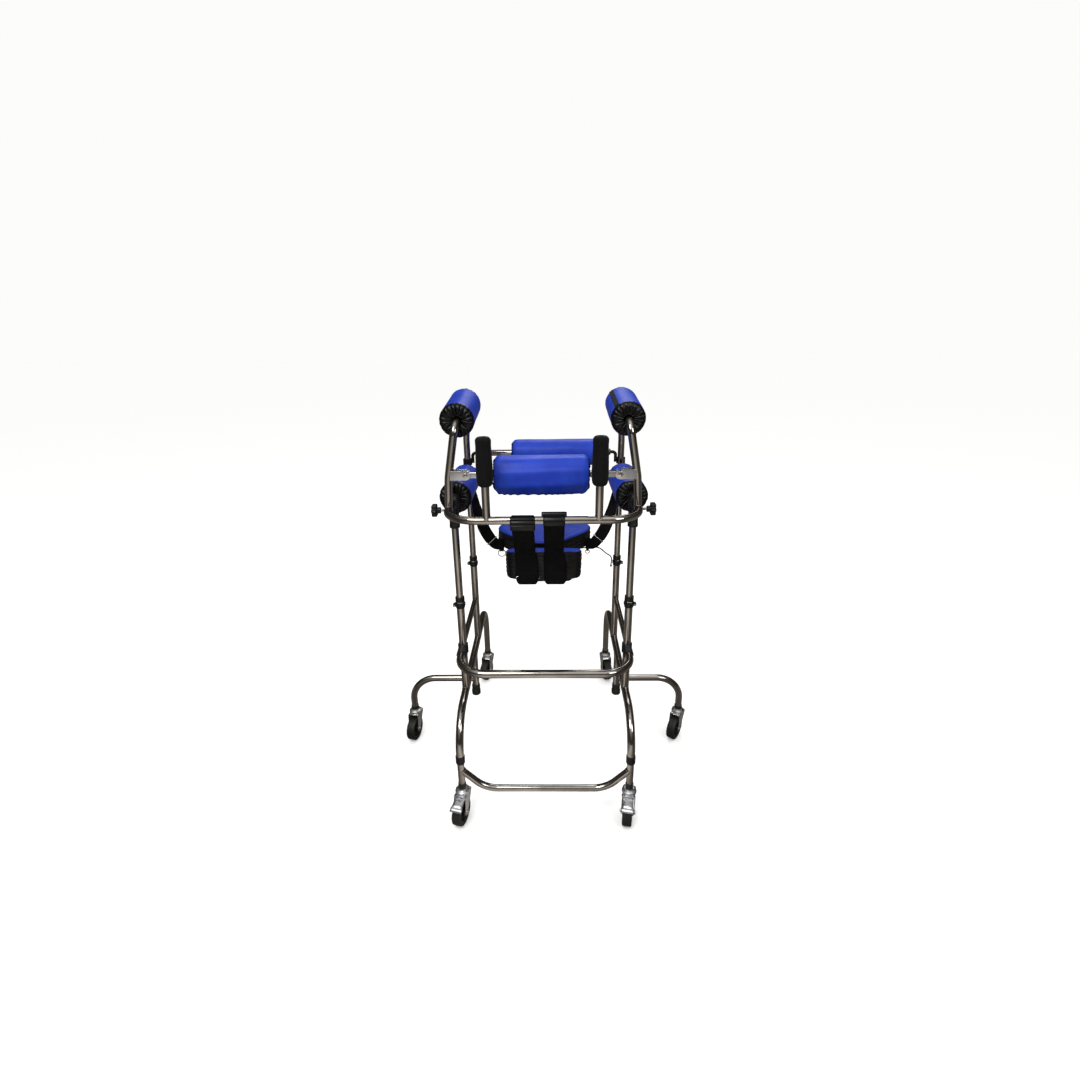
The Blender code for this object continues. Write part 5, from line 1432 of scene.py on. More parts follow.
    def pedal(self) -> None:
        """The bent brake pedal: pivot sleeve, raised step and a flared lip."""
        length, half = 0.052, 0.0165
        rows = []
        for i in range(27):
            run = 0.0035 + (length - 0.0035) * i / 26
            share = run / length
            flare = half + 0.0022 * max(0.0, min(1.0, (share - 0.62) / 0.16))
            lip = -0.0045 * max(0.0, (share - 0.84) / 0.16) ** 2
            crown = 0.0016 * max(0.0, min(1.0, (share - 0.30) / 0.05, (0.72 - share) / 0.05))
            row = []
            for j in range(13):
                t = j / 6 - 1
                step = crown * max(0.0, min(1.0, (0.72 - abs(t)) / 0.12))
                edge = -0.0012 * max(0.0, (abs(t) - 0.86) / 0.14) ** 2
                row.append(Vector((flare * t, -run, lip + step + edge)))
            rows.append(row)
        pivot = self.matrix @ at(0, self.pin_y, self.pin_z)
        sloped = pivot @ spun(math.radians(18), "X")
        piece = Piece(f"brake_pedal_{self.place}").add(sheet_metal(rows, 0.0018, 0.0005), ZINC, sloped)
        sleeve = [(0.0027, -half), (0.0048, -half), (0.0048, half), (0.0027, half)]
        piece.add(lathe(sleeve, 32, ring=True), ZINC, pivot @ spun(math.pi / 2, "Y"))
        for k in range(4):
            run = [(0.010 * t / 6, -0.020 - 0.0045 * k, 0.0030) for t in range(-6, 7)]
            piece.row(run, [(0, 0, 1)] * 13, 0.0016, (0.0024, 0.0014, 0.0012), ZINC, matrix=sloped)
        piece.done(f"brake_{self.place}")


def casters() -> list[Caster]:
    """List the six casters with their places and rest turns.

    Returns:
        The casters.
    """
    places = {
        "front_left": (-TRACK, FRONT_LEG_Y, -15.0),
        "front_right": (TRACK, FRONT_LEG_Y, -12.0),
        "rear_left": (-TRACK, REAR_LEG_Y, -18.0),
        "rear_right": (TRACK, REAR_LEG_Y, 12.0),
        "outer_left": (-OUTRIGGER_REACH, OUTRIGGER_Y, -12.0),
        "outer_right": (OUTRIGGER_REACH, OUTRIGGER_Y, -35.0),
    }
    return [Caster(name, *place) for name, place in places.items()]


# Upper frame


def crutch_corners(sign: int) -> list[tuple[float, float, float]]:
    """Lay out an underarm tube, from inside the rear post to its foot on the arm rail.

    Args:
        sign: Minus one on the left.

    Returns:
        Its corner points.
    """
    rear = [(TRACK, POST_TOP_Z - INNER_LAP), *CRUTCH_REAR]
    front = [CRUTCH_NEAR, CRUTCH_KNEE, (TRACK, ARM_RAIL_Z + INNER / 3)]
    corners = [(sign * x, POST_SPAN, z) for x, z in rear]
    return corners + [(sign * x, CRUTCH_FOOT_Y, z) for x, z in front]


@dataclass
class UpperSide:
    """One side of the telescoping upper frame.

    Attributes:
        side: Left or right.
        sign: Minus one on the left.
        sleeve_z: Bottom of the corner fitting's sleeve.
        knob_z: Height of the star knob.
        grip_z: Bottom of the grip's foam.
    """

    side: str
    sign: int
    sleeve_z: float = 0.931
    knob_z: float = 0.985
    grip_z: float = 1.105

    @property
    def x(self) -> float:
        """Distance of the side from the midline."""
        return self.sign * TRACK

    def build(self) -> None:
        """Build the whole side."""
        self.underarm_tube()
        self.inner_tube()
        self.corner_fitting()
        self.star_knob()
        self.grip()

    def underarm_tube(self) -> None:
        """The bent underarm tube with the bracket that takes the chest bar's end."""
        path = rounded_path(crutch_corners(self.sign), CRUTCH_BENDS, 20)
        piece = Piece(f"crutch_tube_{self.side}").bar(path, INNER, STEEL)
        piece.weld((self.x, CRUTCH_FOOT_Y, ARM_RAIL_Z), (0, 0, 1), (0, 1, 0), INNER, INNER)
        piece.weld((self.x, POST_SPAN, ARM_RAIL_Z), (0, -1, 0), (0, 0, 1), INNER, INNER)
        self.bracket(piece)
        piece.done("upper")

    def bracket(self, piece: Piece) -> None:
        """Add two sheet ears and a web; the right pair of ears has an open mouth.

        Args:
            piece: The underarm tube that they are welded to.
        """
        share = (CHEST_BAR_Z - CRUTCH_KNEE[1]) / (CRUTCH_NEAR[1] - CRUTCH_KNEE[1])
        edge = CRUTCH_KNEE[0] + (CRUTCH_NEAR[0] - CRUTCH_KNEE[0]) * share - 0.004
        half, hole, mouth, start = 0.0135, 0.0045, [], 90
        if self.sign > 0:
            mouth = [(CHEST_BOLT_X + hole, half), *arc((CHEST_BOLT_X, 0), hole, 0, -180, 10)]
            mouth += [(CHEST_BOLT_X - hole, half - 0.0010)]
            start = 112
        outline = [(edge, -half), (edge, half), *mouth, *arc((CHEST_BOLT_X, 0), half, start, 270, 16)]
        outline = [(self.sign * x, y) for x, y in outline]
        upright = at(0, CRUTCH_FOOT_Y, CHEST_BAR_Z) @ Matrix(((1, 0, 0), (0, 0, 1), (0, 1, 0))).to_4x4()
        for low in (-0.0108, 0.0088):
            piece.add(plate(outline, low, low + 0.0020, 0.0004), ZINC, upright)
        near, far = sorted((self.sign * 0.2312, self.sign * 0.2336))
        low = (near, CRUTCH_FOOT_Y - 0.0092, CHEST_BAR_Z - half + 0.0006)
        high = (far, CRUTCH_FOOT_Y + 0.0092, CHEST_BAR_Z + half - 0.0006)
        piece.add(block(low, high, 0.0004), ZINC)
        for y in (-0.0100, 0.0100):
            run = []
            for k in range(21):
                x, rise = self.sign * (edge - 0.0002 * k / 20), half * (k / 10 - 1)
                run.append((x, CRUTCH_FOOT_Y + y, CHEST_BAR_Z + rise))
            piece.row(run, [(0, y, 0)] * 21, RIPPLE, (0.0030, 0.0030, 0.0020), WELD)

    def inner_tube(self) -> None:
        """The front post's inner tube."""
        tube = rod(INNER, (self.x, 0, POST_TOP_Z - INNER_LAP), (self.x, 0, ARM_RAIL_Z - INNER - 0.0003))
        Piece(f"front_inner_tube_{self.side}").add(tube, STEEL).done("upper")

    def corner_fitting(self) -> None:
        """The black tee on top of the front post: sleeve, saddle round the arm rail, boss for the knob."""
        x, half = self.x, 0.028
        piece = Piece(f"corner_fitting_{self.side}")
        sleeve = [(0.0113, 0.0), (0.0138, 0.0), (0.0156, 0.0012), (0.0156, 0.0100), (0.0150, 0.0108)]
        sleeve += [(0.0150, 0.0640), (0.0113, 0.0680)]
        piece.add(lathe(sleeve, ring=True), PLASTIC, at(x, 0, self.sleeve_z))
        saddle = [(0.0113, half), (0.0150, half), (0.0165, half - 0.0015), (0.0165, half - 0.0070)]
        saddle += [(0.0158, half - 0.0076), (0.0158, half - 0.0092), (0.0165, half - 0.0098)]
        wrap = lathe(mirrored(saddle, [(0.0165, 0.0)]), ring=True)
        piece.add(wrap, PLASTIC, aim((x, 0, ARM_RAIL_Z), (0, 1, 0)))
        boss = [(0.0042, 0.0120), (0.0042, 0.0255), (0.0088, 0.0255), (0.0098, 0.0245), (0.0100, 0.0120)]
        piece.add(lathe(boss, 32, ring=True), PLASTIC, aim((x, 0, self.knob_z), (self.sign, 0, 0)))
        turn = at(x, 0, ARM_RAIL_Z) @ spun(0 if self.sign > 0 else math.pi, "Z")
        for y in (-0.0012, 0.0012):
            rib = block((-0.0160, y - 0.0009, -0.0300), (-0.0130, y + 0.0009, -0.0020), 0.0004)
            piece.add(rib, PLASTIC, turn)
        piece.done("upper")

    def star_knob(self) -> None:
        """The six-lobed knob on its steel stud."""
        turn = aim((self.sign * (TRACK + 0.0158), 0, self.knob_z), (self.sign, 0, 0))
        section = [(0.40, 0.0337), (0.93, 0.0337), (1.0, 0.0350), (1.0, 0.0455), (0.96, 0.0478)]
        section += [(0.88, 0.0487), (0.62, 0.0487), (0.56, 0.0478), (0.50, 0.0478)]
        count, lobes, rows = 96, 6, []
        for share, z in section:
            row = []
            for i in range(count):
                angle = 2 * math.pi * i / count
                wave = 1 - math.cos(lobes * angle)
                radius = share * (0.0200 - 0.0028 * wave * min(1.0, share + 0.1))
                row.append((radius * math.cos(angle), radius * math.sin(angle), z))
            rows.append(row)
        piece = Piece(f"knob_{self.side}").add(skin(rows, closed=True, capped=True), PLASTIC, turn)
        hub = [(0.0, 0.0227), (0.0084, 0.0227), (0.0095, 0.0240), (0.0095, 0.0320)]
        piece.add(lathe([*hub, (0.0110, 0.0345), (0.0, 0.0345)]), PLASTIC, turn)
        thread = [(0.0, 0.0), (0.0030, 0.0)]
        for k in range(22):
            thread += [(0.0033, 0.0008 + 0.0010 * k), (0.0039, 0.0013 + 0.0010 * k)]
        thread += [(0.0036, 0.0240), (0.0, 0.0240)]
        piece.add(lathe(thread, 32), ZINC, turn)
        piece.done(f"knob_{self.side}_body")

    def grip(self) -> None:
        """The foam grip: slight waist below its cap, drawn-in foot, dimple on top."""
        top = 0.127
        dimple = [(0.0, 0.0040), (0.0040, 0.0040), (0.0060, 0.0018), (0.0108, 0.0010), (0.0125, 0.0002)]
        cap = [(0.0142, 0.0002), (0.0160, 0.0012), (0.0182, 0.0034), (0.0187, 0.0048), (0.0199, 0.0058)]
        waist = [(0.0204, 0.0100), (0.0203, 0.0160), (0.0199, 0.0230), (0.0203, 0.0330), (0.0211, 0.0500)]
        profile = [(radius, top - depth) for radius, depth in (*dimple, *cap, *waist, (0.0217, 0.0700))]
        profile += [(0.0219, 0.0400), (0.0218, 0.0240), (0.0213, 0.0140), (0.0200, 0.0070), (0.0175, 0.0025)]
        profile += [(0.0150, 0.0004), (0.0109, 0.0), (0.0109, 0.0120)]
        profile += [(0.0109, top - 0.0087), (0.0, top - 0.0087)]
        place = at(self.sign * GRIP_X, ARM_FRONT_Y, self.grip_z)
        Piece(f"grip_{self.side}").add(lathe(profile, 64), FOAM, place).done("upper")


@dataclass
class UpperBars:
    """The bars between the two sides of the upper frame.

    Attributes:
        grip_top_z: Top of the grip posts.
        grip_radius: Their radius.
        bar_radius: Radius of the back bar.
        drop: How far its arms reach down.
        clip_half: Half the height of the ring and the clip.
    """

    grip_top_z: float = 1.2228
    grip_radius: float = 0.0106
    bar_radius: float = 0.0105
    drop: float = 0.030
    clip_half: float = 0.011

    def arm_rail(self) -> None:
        """The U rail with the two grip posts and their weld beads."""
        front, rear, z = ARM_FRONT_Y, POST_SPAN - 0.0105, ARM_RAIL_Z
        corners = [(-TRACK, rear, z), (-TRACK, front, z), (TRACK, front, z), (TRACK, rear, z)]
        piece = Piece("arm_rail").bar(rounded_path(corners, [0.090, 0.090], 24), INNER, STEEL)
        for sign in SIDES.values():
            x = sign * GRIP_X
            piece.add(rod(self.grip_radius, (x, front, z), (x, front, self.grip_top_z)), STEEL)
            piece.weld((x, front, z), (0, 0, 1), (1, 0, 0), self.grip_radius, INNER)
        piece.done("upper")

    def chest_bar(self) -> None:
        """The square bar with its two bolts."""
        y, z, half = CRUTCH_FOOT_Y, CHEST_BAR_Z, 0.0085
        end = CHEST_BOLT_X + 0.0105
        corners = [(-half, -half), (half, -half), (half, half), (-half, half)]
        piece = Piece("chest_bar").add(plate(corners, -end, end, 0.0018), ZINC, aim((0, y, z), (1, 0, 0)))
        for sign in (-1, 1):
            x = sign * CHEST_BOLT_X
            piece.add(rod(0.004, (x, y - 0.0150, z), (x, y + 0.0150, z)), ZINC)
            for way in (-1, 1):
                place = aim((x, y + way * 0.0111, z), (0, way, 0))
                piece.add(fastener(0.0070, 0.0044, place, way < 0), NICKEL)
        piece.done("chest_gate")

    def back_bar(self) -> None:
        """The bar behind the user: bent black arms reach down to a ring on the left tube and a clip."""
        z, half = BACK_BAR_Z, self.clip_half
        inside, elbow = TRACK - 0.040, TRACK - 0.0185
        piece = Piece("back_bar")
        piece.add(rod(self.bar_radius, (-inside, POST_SPAN, z), (inside, POST_SPAN, z)), STEEL)
        plug = [(0.0, -0.0020), (0.0098, -0.0020), (0.0110, -0.0006), (0.0110, 0.0022), (0.0090, 0.0034)]
        plug += [(0.0056, 0.0040), (0.0, 0.0040)]
        for sign in (-1, 1):
            corners = [(sign * (inside - 0.006), POST_SPAN, z), (sign * elbow, POST_SPAN, z)]
            corners += [(sign * elbow, POST_SPAN, z - self.drop - 0.004)]
            piece.bar(rounded_path(corners, [0.011], 12), 0.0055, PLASTIC, 32)
            piece.add(lathe(plug), PLASTIC, aim((sign * inside, POST_SPAN, z), (sign, 0, 0)))
        rim = [(0.0115, half), (0.0146, half), (0.0155, half - 0.0010)]
        ring = lathe(mirrored(rim, [(0.0155, 0.0)]), ring=True)
        piece.add(ring, PLASTIC, at(-TRACK, POST_SPAN, z - self.drop))
        clip = plate(self.clip_outline(), -half, half, 0.0008)
        piece.add(clip, PLASTIC, at(TRACK, POST_SPAN, z - self.drop))
        piece.done("back_gate")

    def clip_outline(self) -> list[tuple[float, float]]:
        """Lay out the clip round the right rear tube, open to the front.

        Returns:
            Its outline from above.
        """
        bore, rim, lip = 0.0115, 0.0155, 0.001
        first = -math.degrees(math.asin(lip / bore))
        inside = arc((0, 0), bore, first, 180 - first, 40)
        outside = arc((0, 0), rim, 180 - first, first, 40)
        return [*inside, (-rim, -lip), *outside[1:-1], (rim, -lip)]


# Upholstery

SEAT_TOP_Z = 0.842
SEAT_LOW_Z = 0.786
BASE_TOP_Z = 0.7842
BASE_LOW_Z = 0.7742
NOSE_FRONT_Y = -0.068
# Two plies of webbing
STRAP = 0.003
# Gap between a strap and what it lies on
LAY = 0.0003


@dataclass
class SoftJob:
    """A cushion form that waits for the cloth simulation.

    Attributes:
        form: Closed mesh, slightly smaller than the finished cover.
        held: Tells whether a point of it is sewn fast.
        cap: How far a point may move.
    """

    form: Mesh
    held: Callable[[Vector], bool]
    cap: float


@dataclass
class Upholsterer:
    """Runs the cloth simulation of all cushions at once.

    Attributes:
        frames: Length of the simulation.
        voxel: Size of the remesh.
    """

    frames: int = 20
    voxel: float = 0.005

    def swell(self, jobs: dict[str, SoftJob]) -> dict[str, Mesh]:
        """Blow the forms up as stuffed covers.

        Args:
            jobs: The forms by name.

        Returns:
            The swollen and once subdivided meshes by name.
        """
        scene = bpy.context.scene
        covers, starts = {}, {}
        for name, job in jobs.items():
            mesh = modified(job.form, ("REMESH", {"mode": "VOXEL", "voxel_size": self.voxel}))
            cover = bpy.data.objects.new(name, mesh)
            scene.collection.objects.link(cover)
            group = cover.vertex_groups.new(name="held")
            group.add([v.index for v in mesh.vertices if job.held(v.co)], 1.0, "REPLACE")
            starts[name] = [v.co.copy() for v in mesh.vertices]
            self.prepare(cover)
            covers[name] = cover
        for number in range(1, self.frames + 1):
            scene.frame_set(number)
        return {name: self.settled(cover, starts[name], jobs[name].cap) for name, cover in covers.items()}

    def prepare(self, cover: bpy.types.Object) -> None:
        """Give a cover its cloth settings.

        Args:
            cover: The cover.
        """
        cloth = cover.modifiers.new("cloth", "CLOTH")
        settings = cloth.settings
        settings.quality = 5
        settings.mass = 0.3
        settings.tension_stiffness = 25
        settings.compression_stiffness = 25
        settings.bending_stiffness = 0.4
        settings.use_pressure = True
        settings.uniform_pressure_force = 4.0
        settings.effector_weights.gravity = 0.0
        settings.vertex_group_mass = "held"
        cloth.collision_settings.use_collision = False
        cloth.point_cache.frame_start = 1
        cloth.point_cache.frame_end = self.frames

    def settled(self, cover: bpy.types.Object, start: Sequence[Vector], cap: float) -> Mesh:
        """Take the simulated mesh.

        Args:
            cover: The simulated cover.
            start: Its points before the simulation.
            cap: How far a point may move.

        Returns:
            The mesh with its travel capped, subdivided once.
        """
        mesh = taken(cover)
        for vertex, rest in zip(mesh.vertices, start):
            move = vertex.co - rest
            if move.length > cap:
                vertex.co = rest + move * (cap / move.length)
        bpy.context.scene.frame_set(1)
        return modified(mesh, ("SUBSURF", {"levels": 1, "render_levels": 1}))


@dataclass
class RoundPad:
    """A round pad on a bar: stuffed blue cover, black gathered ends and a hook-and-loop strip along it.

    Attributes:
        node: CAD node that it replaces, and the piece's name.
        body: CAD body that it rides on.
        radius: Radius of the finished pad.
        length: Length of the finished pad.
        bore: Radius of the hole for its bar.
        matrix: Places local Z along the bar, with the origin at the pad's middle.
        strip: Angle of the closing strip in degrees.
        pucker: Angle of the puckered seam in degrees.
        seed: Seed of its folds.
        pull: How hard the puckered seam pulls, from nought to one.
        gather: Angle in degrees over the rim from which the black end starts.
        sag: How far its underside hangs, for a pad whose local X points down.
        pleats: Number of pleats in each end.
        strip_wide: Width of the closing strip.
    """

    node: str
    body: str
    radius: float
    length: float
    bore: float
    matrix: Matrix
    strip: float
    pucker: float
    seed: int
    pull: float = 0.0
    gather: float = 14.0
    sag: float = 0.0
    pleats: int = 20
    strip_wide: float = 0.014

    def job(self) -> SoftJob:
        """Make the form to be stuffed: the pad's shape, 2 mm smaller.

        Returns:
            The form, held at its hole and ends.
        """
        radius, half = self.radius - 0.0010, self.length / 2 - 0.0020
        profile = [(self.bore, half - 0.005), (self.bore + 0.006, half - 0.004)]
        profile += [(radius - 0.016, half - 0.0005), (radius - 0.008, half - 0.0015)]
        profile += [(radius - 0.0025, half - 0.0060), (radius, half - 0.014)]
        profile += [(radius, half * (1 - k / 6)) for k in range(1, 6)]
        inner = self.bore + 0.003

        def held(co: Vector) -> bool:
            """Tell whether a point is sewn fast."""
            return math.hypot(co.x, co.y) < inner or abs(co.z) > half - 0.004

        return SoftJob(lathe(mirrored(profile), 48, ring=True), held, 0.0030)

    def build(self, cover: Mesh) -> None:
        """Dress the stuffed cover.

        Args:
            cover: Its simulated mesh in the pad's own frame.
        """
        self.shape_folds(cover)
        points, faces = [v.co.copy() for v in cover.vertices], [p.vertices[:] for p in cover.polygons]
        tree = BVHTree.FromPolygons(points, faces)
        core, end = self.radius - 0.010, self.length / 2 - 0.020
        blue, hidden = parted(cover, lambda co: math.hypot(co.x, co.y) > core or abs(co.z) < end)
        piece = Piece(self.node).add(round_uv(blue, self.radius), BLUE, self.matrix)
        piece.add(round_uv(hidden, self.radius), LINING, self.matrix)
        dice = random.Random(self.seed)
        for way in (-1, 1):
            piece.add(self.gathered_end(tree, way, dice), LINING, self.matrix)
        self.closing_strip(piece, tree)
        piece.done(self.body, angle=50.0, turn=False)

    def shape_folds(self, cover: Mesh) -> None:
        """Press slight facets into the cover, soft dents, and puckers along its seam.

        Args:
            cover: The cover, changed in place.
        """
        half = self.length / 2
        seam = math.radians(self.pucker)
        for vertex in cover.vertices:
            co = vertex.co
            reach = math.hypot(co.x, co.y)
            if reach < self.radius - 0.012:
                continue
            angle = math.atan2(co.y, co.x)
            near_end = math.exp(-((half - abs(co.z)) / 0.012) ** 2)
            wave = math.sin(17 * angle + 1.7 * math.sin(3 * angle + self.seed))
            turned = 9 * angle + self.seed + 0.8 * math.sin(co.z * 16)
            facet = (0.0001 + 0.0008 * self.pull) * math.cos(turned)
            belly = self.sag * max(0.0, math.cos(angle)) ** 2 * (1 - (co.z / half) ** 4)
            off = math.remainder(angle - seam, 2 * math.pi) * self.radius
            near_seam = self.pull * math.exp(-((off / 0.011) ** 2))
            tuck = math.sin(co.z * 2 * math.pi / 0.021 + 2.4 * math.sin(co.z * 43 + self.seed))
            soft = noise.noise(Vector((angle * 1.2, co.z * 14, self.seed)))
            move = 0.0003 * near_end * wave + near_seam * (0.0017 * tuck - 0.0004)
            move += facet + belly + 0.0010 * soft
            co.x += co.x / reach * move
            co.y += co.y / reach * move

    def hit(
        self, tree: BVHTree, angle: float, reach: float, height: float, lift: float
    ) -> tuple[Vector, Vector]:
        """Find the cover's surface from outside.

        Args:
            tree: Search tree of the cover.
            angle: Angle round the pad.
            reach: Radius of the point that is aimed at.
            height: Height of the point that is aimed at.
            lift: Angle of the ray above the radial direction; its sign is the pad's end.

        Returns:
            The point on the cover and the direction that the ray came from.
        """
        level = math.cos(lift)
        out = Vector((math.cos(angle) * level, math.sin(angle) * level, math.sin(lift)))
        aimed = Vector((reach * math.cos(angle), reach * math.sin(angle), height))
        place, _, _, _ = tree.ray_cast(aimed + out * 0.2, -out)
        return (place if place is not None else aimed + out * 0.018), out

    def gathered_end(self, tree: BVHTree, way: int, dice: random.Random) -> Mesh:
        """Make the black end, gathered in pleats round the bar.

        Args:
            tree: Search tree of the cover.
            way: Which end of the pad.
            dice: Random numbers of the pleats.

        Returns:
            A thin closed mesh in the pad's own frame.
        """
        pleats, rings, parts = self.pleats, 18, 10
        over_rim, high = 0.26, 0.0042
        count = pleats * parts
        depth = [dice.uniform(0.25, 1.0) for _ in range(pleats)]
        drift = [dice.uniform(-0.8, 0.8) for _ in range(pleats)]
        half, core = self.length / 2, self.radius - 0.018
        rows = []
        for r in range(rings + 1):
            t = r / rings
            row = []
            for i in range(count):
                pleat, part = divmod(i, parts)
                part /= parts
                bend = drift[pleat] * 2 * math.pi / pleats * t * math.sin(math.pi * part)
                angle = 2 * math.pi * i / count + bend
                lift = math.radians(self.gather + (90 - self.gather) * min(1.0, t / over_rim))
                inwards = max(0.0, (t - over_rim) / (1 - over_rim))
                reach = core + (self.bore + 0.0022 - core) * inwards
                place, out = self.hit(tree, angle, reach, way * (half - 0.018), way * lift)
                fold = math.sin(math.pi * part) ** 0.8 * depth[pleat]
                rise = min(1.0, t / 0.20) * (high - 0.0018 * max(0.0, (t - 0.8) / 0.2))
                row.append(place + out * (0.0002 + min(1.0, t / 0.06) * 0.0007 + fold * rise))
            rows.append(row)
        wall = {"thickness": 0.0008, "offset": -1.0 if way > 0 else 1.0}
        return box_uv(modified(skin(rows, closed=True), ("SOLIDIFY", wall)))

    def closing_strip(self, piece: Piece, tree: BVHTree) -> None:
        """Add the hook-and-loop strip along the cover, sewn down on both edges.

        Args:
            piece: The pad's piece.
            tree: Search tree of the cover.
        """
        half, middle = self.length / 2 - 0.006, math.radians(self.strip)
        rows, steps = [], 48
        for i in range(steps + 1):
            z = -half + 2 * half * i / steps
            row = []
            for j in range(-3, 4):
                angle = middle + self.strip_wide / self.radius * j / 6
                place, out = self.hit(tree, angle, 0.02, z, 0.0)
                row.append(place + out * 0.0011)
            rows.append(row)
        piece.add(sheet_metal(rows, 0.0014, 0.0003), TAPE, self.matrix)
        for side in (1, 5):
            path = [row[side] + (row[side].xy.normalized().to_3d()) * 0.0008 for row in rows]
            piece.stitches(path, [(p.x, p.y, 0.0) for p in path], matrix=self.matrix)


def round_pads() -> list[RoundPad]:
    """List the six round pads.

    Returns:
        The pads, each with its place on the frame.
    """
    pads = []
    arm_front, arm_length = 0.035, 0.255
    under_front, under_length = -0.042, 0.213
    for side, sign in SIDES.items():
        turn = aim((sign * TRACK, arm_front + arm_length / 2, ARM_RAIL_Z), (0, 1, 0))
        name = f"arm_pad_{side}"
        pads.append(RoundPad(name, "upper", 0.050, arm_length, 0.0113, turn, 270.0, 160.0, 3 + sign, 0.4))
        far, near = (Vector(corner) for corner in crutch_corners(sign)[2:4])
        run = (far - near).normalized()
        start = near + run * ((under_front - near.y) / run.y)
        turn = run.to_track_quat("Z", "X").to_matrix().to_4x4()
        turn = Matrix.Translation(start + run * under_length / 2) @ turn
        name, strip = f"underarm_pad_{side}", 318.0 if sign > 0 else 230.0
        pads.append(RoundPad(name, "upper", 0.049, under_length, 0.0113, turn, strip, 40.0, 6 + sign))
    across = spun(math.pi / 2, "Y")
    turn = at(-0.003, CRUTCH_FOOT_Y, CHEST_BAR_Z) @ across
    chest = RoundPad(
        "chest_pad", "chest_gate", 0.054, 0.261, 0.0124, turn, 110.0, -26.0, 11, 1.0, 62.0, 0.0045
    )
    turn = at(0.040, POST_SPAN, BACK_BAR_Z) @ across
    back = RoundPad("back_pad", "back_gate", 0.046, 0.300, 0.0108, turn, 70.0, -60.0, 13, 0.0, 62.0)
    return [*pads, chest, back]


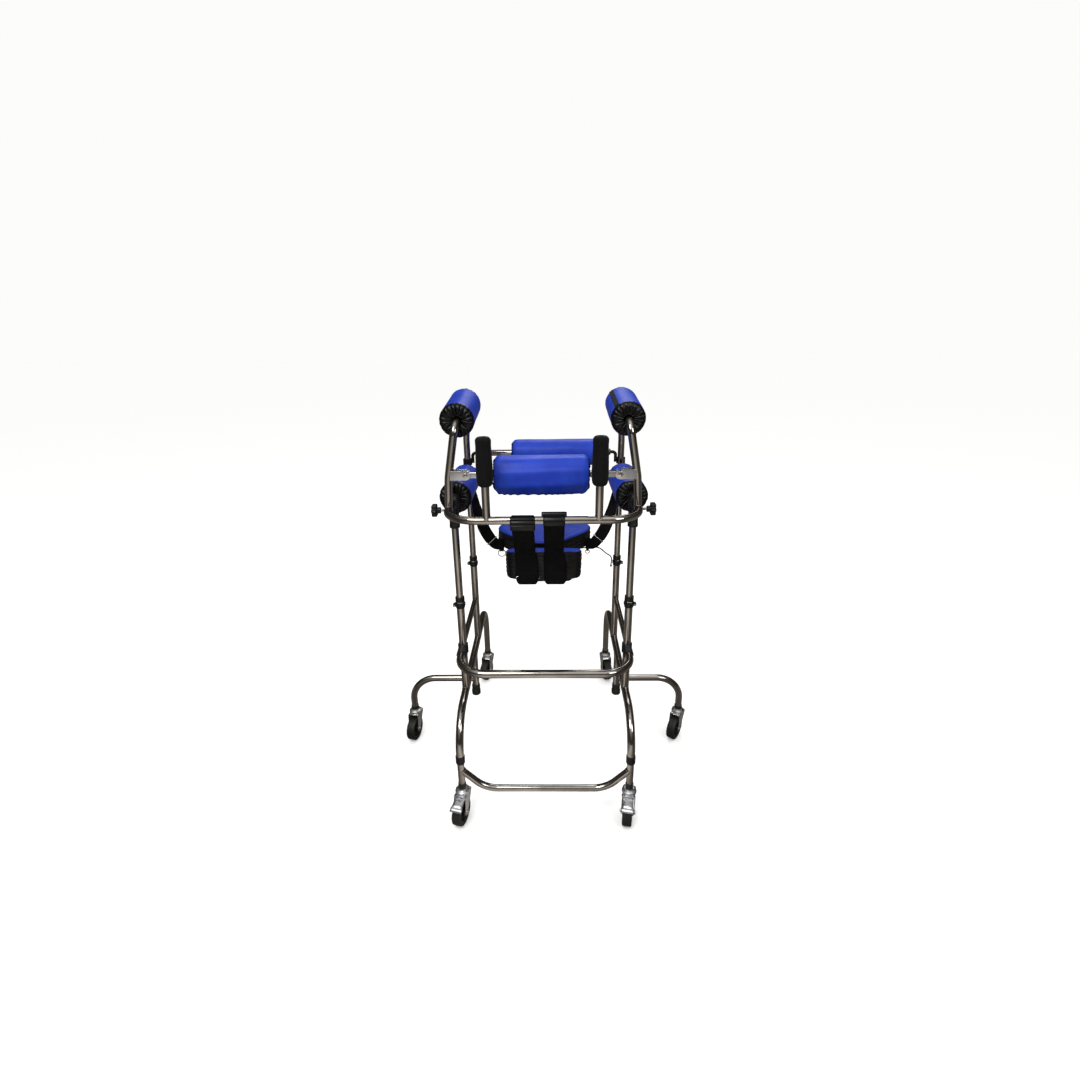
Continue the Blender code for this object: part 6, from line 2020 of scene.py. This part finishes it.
@dataclass
class Cushion:
    """A seat cushion: blue top panel, piped seam and a black gathered side.

    Attributes:
        node: CAD node that it replaces, and the piece's name.
        rows: Pairs of place along the walk and half width.
        low: Its underside.
        high: Its top at the front.
        seam_z: Height of the seam between top panel and side, at the front.
        seed: Seed of its folds.
        tilt: How much lower both are at the rear.
        shrink: How much smaller the form is than the cover.
    """

    node: str
    rows: Sequence[tuple[float, float]]
    low: float
    high: float
    seam_z: float
    seed: int
    tilt: float = 0.0
    shrink: float = 0.0025

    def fall(self, y: float) -> float:
        """How far the top lies below its front edge at a place along the walk."""
        first, last = self.rows[0][0], self.rows[-1][0]
        return self.tilt * (y - first) / (last - first)

    def job(self) -> SoftJob:
        """Make the form to be stuffed, from a coarse cage.

        Returns:
            The form, held at its underside.
        """
        wide, last = 3, len(self.rows) - 1
        points = []
        for i, (y, half) in enumerate(self.rows):
            y += self.shrink if i == 0 else -self.shrink if i == last else 0.0
            for column in (-1.0, 0.0, 1.0):
                x = column * (half - self.shrink)
                points += [(x, y, self.low + 0.0015), (x, y, self.high - self.shrink - self.fall(y))]

        def cage(row: int, column: int, top: int) -> int:
            """Index of a cage point."""
            return 2 * (row * wide + column) + top

        faces = []
        for row in range(last):
            for column in range(wide - 1):
                ring = [(row, column), (row, column + 1), (row + 1, column + 1), (row + 1, column)]
                faces += [[cage(*cell, 1) for cell in ring], [cage(*cell, 0) for cell in reversed(ring)]]
            for column in (0, wide - 1):
                cells = [(row, column, 0), (row, column, 1), (row + 1, column, 1), (row + 1, column, 0)]
                faces.append([cage(*cell) for cell in cells])
        for row in (0, last):
            for column in range(wide - 1):
                cells = [(row, column, 0), (row, column + 1, 0), (row, column + 1, 1), (row, column, 1)]
                faces.append([cage(*cell) for cell in cells])
        mesh = mesh_of(points, faces)
        crease = mesh.attributes.new("crease_edge", "FLOAT", "EDGE")
        for edge, slot in zip(mesh.edges, crease.data):
            cells = [divmod(vertex // 2, wide) for vertex in edge.vertices]
            level = len({vertex % 2 for vertex in edge.vertices}) == 1
            if level and all(row in (0, last) or column in (0, wide - 1) for row, column in cells):
                slot.value = 0.6
        mesh = modified(mesh, ("SUBSURF", {"levels": 3, "render_levels": 3}))
        return SoftJob(mesh, lambda co: co.z < self.low + 0.004, 0.0045)

    def build(self, cover: Mesh, board: Mesh | None = None) -> None:
        """Dress the stuffed cover.

        Args:
            cover: Its simulated mesh.
            board: The covered board that is sewn to it.
        """
        self.shape_folds(cover)
        loops = self.cut(cover)
        upper, lower = parted(cover, lambda co: co.z > self.seam_z - self.fall(co.y))
        piece = Piece(self.node).add(box_uv(upper), BLUE).add(box_uv(lower), LINING)
        for loop in loops:
            piece.bar(loop, 0.0014, LINING, 10, closed=True)
            middle = sum(loop, Vector()) / len(loop)
            below = [p + (p - middle).normalized() * 0.0006 + Vector((0, 0, -0.0042)) for p in loop]
            piece.stitches(below, [(p - middle) for p in loop], closed=True)
        if board:
            piece.add(board, LINING)
        piece.done("upper", angle=50.0, turn=False)

    def shape_folds(self, cover: Mesh) -> None:
        """Press level folds and gathers into the black side and slight hollows into the top.

        Args:
            cover: The cover, changed in place.
        """
        middle = sum(y for y, _ in self.rows) / len(self.rows)
        for vertex, normal in zip(cover.vertices, [v.normal.copy() for v in cover.vertices]):
            co = vertex.co
            side = max(0.0, 1 - abs(normal.z) * 1.6)
            around = math.atan2(co.y - middle, co.x)
            wide = noise.noise(Vector((around * 5, co.z * 22, self.seed)))
            fine = noise.noise(Vector((around * 3, co.z * 120, self.seed + 5)))
            top = noise.noise(Vector((co.x * 18, co.y * 18, self.seed + 9)))
            under = self.seam_z - self.fall(co.y) - co.z
            below = min(1.0, max(0.0, under / 0.010))
            level = math.sin(under * 2 * math.pi / 0.012 + 4.0 * wide) * (0.5 + wide)
            folds = 0.0022 * wide + 0.0014 * fine + 0.0011 * level
            co += normal * (side * below * folds + 0.0010 * top)

    def cut(self, cover: Mesh) -> list[list[Vector]]:
        """Cut the cover's faces along the seam.

        Args:
            cover: The mesh, changed in place.

        Returns:
            The seam's closed loops.
        """
        work = bmesh.new()
        work.from_mesh(cover)
        geometry = [*work.verts, *work.edges, *work.faces]
        through = (0, self.rows[0][0], self.seam_z)
        slope = self.tilt / (self.rows[-1][0] - self.rows[0][0])
        made = bmesh.ops.bisect_plane(work, geom=geometry, plane_co=through, plane_no=(0, slope, 1))
        edges = {e for e in made["geom_cut"] if isinstance(e, bmesh.types.BMEdge)}
        loops = []
        while edges:
            edge = min(edges, key=lambda e: e.index)
            edges.discard(edge)
            start, here = edge.verts
            loop = [start.co.copy(), here.co.copy()]
            while follow := next((e for e in here.link_edges if e in edges), None):
                edges.discard(follow)
                here = follow.other_vert(here)
                loop.append(here.co.copy())
            if len(loop) > 12:
                loops.append(self.evened(loop[:-1]))
        work.to_mesh(cover)
        work.free()
        return loops

    def evened(self, loop: list[Vector]) -> list[Vector]:
        """Space a loop's points at even steps of about 4 mm, and smooth it a little.

        Args:
            loop: Its points.

        Returns:
            The new points.
        """
        closed = [*loop, loop[0]]
        lengths = [0.0]
        for a, b in zip(closed, closed[1:]):
            lengths.append(lengths[-1] + (b - a).length)
        count = int(lengths[-1] / 0.004)
        result, index = [], 0
        for i in range(count):
            want = lengths[-1] * i / count
            while lengths[index + 1] < want:
                index += 1
            span = max(1e-9, lengths[index + 1] - lengths[index])
            result.append(closed[index].lerp(closed[index + 1], (want - lengths[index]) / span))
        return [(result[i - 1] + 2 * result[i] + result[(i + 1) % count]) / 4 for i in range(count)]


@dataclass
class Seat:
    """The hung saddle seat: two cushions on a board, front straps and side straps.

    Attributes:
        rear: The rear cushion.
        nose: The nose cushion.
    """

    rear: Cushion
    nose: Cushion

    @classmethod
    def laid_out(cls) -> "Seat":
        """Lay out the two cushions.

        Returns:
            The seat.
        """
        wide = ((0.098, 0.045), (0.150, 0.090), (0.215, 0.160), (0.275, 0.166), (0.330, 0.130))
        shares = ((0.0, 0.92), (0.25, 1.0), (0.75, 1.0), (1.0, 0.85))
        slim = [(NOSE_FRONT_Y + 0.106 * along, 0.116 * width) for along, width in shares]
        rear = Cushion("seat_cushion", wide, SEAT_LOW_Z - 0.004, SEAT_TOP_Z + 0.006, 0.8385, 21)
        return cls(rear, Cushion("seat_nose", slim, 0.7845, 0.8850, 0.8755, 22, 0.033))

    def build(self, covers: dict[str, Mesh]) -> None:
        """Build the seat round its stuffed covers.

        Args:
            covers: The simulated meshes by node name.
        """
        self.rear.build(covers[self.rear.node], self.board())
        self.nose.build(covers[self.nose.node])
        for side, x, narrow in (("left", -0.053, 0.060), ("right", 0.030, 0.056)):
            FrontStrap(side, x, narrow).build()
        for side, sign in SIDES.items():
            SideStrap(side, sign).build()

    def board(self) -> Mesh:
        """Make the covered board under both cushions.

        Returns:
            The mesh.
        """
        corner, outline = 0.020, []
        places = ((0.085, 0.290), (-0.085, 0.290), (-0.085, -0.050), (0.085, -0.050))
        for i, (x, y) in enumerate(places):
            centre = (x - math.copysign(corner, x), y - math.copysign(corner, y))
            outline += arc(centre, corner, 90 * i, 90 * i + 90, 8)
        return box_uv(plate(outline, BASE_LOW_Z, BASE_TOP_Z, 0.0025))


@dataclass
class FrontStrap:
    """A wide webbing strap from the arm rail down round the seat's nose.

    Attributes:
        side: Left or right.
        x: Its place across.
        narrow: Its width at the arm rail.
        wide: Its width over the nose.
        spread_z: Height from which it spreads.
        drawn_z: Height from which it is drawn in again.
    """

    side: str
    x: float
    narrow: float
    wide: float = 0.068
    spread_z: float = 0.885
    drawn_z: float = 0.798

    def route(self) -> list[Vector]:
        """Lay the strap from its sewn tail round the bar to the seat.

        Returns:
            Its middle line, at X nought.
        """
        bar = Vector((0, ARM_FRONT_Y, ARM_RAIL_Z))
        face = NOSE_FRONT_Y - LAY - STRAP / 2
        under = BASE_LOW_Z - LAY - STRAP / 2
        bow = Vector((0, face - 0.020, 0.893))
        fall = (bow - bar).normalized()
        outward = Vector((0, fall.z, -fall.y))
        loop = INNER + LAY + STRAP / 2
        tail = bar + outward * (loop - STRAP - 0.0006) + fall * 0.035
        leave = math.degrees(math.atan2(outward.z, outward.y))
        wrap = [Vector((0, y, z)) for y, z in arc(bar.yz, loop, leave - 220, leave, 22)]
        falling = [wrap[-1], bar + outward * loop + fall * 0.040, bow, (0, face - 0.001, 0.857)]
        falling += [(0, face, 0.825), (0, face, under + 0.012), (0, face + 0.0036, under + 0.0036)]
        low = smooth_route([*falling, (0, face + 0.012, under), (0, face + 0.060, under)], 6)
        return smooth_route([tail, tail.lerp(wrap[0], 0.5), wrap[0]], 3)[:-1] + wrap + low[1:]

    def build(self) -> None:
        """Build the strap with its stitches, rolls and hooks."""
        centres, acrosses = [], []
        for point in self.route():
            spread = min(1.0, max(0.0, (self.spread_z - point.z) / 0.045))
            drawn = min(1.0, max(0.0, (self.drawn_z - point.z) / 0.024))
            width = self.narrow + (self.wide - self.narrow) * spread - 0.016 * drawn * drawn
            centres.append(point + Vector((self.x + 0.004 * spread, 0, 0)))
            acrosses.append(Vector((width, 0, 0)))
        piece = Piece(f"front_strap_{self.side}").add(ribbon(centres, acrosses, STRAP), WEBBING)
        for height in (0.955, 0.948, 0.812):
            self.cross_stitch(piece, centres, height)
        if self.side == "left":
            self.roll(piece, -0.0035, -0.0075, 0.0200, 0.066, (25.6, -14.4))
            hooks = [(-0.080, 0.800, 0.7)]
        else:
            self.roll(piece, 0.0035, 0.0150, 0.0076, 0.067, ())
            self.roll(piece, 0.0, -0.001, 0.0150, 0.058, ())
            hooks = [(-0.013, 0.798, 1.2), (0.001, 0.788, -0.5)]
        for x, z, turn in hooks:
            run = Vector((math.cos(turn), 0, math.sin(turn))) * 0.0045
            middle = Vector((x, NOSE_FRONT_Y - 0.0055, z))
            path = [middle - run, middle - run * 0.4 + Vector((0, -0.002, 0)), middle + run]
            piece.bar(smooth_route(path, 5), 0.0013, NICKEL, 10)
        piece.done("upper", angle=60.0)

    def cross_stitch(self, piece: Piece, centres: Points, height: float) -> None:
        """Add a line of stitches across the strap.

        Args:
            piece: The strap's piece.
            centres: Its middle line.
            height: Where the line crosses its falling part.
        """
        low = ARM_RAIL_Z - 0.012
        a, b = [pair for pair in zip(centres, centres[1:]) if pair[0].z > height >= pair[1].z < low][-1]
        run = (b - a).normalized()
        front = Vector((0, run.z, -run.y))
        front = -front if front.y > 0 else front
        centre = a.lerp(b, (a.z - height) / (a.z - b.z)) + front * (STRAP / 2 + 0.0002)
        path = [centre + Vector(((self.narrow - 0.008) * (t / 12 - 0.5), 0, 0)) for t in range(13)]
        piece.stitches(path, [front] * 13)

    def roll(
        self, piece: Piece, aft: float, above: float, radius: float, width: float, creases: Sequence[float]
    ) -> None:
        """Add the strap's end wound round the bar in a soft roll, with full, rounded ends.

        Args:
            piece: The strap's piece.
            aft: How far behind the bar's axis the middle of the roll is.
            above: How far above it the middle is.
            radius: Its radius.
            width: Its width along the bar.
            creases: Angles in degrees of the creases between its turns, up from the front's slope.
        """
        count, front = 72, math.radians(159.5)
        ends = [(0.0, 0.80), (0.0006, 0.90), (0.0020, 0.965), (0.0045, 1.0)]
        ends = [(x - width / 2, share) for x, share in ends]
        rows = []
        for x, share in [*ends, *[(-x, share) for x, share in reversed(ends)]]:
            row = []
            for i in range(count):
                angle = 2 * math.pi * i / count
                off = math.degrees(math.remainder(front - angle, 2 * math.pi))
                dent = sum(math.exp(-(((off - crease) / 4.5) ** 2)) for crease in creases)
                reach = radius * share * (1 - 0.20 * dent)
                y, z = reach * math.cos(angle), reach * math.sin(angle)
                row.append((self.x + x, ARM_FRONT_Y + aft + y, ARM_RAIL_Z + above + z))
            rows.append(row)
        piece.add(box_uv(skin(rows, closed=True, capped=True)), LINING)


@dataclass
class SideStrap:
    """A side strap from the arm rail to the seat's edge, with its slide and its ring.

    Attributes:
        side: Left or right.
        sign: Minus one on the left.
        loop_y: Place of its loop along the walk.
        narrow: Its width where it is gathered round the rail.
        wide: Its full width.
        ring_x: Distance of the ring from the midline.
        ring_y: Its place along the walk.
        ring_z: Its height.
    """

    side: str
    sign: int
    loop_y: float = 0.307
    narrow: float = 0.026
    wide: float = 0.040
    ring_x: float = 0.147
    ring_y: float = 0.208
    ring_z: float = 0.7745

    def build(self) -> None:
        """Build the strap with its folded tail, slide, ring and stitches."""
        sign, across = self.sign, Vector((0, self.narrow, 0))
        loop = INNER + LAY + STRAP / 2
        round_rail = arc((0, ARM_RAIL_Z), loop, 200, 0, 20)
        wrap = [Vector((sign * (TRACK - dx), self.loop_y, z)) for dx, z in round_rail]
        top = Vector((sign * (TRACK - loop), self.loop_y, ARM_RAIL_Z - loop))
        low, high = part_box(f"side_strap_{self.side}")
        end = Vector(((low.x if sign > 0 else high.x) - ORIGIN.x, 0.205, SEAT_LOW_Z + 0.014))
        shares = ((0.94, 1.0, 0.745), (0.82, 0.74, 0.47), (0.58, 0.34, 0.20), (0.26, 0.06, 0.0))
        curve = [end + Vector([(a - b) * c for a, b, c in zip(top, end, share)]) for share in shares]
        fall = smooth_route([top, *curve, end], 8)
        acrosses = self.twist(fall)
        piece = Piece(f"side_strap_{self.side}")
        piece.add(ribbon(wrap + fall, [across] * len(wrap) + acrosses, STRAP), WEBBING)
        slide_at, ring_size = (29, 1.0) if self.side == "left" else (28, 0.55)
        self.slide(piece, fall, acrosses, slide_at)
        self.ring(piece, ring_size)
        tail = [top + (fall[6] - top) * (k / 8) + Vector((-sign * 0.0036, -0.001, 0)) for k in range(9)]
        piece.add(ribbon(tail, [across] * 9, 0.0016), WEBBING)
        for i in (4, 8):
            run = (fall[i + 1] - fall[i]).normalized()
            up = run.cross(acrosses[i]).normalized()
            for way in (-1, 1):
                path = [fall[i] + acrosses[i] * (0.8 * (t / 8 - 0.5)) + up * (way * 0.0018) for t in range(9)]
                piece.stitches(path, [up * way] * 9)
        piece.done("upper", angle=60.0)

    def twist(self, fall: Points, turn_steps: int = 24) -> list[Vector]:
        """Turn the strap's flat side forward below its loop.

        Args:
            fall: Its middle line below the loop.
            turn_steps: Points over which it turns.

        Returns:
            At each point the vector across the strap.
        """
        acrosses = []
        for i in range(len(fall)):
            run = fall[min(i + 1, len(fall) - 1)] - fall[max(i - 1, 0)]
            flat = run.cross(Vector((0, -1, 0))).normalized()
            flat = -flat if flat.z < 0 else flat
            run = run.normalized()
            start = (Vector((0, 1, 0)) - run * run.y).normalized()
            share = min(1.0, i / turn_steps)
            angle = share * math.pi / 2
            across = start * math.cos(angle) + flat * math.sin(angle)
            acrosses.append(across.normalized() * (self.narrow + (self.wide - self.narrow) * share))
        return acrosses

    def slide(self, piece: Piece, fall: Points, acrosses: Points, i: int) -> None:
        """Add a nickel slide bar across the strap, with the strap's end folded back over it.

        Args:
            piece: The strap's piece.
            fall: Its middle line below the loop.
            acrosses: At each point the vector across the strap.
            i: Number of the point below which the bar lies.
        """
        over, widths = [], []
        for k in range(i - 7, i + 1):
            across = acrosses[k]
            up = (fall[k + 1] - fall[k - 1]).cross(across).normalized()
            up = -up if up.y > 0 else up
            over.append(fall[k] + up * 0.0027)
            widths.append(across * 1.04)
        piece.add(ribbon(over, widths, 0.0018), WEBBING)
        middle, half, hook = fall[i + 1] + up * 0.0032, across * 0.53, up * 0.0030
        ends = [middle - half - hook, middle - half, middle + half, middle + half - hook]
        piece.bar(rounded_path(ends, [0.0020, 0.0020], 5), 0.0015, NICKEL, 12)

    def ring(self, piece: Piece, size: float) -> None:
        """Add a D ring in a short webbing tab under the seat's edge.

        Args:
            piece: The strap's piece.
            size: Its share of the full size.
        """
        x, y, low = self.sign * self.ring_x, self.ring_y, self.ring_z
        tab = [Vector((x, y, low + rise)) for rise in (0.018, 0.012, 0.006, 0.0, -0.004)]
        piece.add(ribbon(tab, [Vector((0.018 * size, 0, 0))] * 5, 0.003), WEBBING)
        half, deep = 0.0125 * size, -0.0142 * size
        outline = [(0.0, 0.0), (half, 0.0), (half * 0.92, deep), (0.0, -0.0232 * size), (-half * 0.92, deep)]
        loop = [Vector((x + a, y, low - 0.002 + z)) for a, z in (*outline, (-half, 0.0), (0.0, 0.0))]
        path = rounded_path(loop, [0.003, 0.006, 0.007, 0.006, 0.003], 6)[:-1]
        piece.bar(path, 0.0016, NICKEL, 14, closed=True)


@dataclass
class TieCord:
    """The thin cord sewn under the seat, run to the right rear collar, with its hanging tail and knot.

    Attributes:
        radius: Its radius.
    """

    radius: float = 0.0022

    def route(self) -> list[Vector]:
        """Lay out the cord as in the part's source.

        Returns:
            Its centre line.
        """
        clear = TRACK - 0.0168 - 0.002 - self.radius
        height = POST_TOP_Z + 0.018
        under = BASE_LOW_Z - LAY - self.radius
        points = [
            (0.020, 0.222, under),
            (0.075, 0.226, under),
            (0.150, 0.240, under - 0.002),
            (0.190, 0.270, 0.758),
            (0.222, 0.305, 0.722),
            (clear, POST_SPAN, height),
            (clear, POST_SPAN, height - 0.034),
        ]
        return smooth_route(points, 5)

    def build(self) -> None:
        route = self.route()
        cord = Piece("tie_cord").bar(route, self.radius, BRAID, 16).done("upper")
        knot = Piece("tie_cord_knot")
        circle = [Vector((*point, 0)) for point in arc((0, 0), 0.0026, 0, 345, 23)]
        for tilt, spin in ((0.5, 0.0), (-0.6, 1.3)):
            turn = Matrix.Rotation(spin, 3, "Z") @ Matrix.Rotation(tilt, 3, "X")
            knot.bar([turn @ point + route[-1] for point in circle], 0.0017, BRAID, 12, closed=True)
        end = knot.done("upper", node=False)


# Stage


@dataclass
class Stage:
    """Camera, pale floor and soft studio light.

    Attributes:
        place: Camera position in the design frame.
        pitch: Its tilt down in radians.
        yaw: Its turn in radians.
        roll: Its roll in radians.
        lens: Focal length on a 36 mm sensor.
        floor_half: Half the side of the floor.
        target: What the lamps face.
    """

    place: tuple[float, float, float] = (0.0180843, -1.5788935, 1.48061338)
    pitch: float = 0.35841
    yaw: float = 0.01856
    roll: float = -0.01305
    lens: float = 18.673
    floor_half: float = 30.0
    target: tuple[float, float, float] = (0.0, 0.1, 0.7)

    def build(self) -> None:
        """Build all of it."""
        bpy.context.scene.view_settings.view_transform = "Standard"
        self.camera()
        self.floor()
        self.world()
        self.lamp("key", (-1.0, -2.2, 3.4), 1.5, 60.0)
        self.lamp("fill", (2.0, -2.4, 2.6), 1.2, 25.0)
        self.lamp("back", (0.4, 2.2, 3.2), 1.6, 25.0)

    def camera(self) -> None:
        """The camera at the photograph's angle."""
        right = Vector((math.cos(self.yaw), math.sin(self.yaw), 0.0))
        ahead = Vector((-math.sin(self.yaw), math.cos(self.yaw), 0.0))
        up = Vector((0.0, 0.0, 1.0))
        view = ahead * math.cos(self.pitch) - up * math.sin(self.pitch)
        lifted = up * math.cos(self.pitch) + ahead * math.sin(self.pitch)
        side = right * math.cos(self.roll) + lifted * math.sin(self.roll)
        top = lifted * math.cos(self.roll) - right * math.sin(self.roll)
        data = bpy.data.cameras.new("camera")
        data.sensor_width = 36.0
        data.lens = self.lens
        data.clip_start = 0.05
        camera = bpy.data.objects.new("camera", data)
        turn = Matrix((side, top, -view)).transposed().to_4x4()
        camera.matrix_world = Matrix.Translation(Vector(self.place) + ORIGIN) @ turn
        bpy.context.scene.collection.objects.link(camera)
        bpy.context.scene.camera = camera

    def floor(self) -> None:
        """A wide floor, pale to the camera. To reflections and bounced light it shows a painted ramp instead,
        dark behind and at the sides and lighter straight in front: a painted reflection that gives the steel
        dark flanks and a bright middle, and painted shade that dims the light bounced up under the pads.
        """
        size = self.floor_half
        square = [(-size, -size, 0), (size, -size, 0), (size, size, 0), (-size, size, 0)]
        mesh = mesh_of(square, [(0, 1, 2, 3)])
        material = bpy.data.materials.new("pale_studio_floor")
        material.use_nodes = True
        tree = material.node_tree
        add = partial(add_node, tree)
        place = add("ShaderNodeTexCoord").outputs["Object"]
        way = add("ShaderNodeVectorMath", {"operation": "NORMALIZE"}, {0: place}).outputs[0]
        front = {"operation": "DOT_PRODUCT", 1: (-0.10, -0.995, 0.0)}
        toward = add("ShaderNodeVectorMath", front, {0: way}).outputs["Value"]
        # Painted reflection: what the metal sees of the floor, dark round the sides and behind and lighter
        # straight in front
        stops = {0.0: "#625E59", 0.60: "#403D3A", 0.82: "#716D68", 0.93: "#9C9791", 1.0: "#C2BDB7"}
        painted_reflection = self.ramp(tree, toward, stops)
        # Painted shade and reflection: only camera rays see the pale colour; reflections and bounced light
        # get the darker ramp
        seen = add("ShaderNodeLightPath").outputs["Is Camera Ray"]
        pale = {"data_type": "RGBA", 7: linear("#FFFFFE")}
        mixed = add("ShaderNodeMix", pale, {0: seen, 6: painted_reflection}).outputs[2]
        inputs = tree.nodes["Principled BSDF"].inputs
        tree.links.new(mixed, inputs["Base Color"])
        inputs["Roughness"].default_value = 0.85
        inputs["Specular IOR Level"].default_value = 0.0
        mesh.materials.append(material)
        obj = bpy.data.objects.new("floor", mesh)
        bpy.context.scene.collection.objects.link(obj)

    def ramp(self, tree: Tree, share: Socket, stops: dict[float, str]) -> Socket:
        """Add a colour ramp.

        Args:
            tree: Shader tree.
            share: Value that picks the colour.
            stops: sRGB hex values by their place on the ramp, from nought to one.

        Returns:
            The colour.
        """
        node = add_node(tree, "ShaderNodeValToRGB", None, {0: share})
        made = node.color_ramp.elements
        places = sorted(stops)
        for element, where in ((made[0], places[0]), (made[1], places[-1])):
            element.position, element.color = where, linear(stops[where])
        for where in places[1:-1]:
            made.new(where).color = linear(stops[where])
        return node.outputs[0]

    def world(self) -> None:
        """An even pale room, which the metal reflects with a lit ceiling in front and dim walls."""
        world = bpy.data.worlds.new("studio")
        world.use_nodes = True
        bpy.context.scene.world = world
        tree = world.node_tree
        tree.nodes.clear()
        add = partial(add_node, tree)
        way = add("ShaderNodeTexCoord").outputs["Generated"]
        panel = {"operation": "DOT_PRODUCT", 1: (-0.05, -0.38, 0.92)}
        toward = add("ShaderNodeVectorMath", panel, {0: way}).outputs["Value"]
        stops = {0.0: "#33302D", 0.55: "#4C4945", 0.78: "#8F8C88", 0.92: "#F0EEEC", 1.0: "#FFFDFC"}
        room = self.ramp(tree, toward, stops)
        gloss = add("ShaderNodeLightPath").outputs["Is Glossy Ray"]
        pale = {"data_type": "RGBA", 6: linear("#FCFCFB")}
        mix = add("ShaderNodeMix", pale, {0: gloss, 7: room}).outputs[2]
        shader = add("ShaderNodeBackground", {"Strength": 1.0}, {"Color": mix}).outputs[0]
        add("ShaderNodeOutputWorld", None, {0: shader})

    def lamp(self, name: str, place: Point, size: float, power: float) -> None:
        """Add a square soft light that faces the walker.

        Args:
            name: Its name.
            place: Where it hangs.
            size: Its side.
            power: Its power in watts.
        """
        data = bpy.data.lights.new(name, "AREA")
        data.size = size
        data.energy = power
        lamp = bpy.data.objects.new(name, data)
        lamp.matrix_world = aim(place, Vector(place) - Vector(self.target))
        bpy.context.scene.collection.objects.link(lamp)


def corners(box: tuple[Vector, Vector]) -> list[list[float]]:
    """A box's two corners as plain lists."""
    return [list(corner) for corner in box]


def main() -> None:
    """Build the scene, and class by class."""
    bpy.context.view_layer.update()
    Stage().build()
    TieCord().build()
    for side, sign in SIDES.items():
        SideFrame(side, sign).build()
    CrossBars().build()
    for caster in casters():
        caster.build()
    bars = UpperBars()
    bars.arm_rail()
    for side, sign in SIDES.items():
        UpperSide(side, sign).build()
    bars.chest_bar()
    bars.back_bar()
    pads = round_pads()
    seat = Seat.laid_out()
    covers = Upholsterer().swell({soft.node: soft.job() for soft in (*pads, seat.rear, seat.nose)})
    for pad in pads:
        pad.build(covers[pad.node])
    seat.build(covers)
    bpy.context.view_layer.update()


if __name__ == "__main__":
    main()
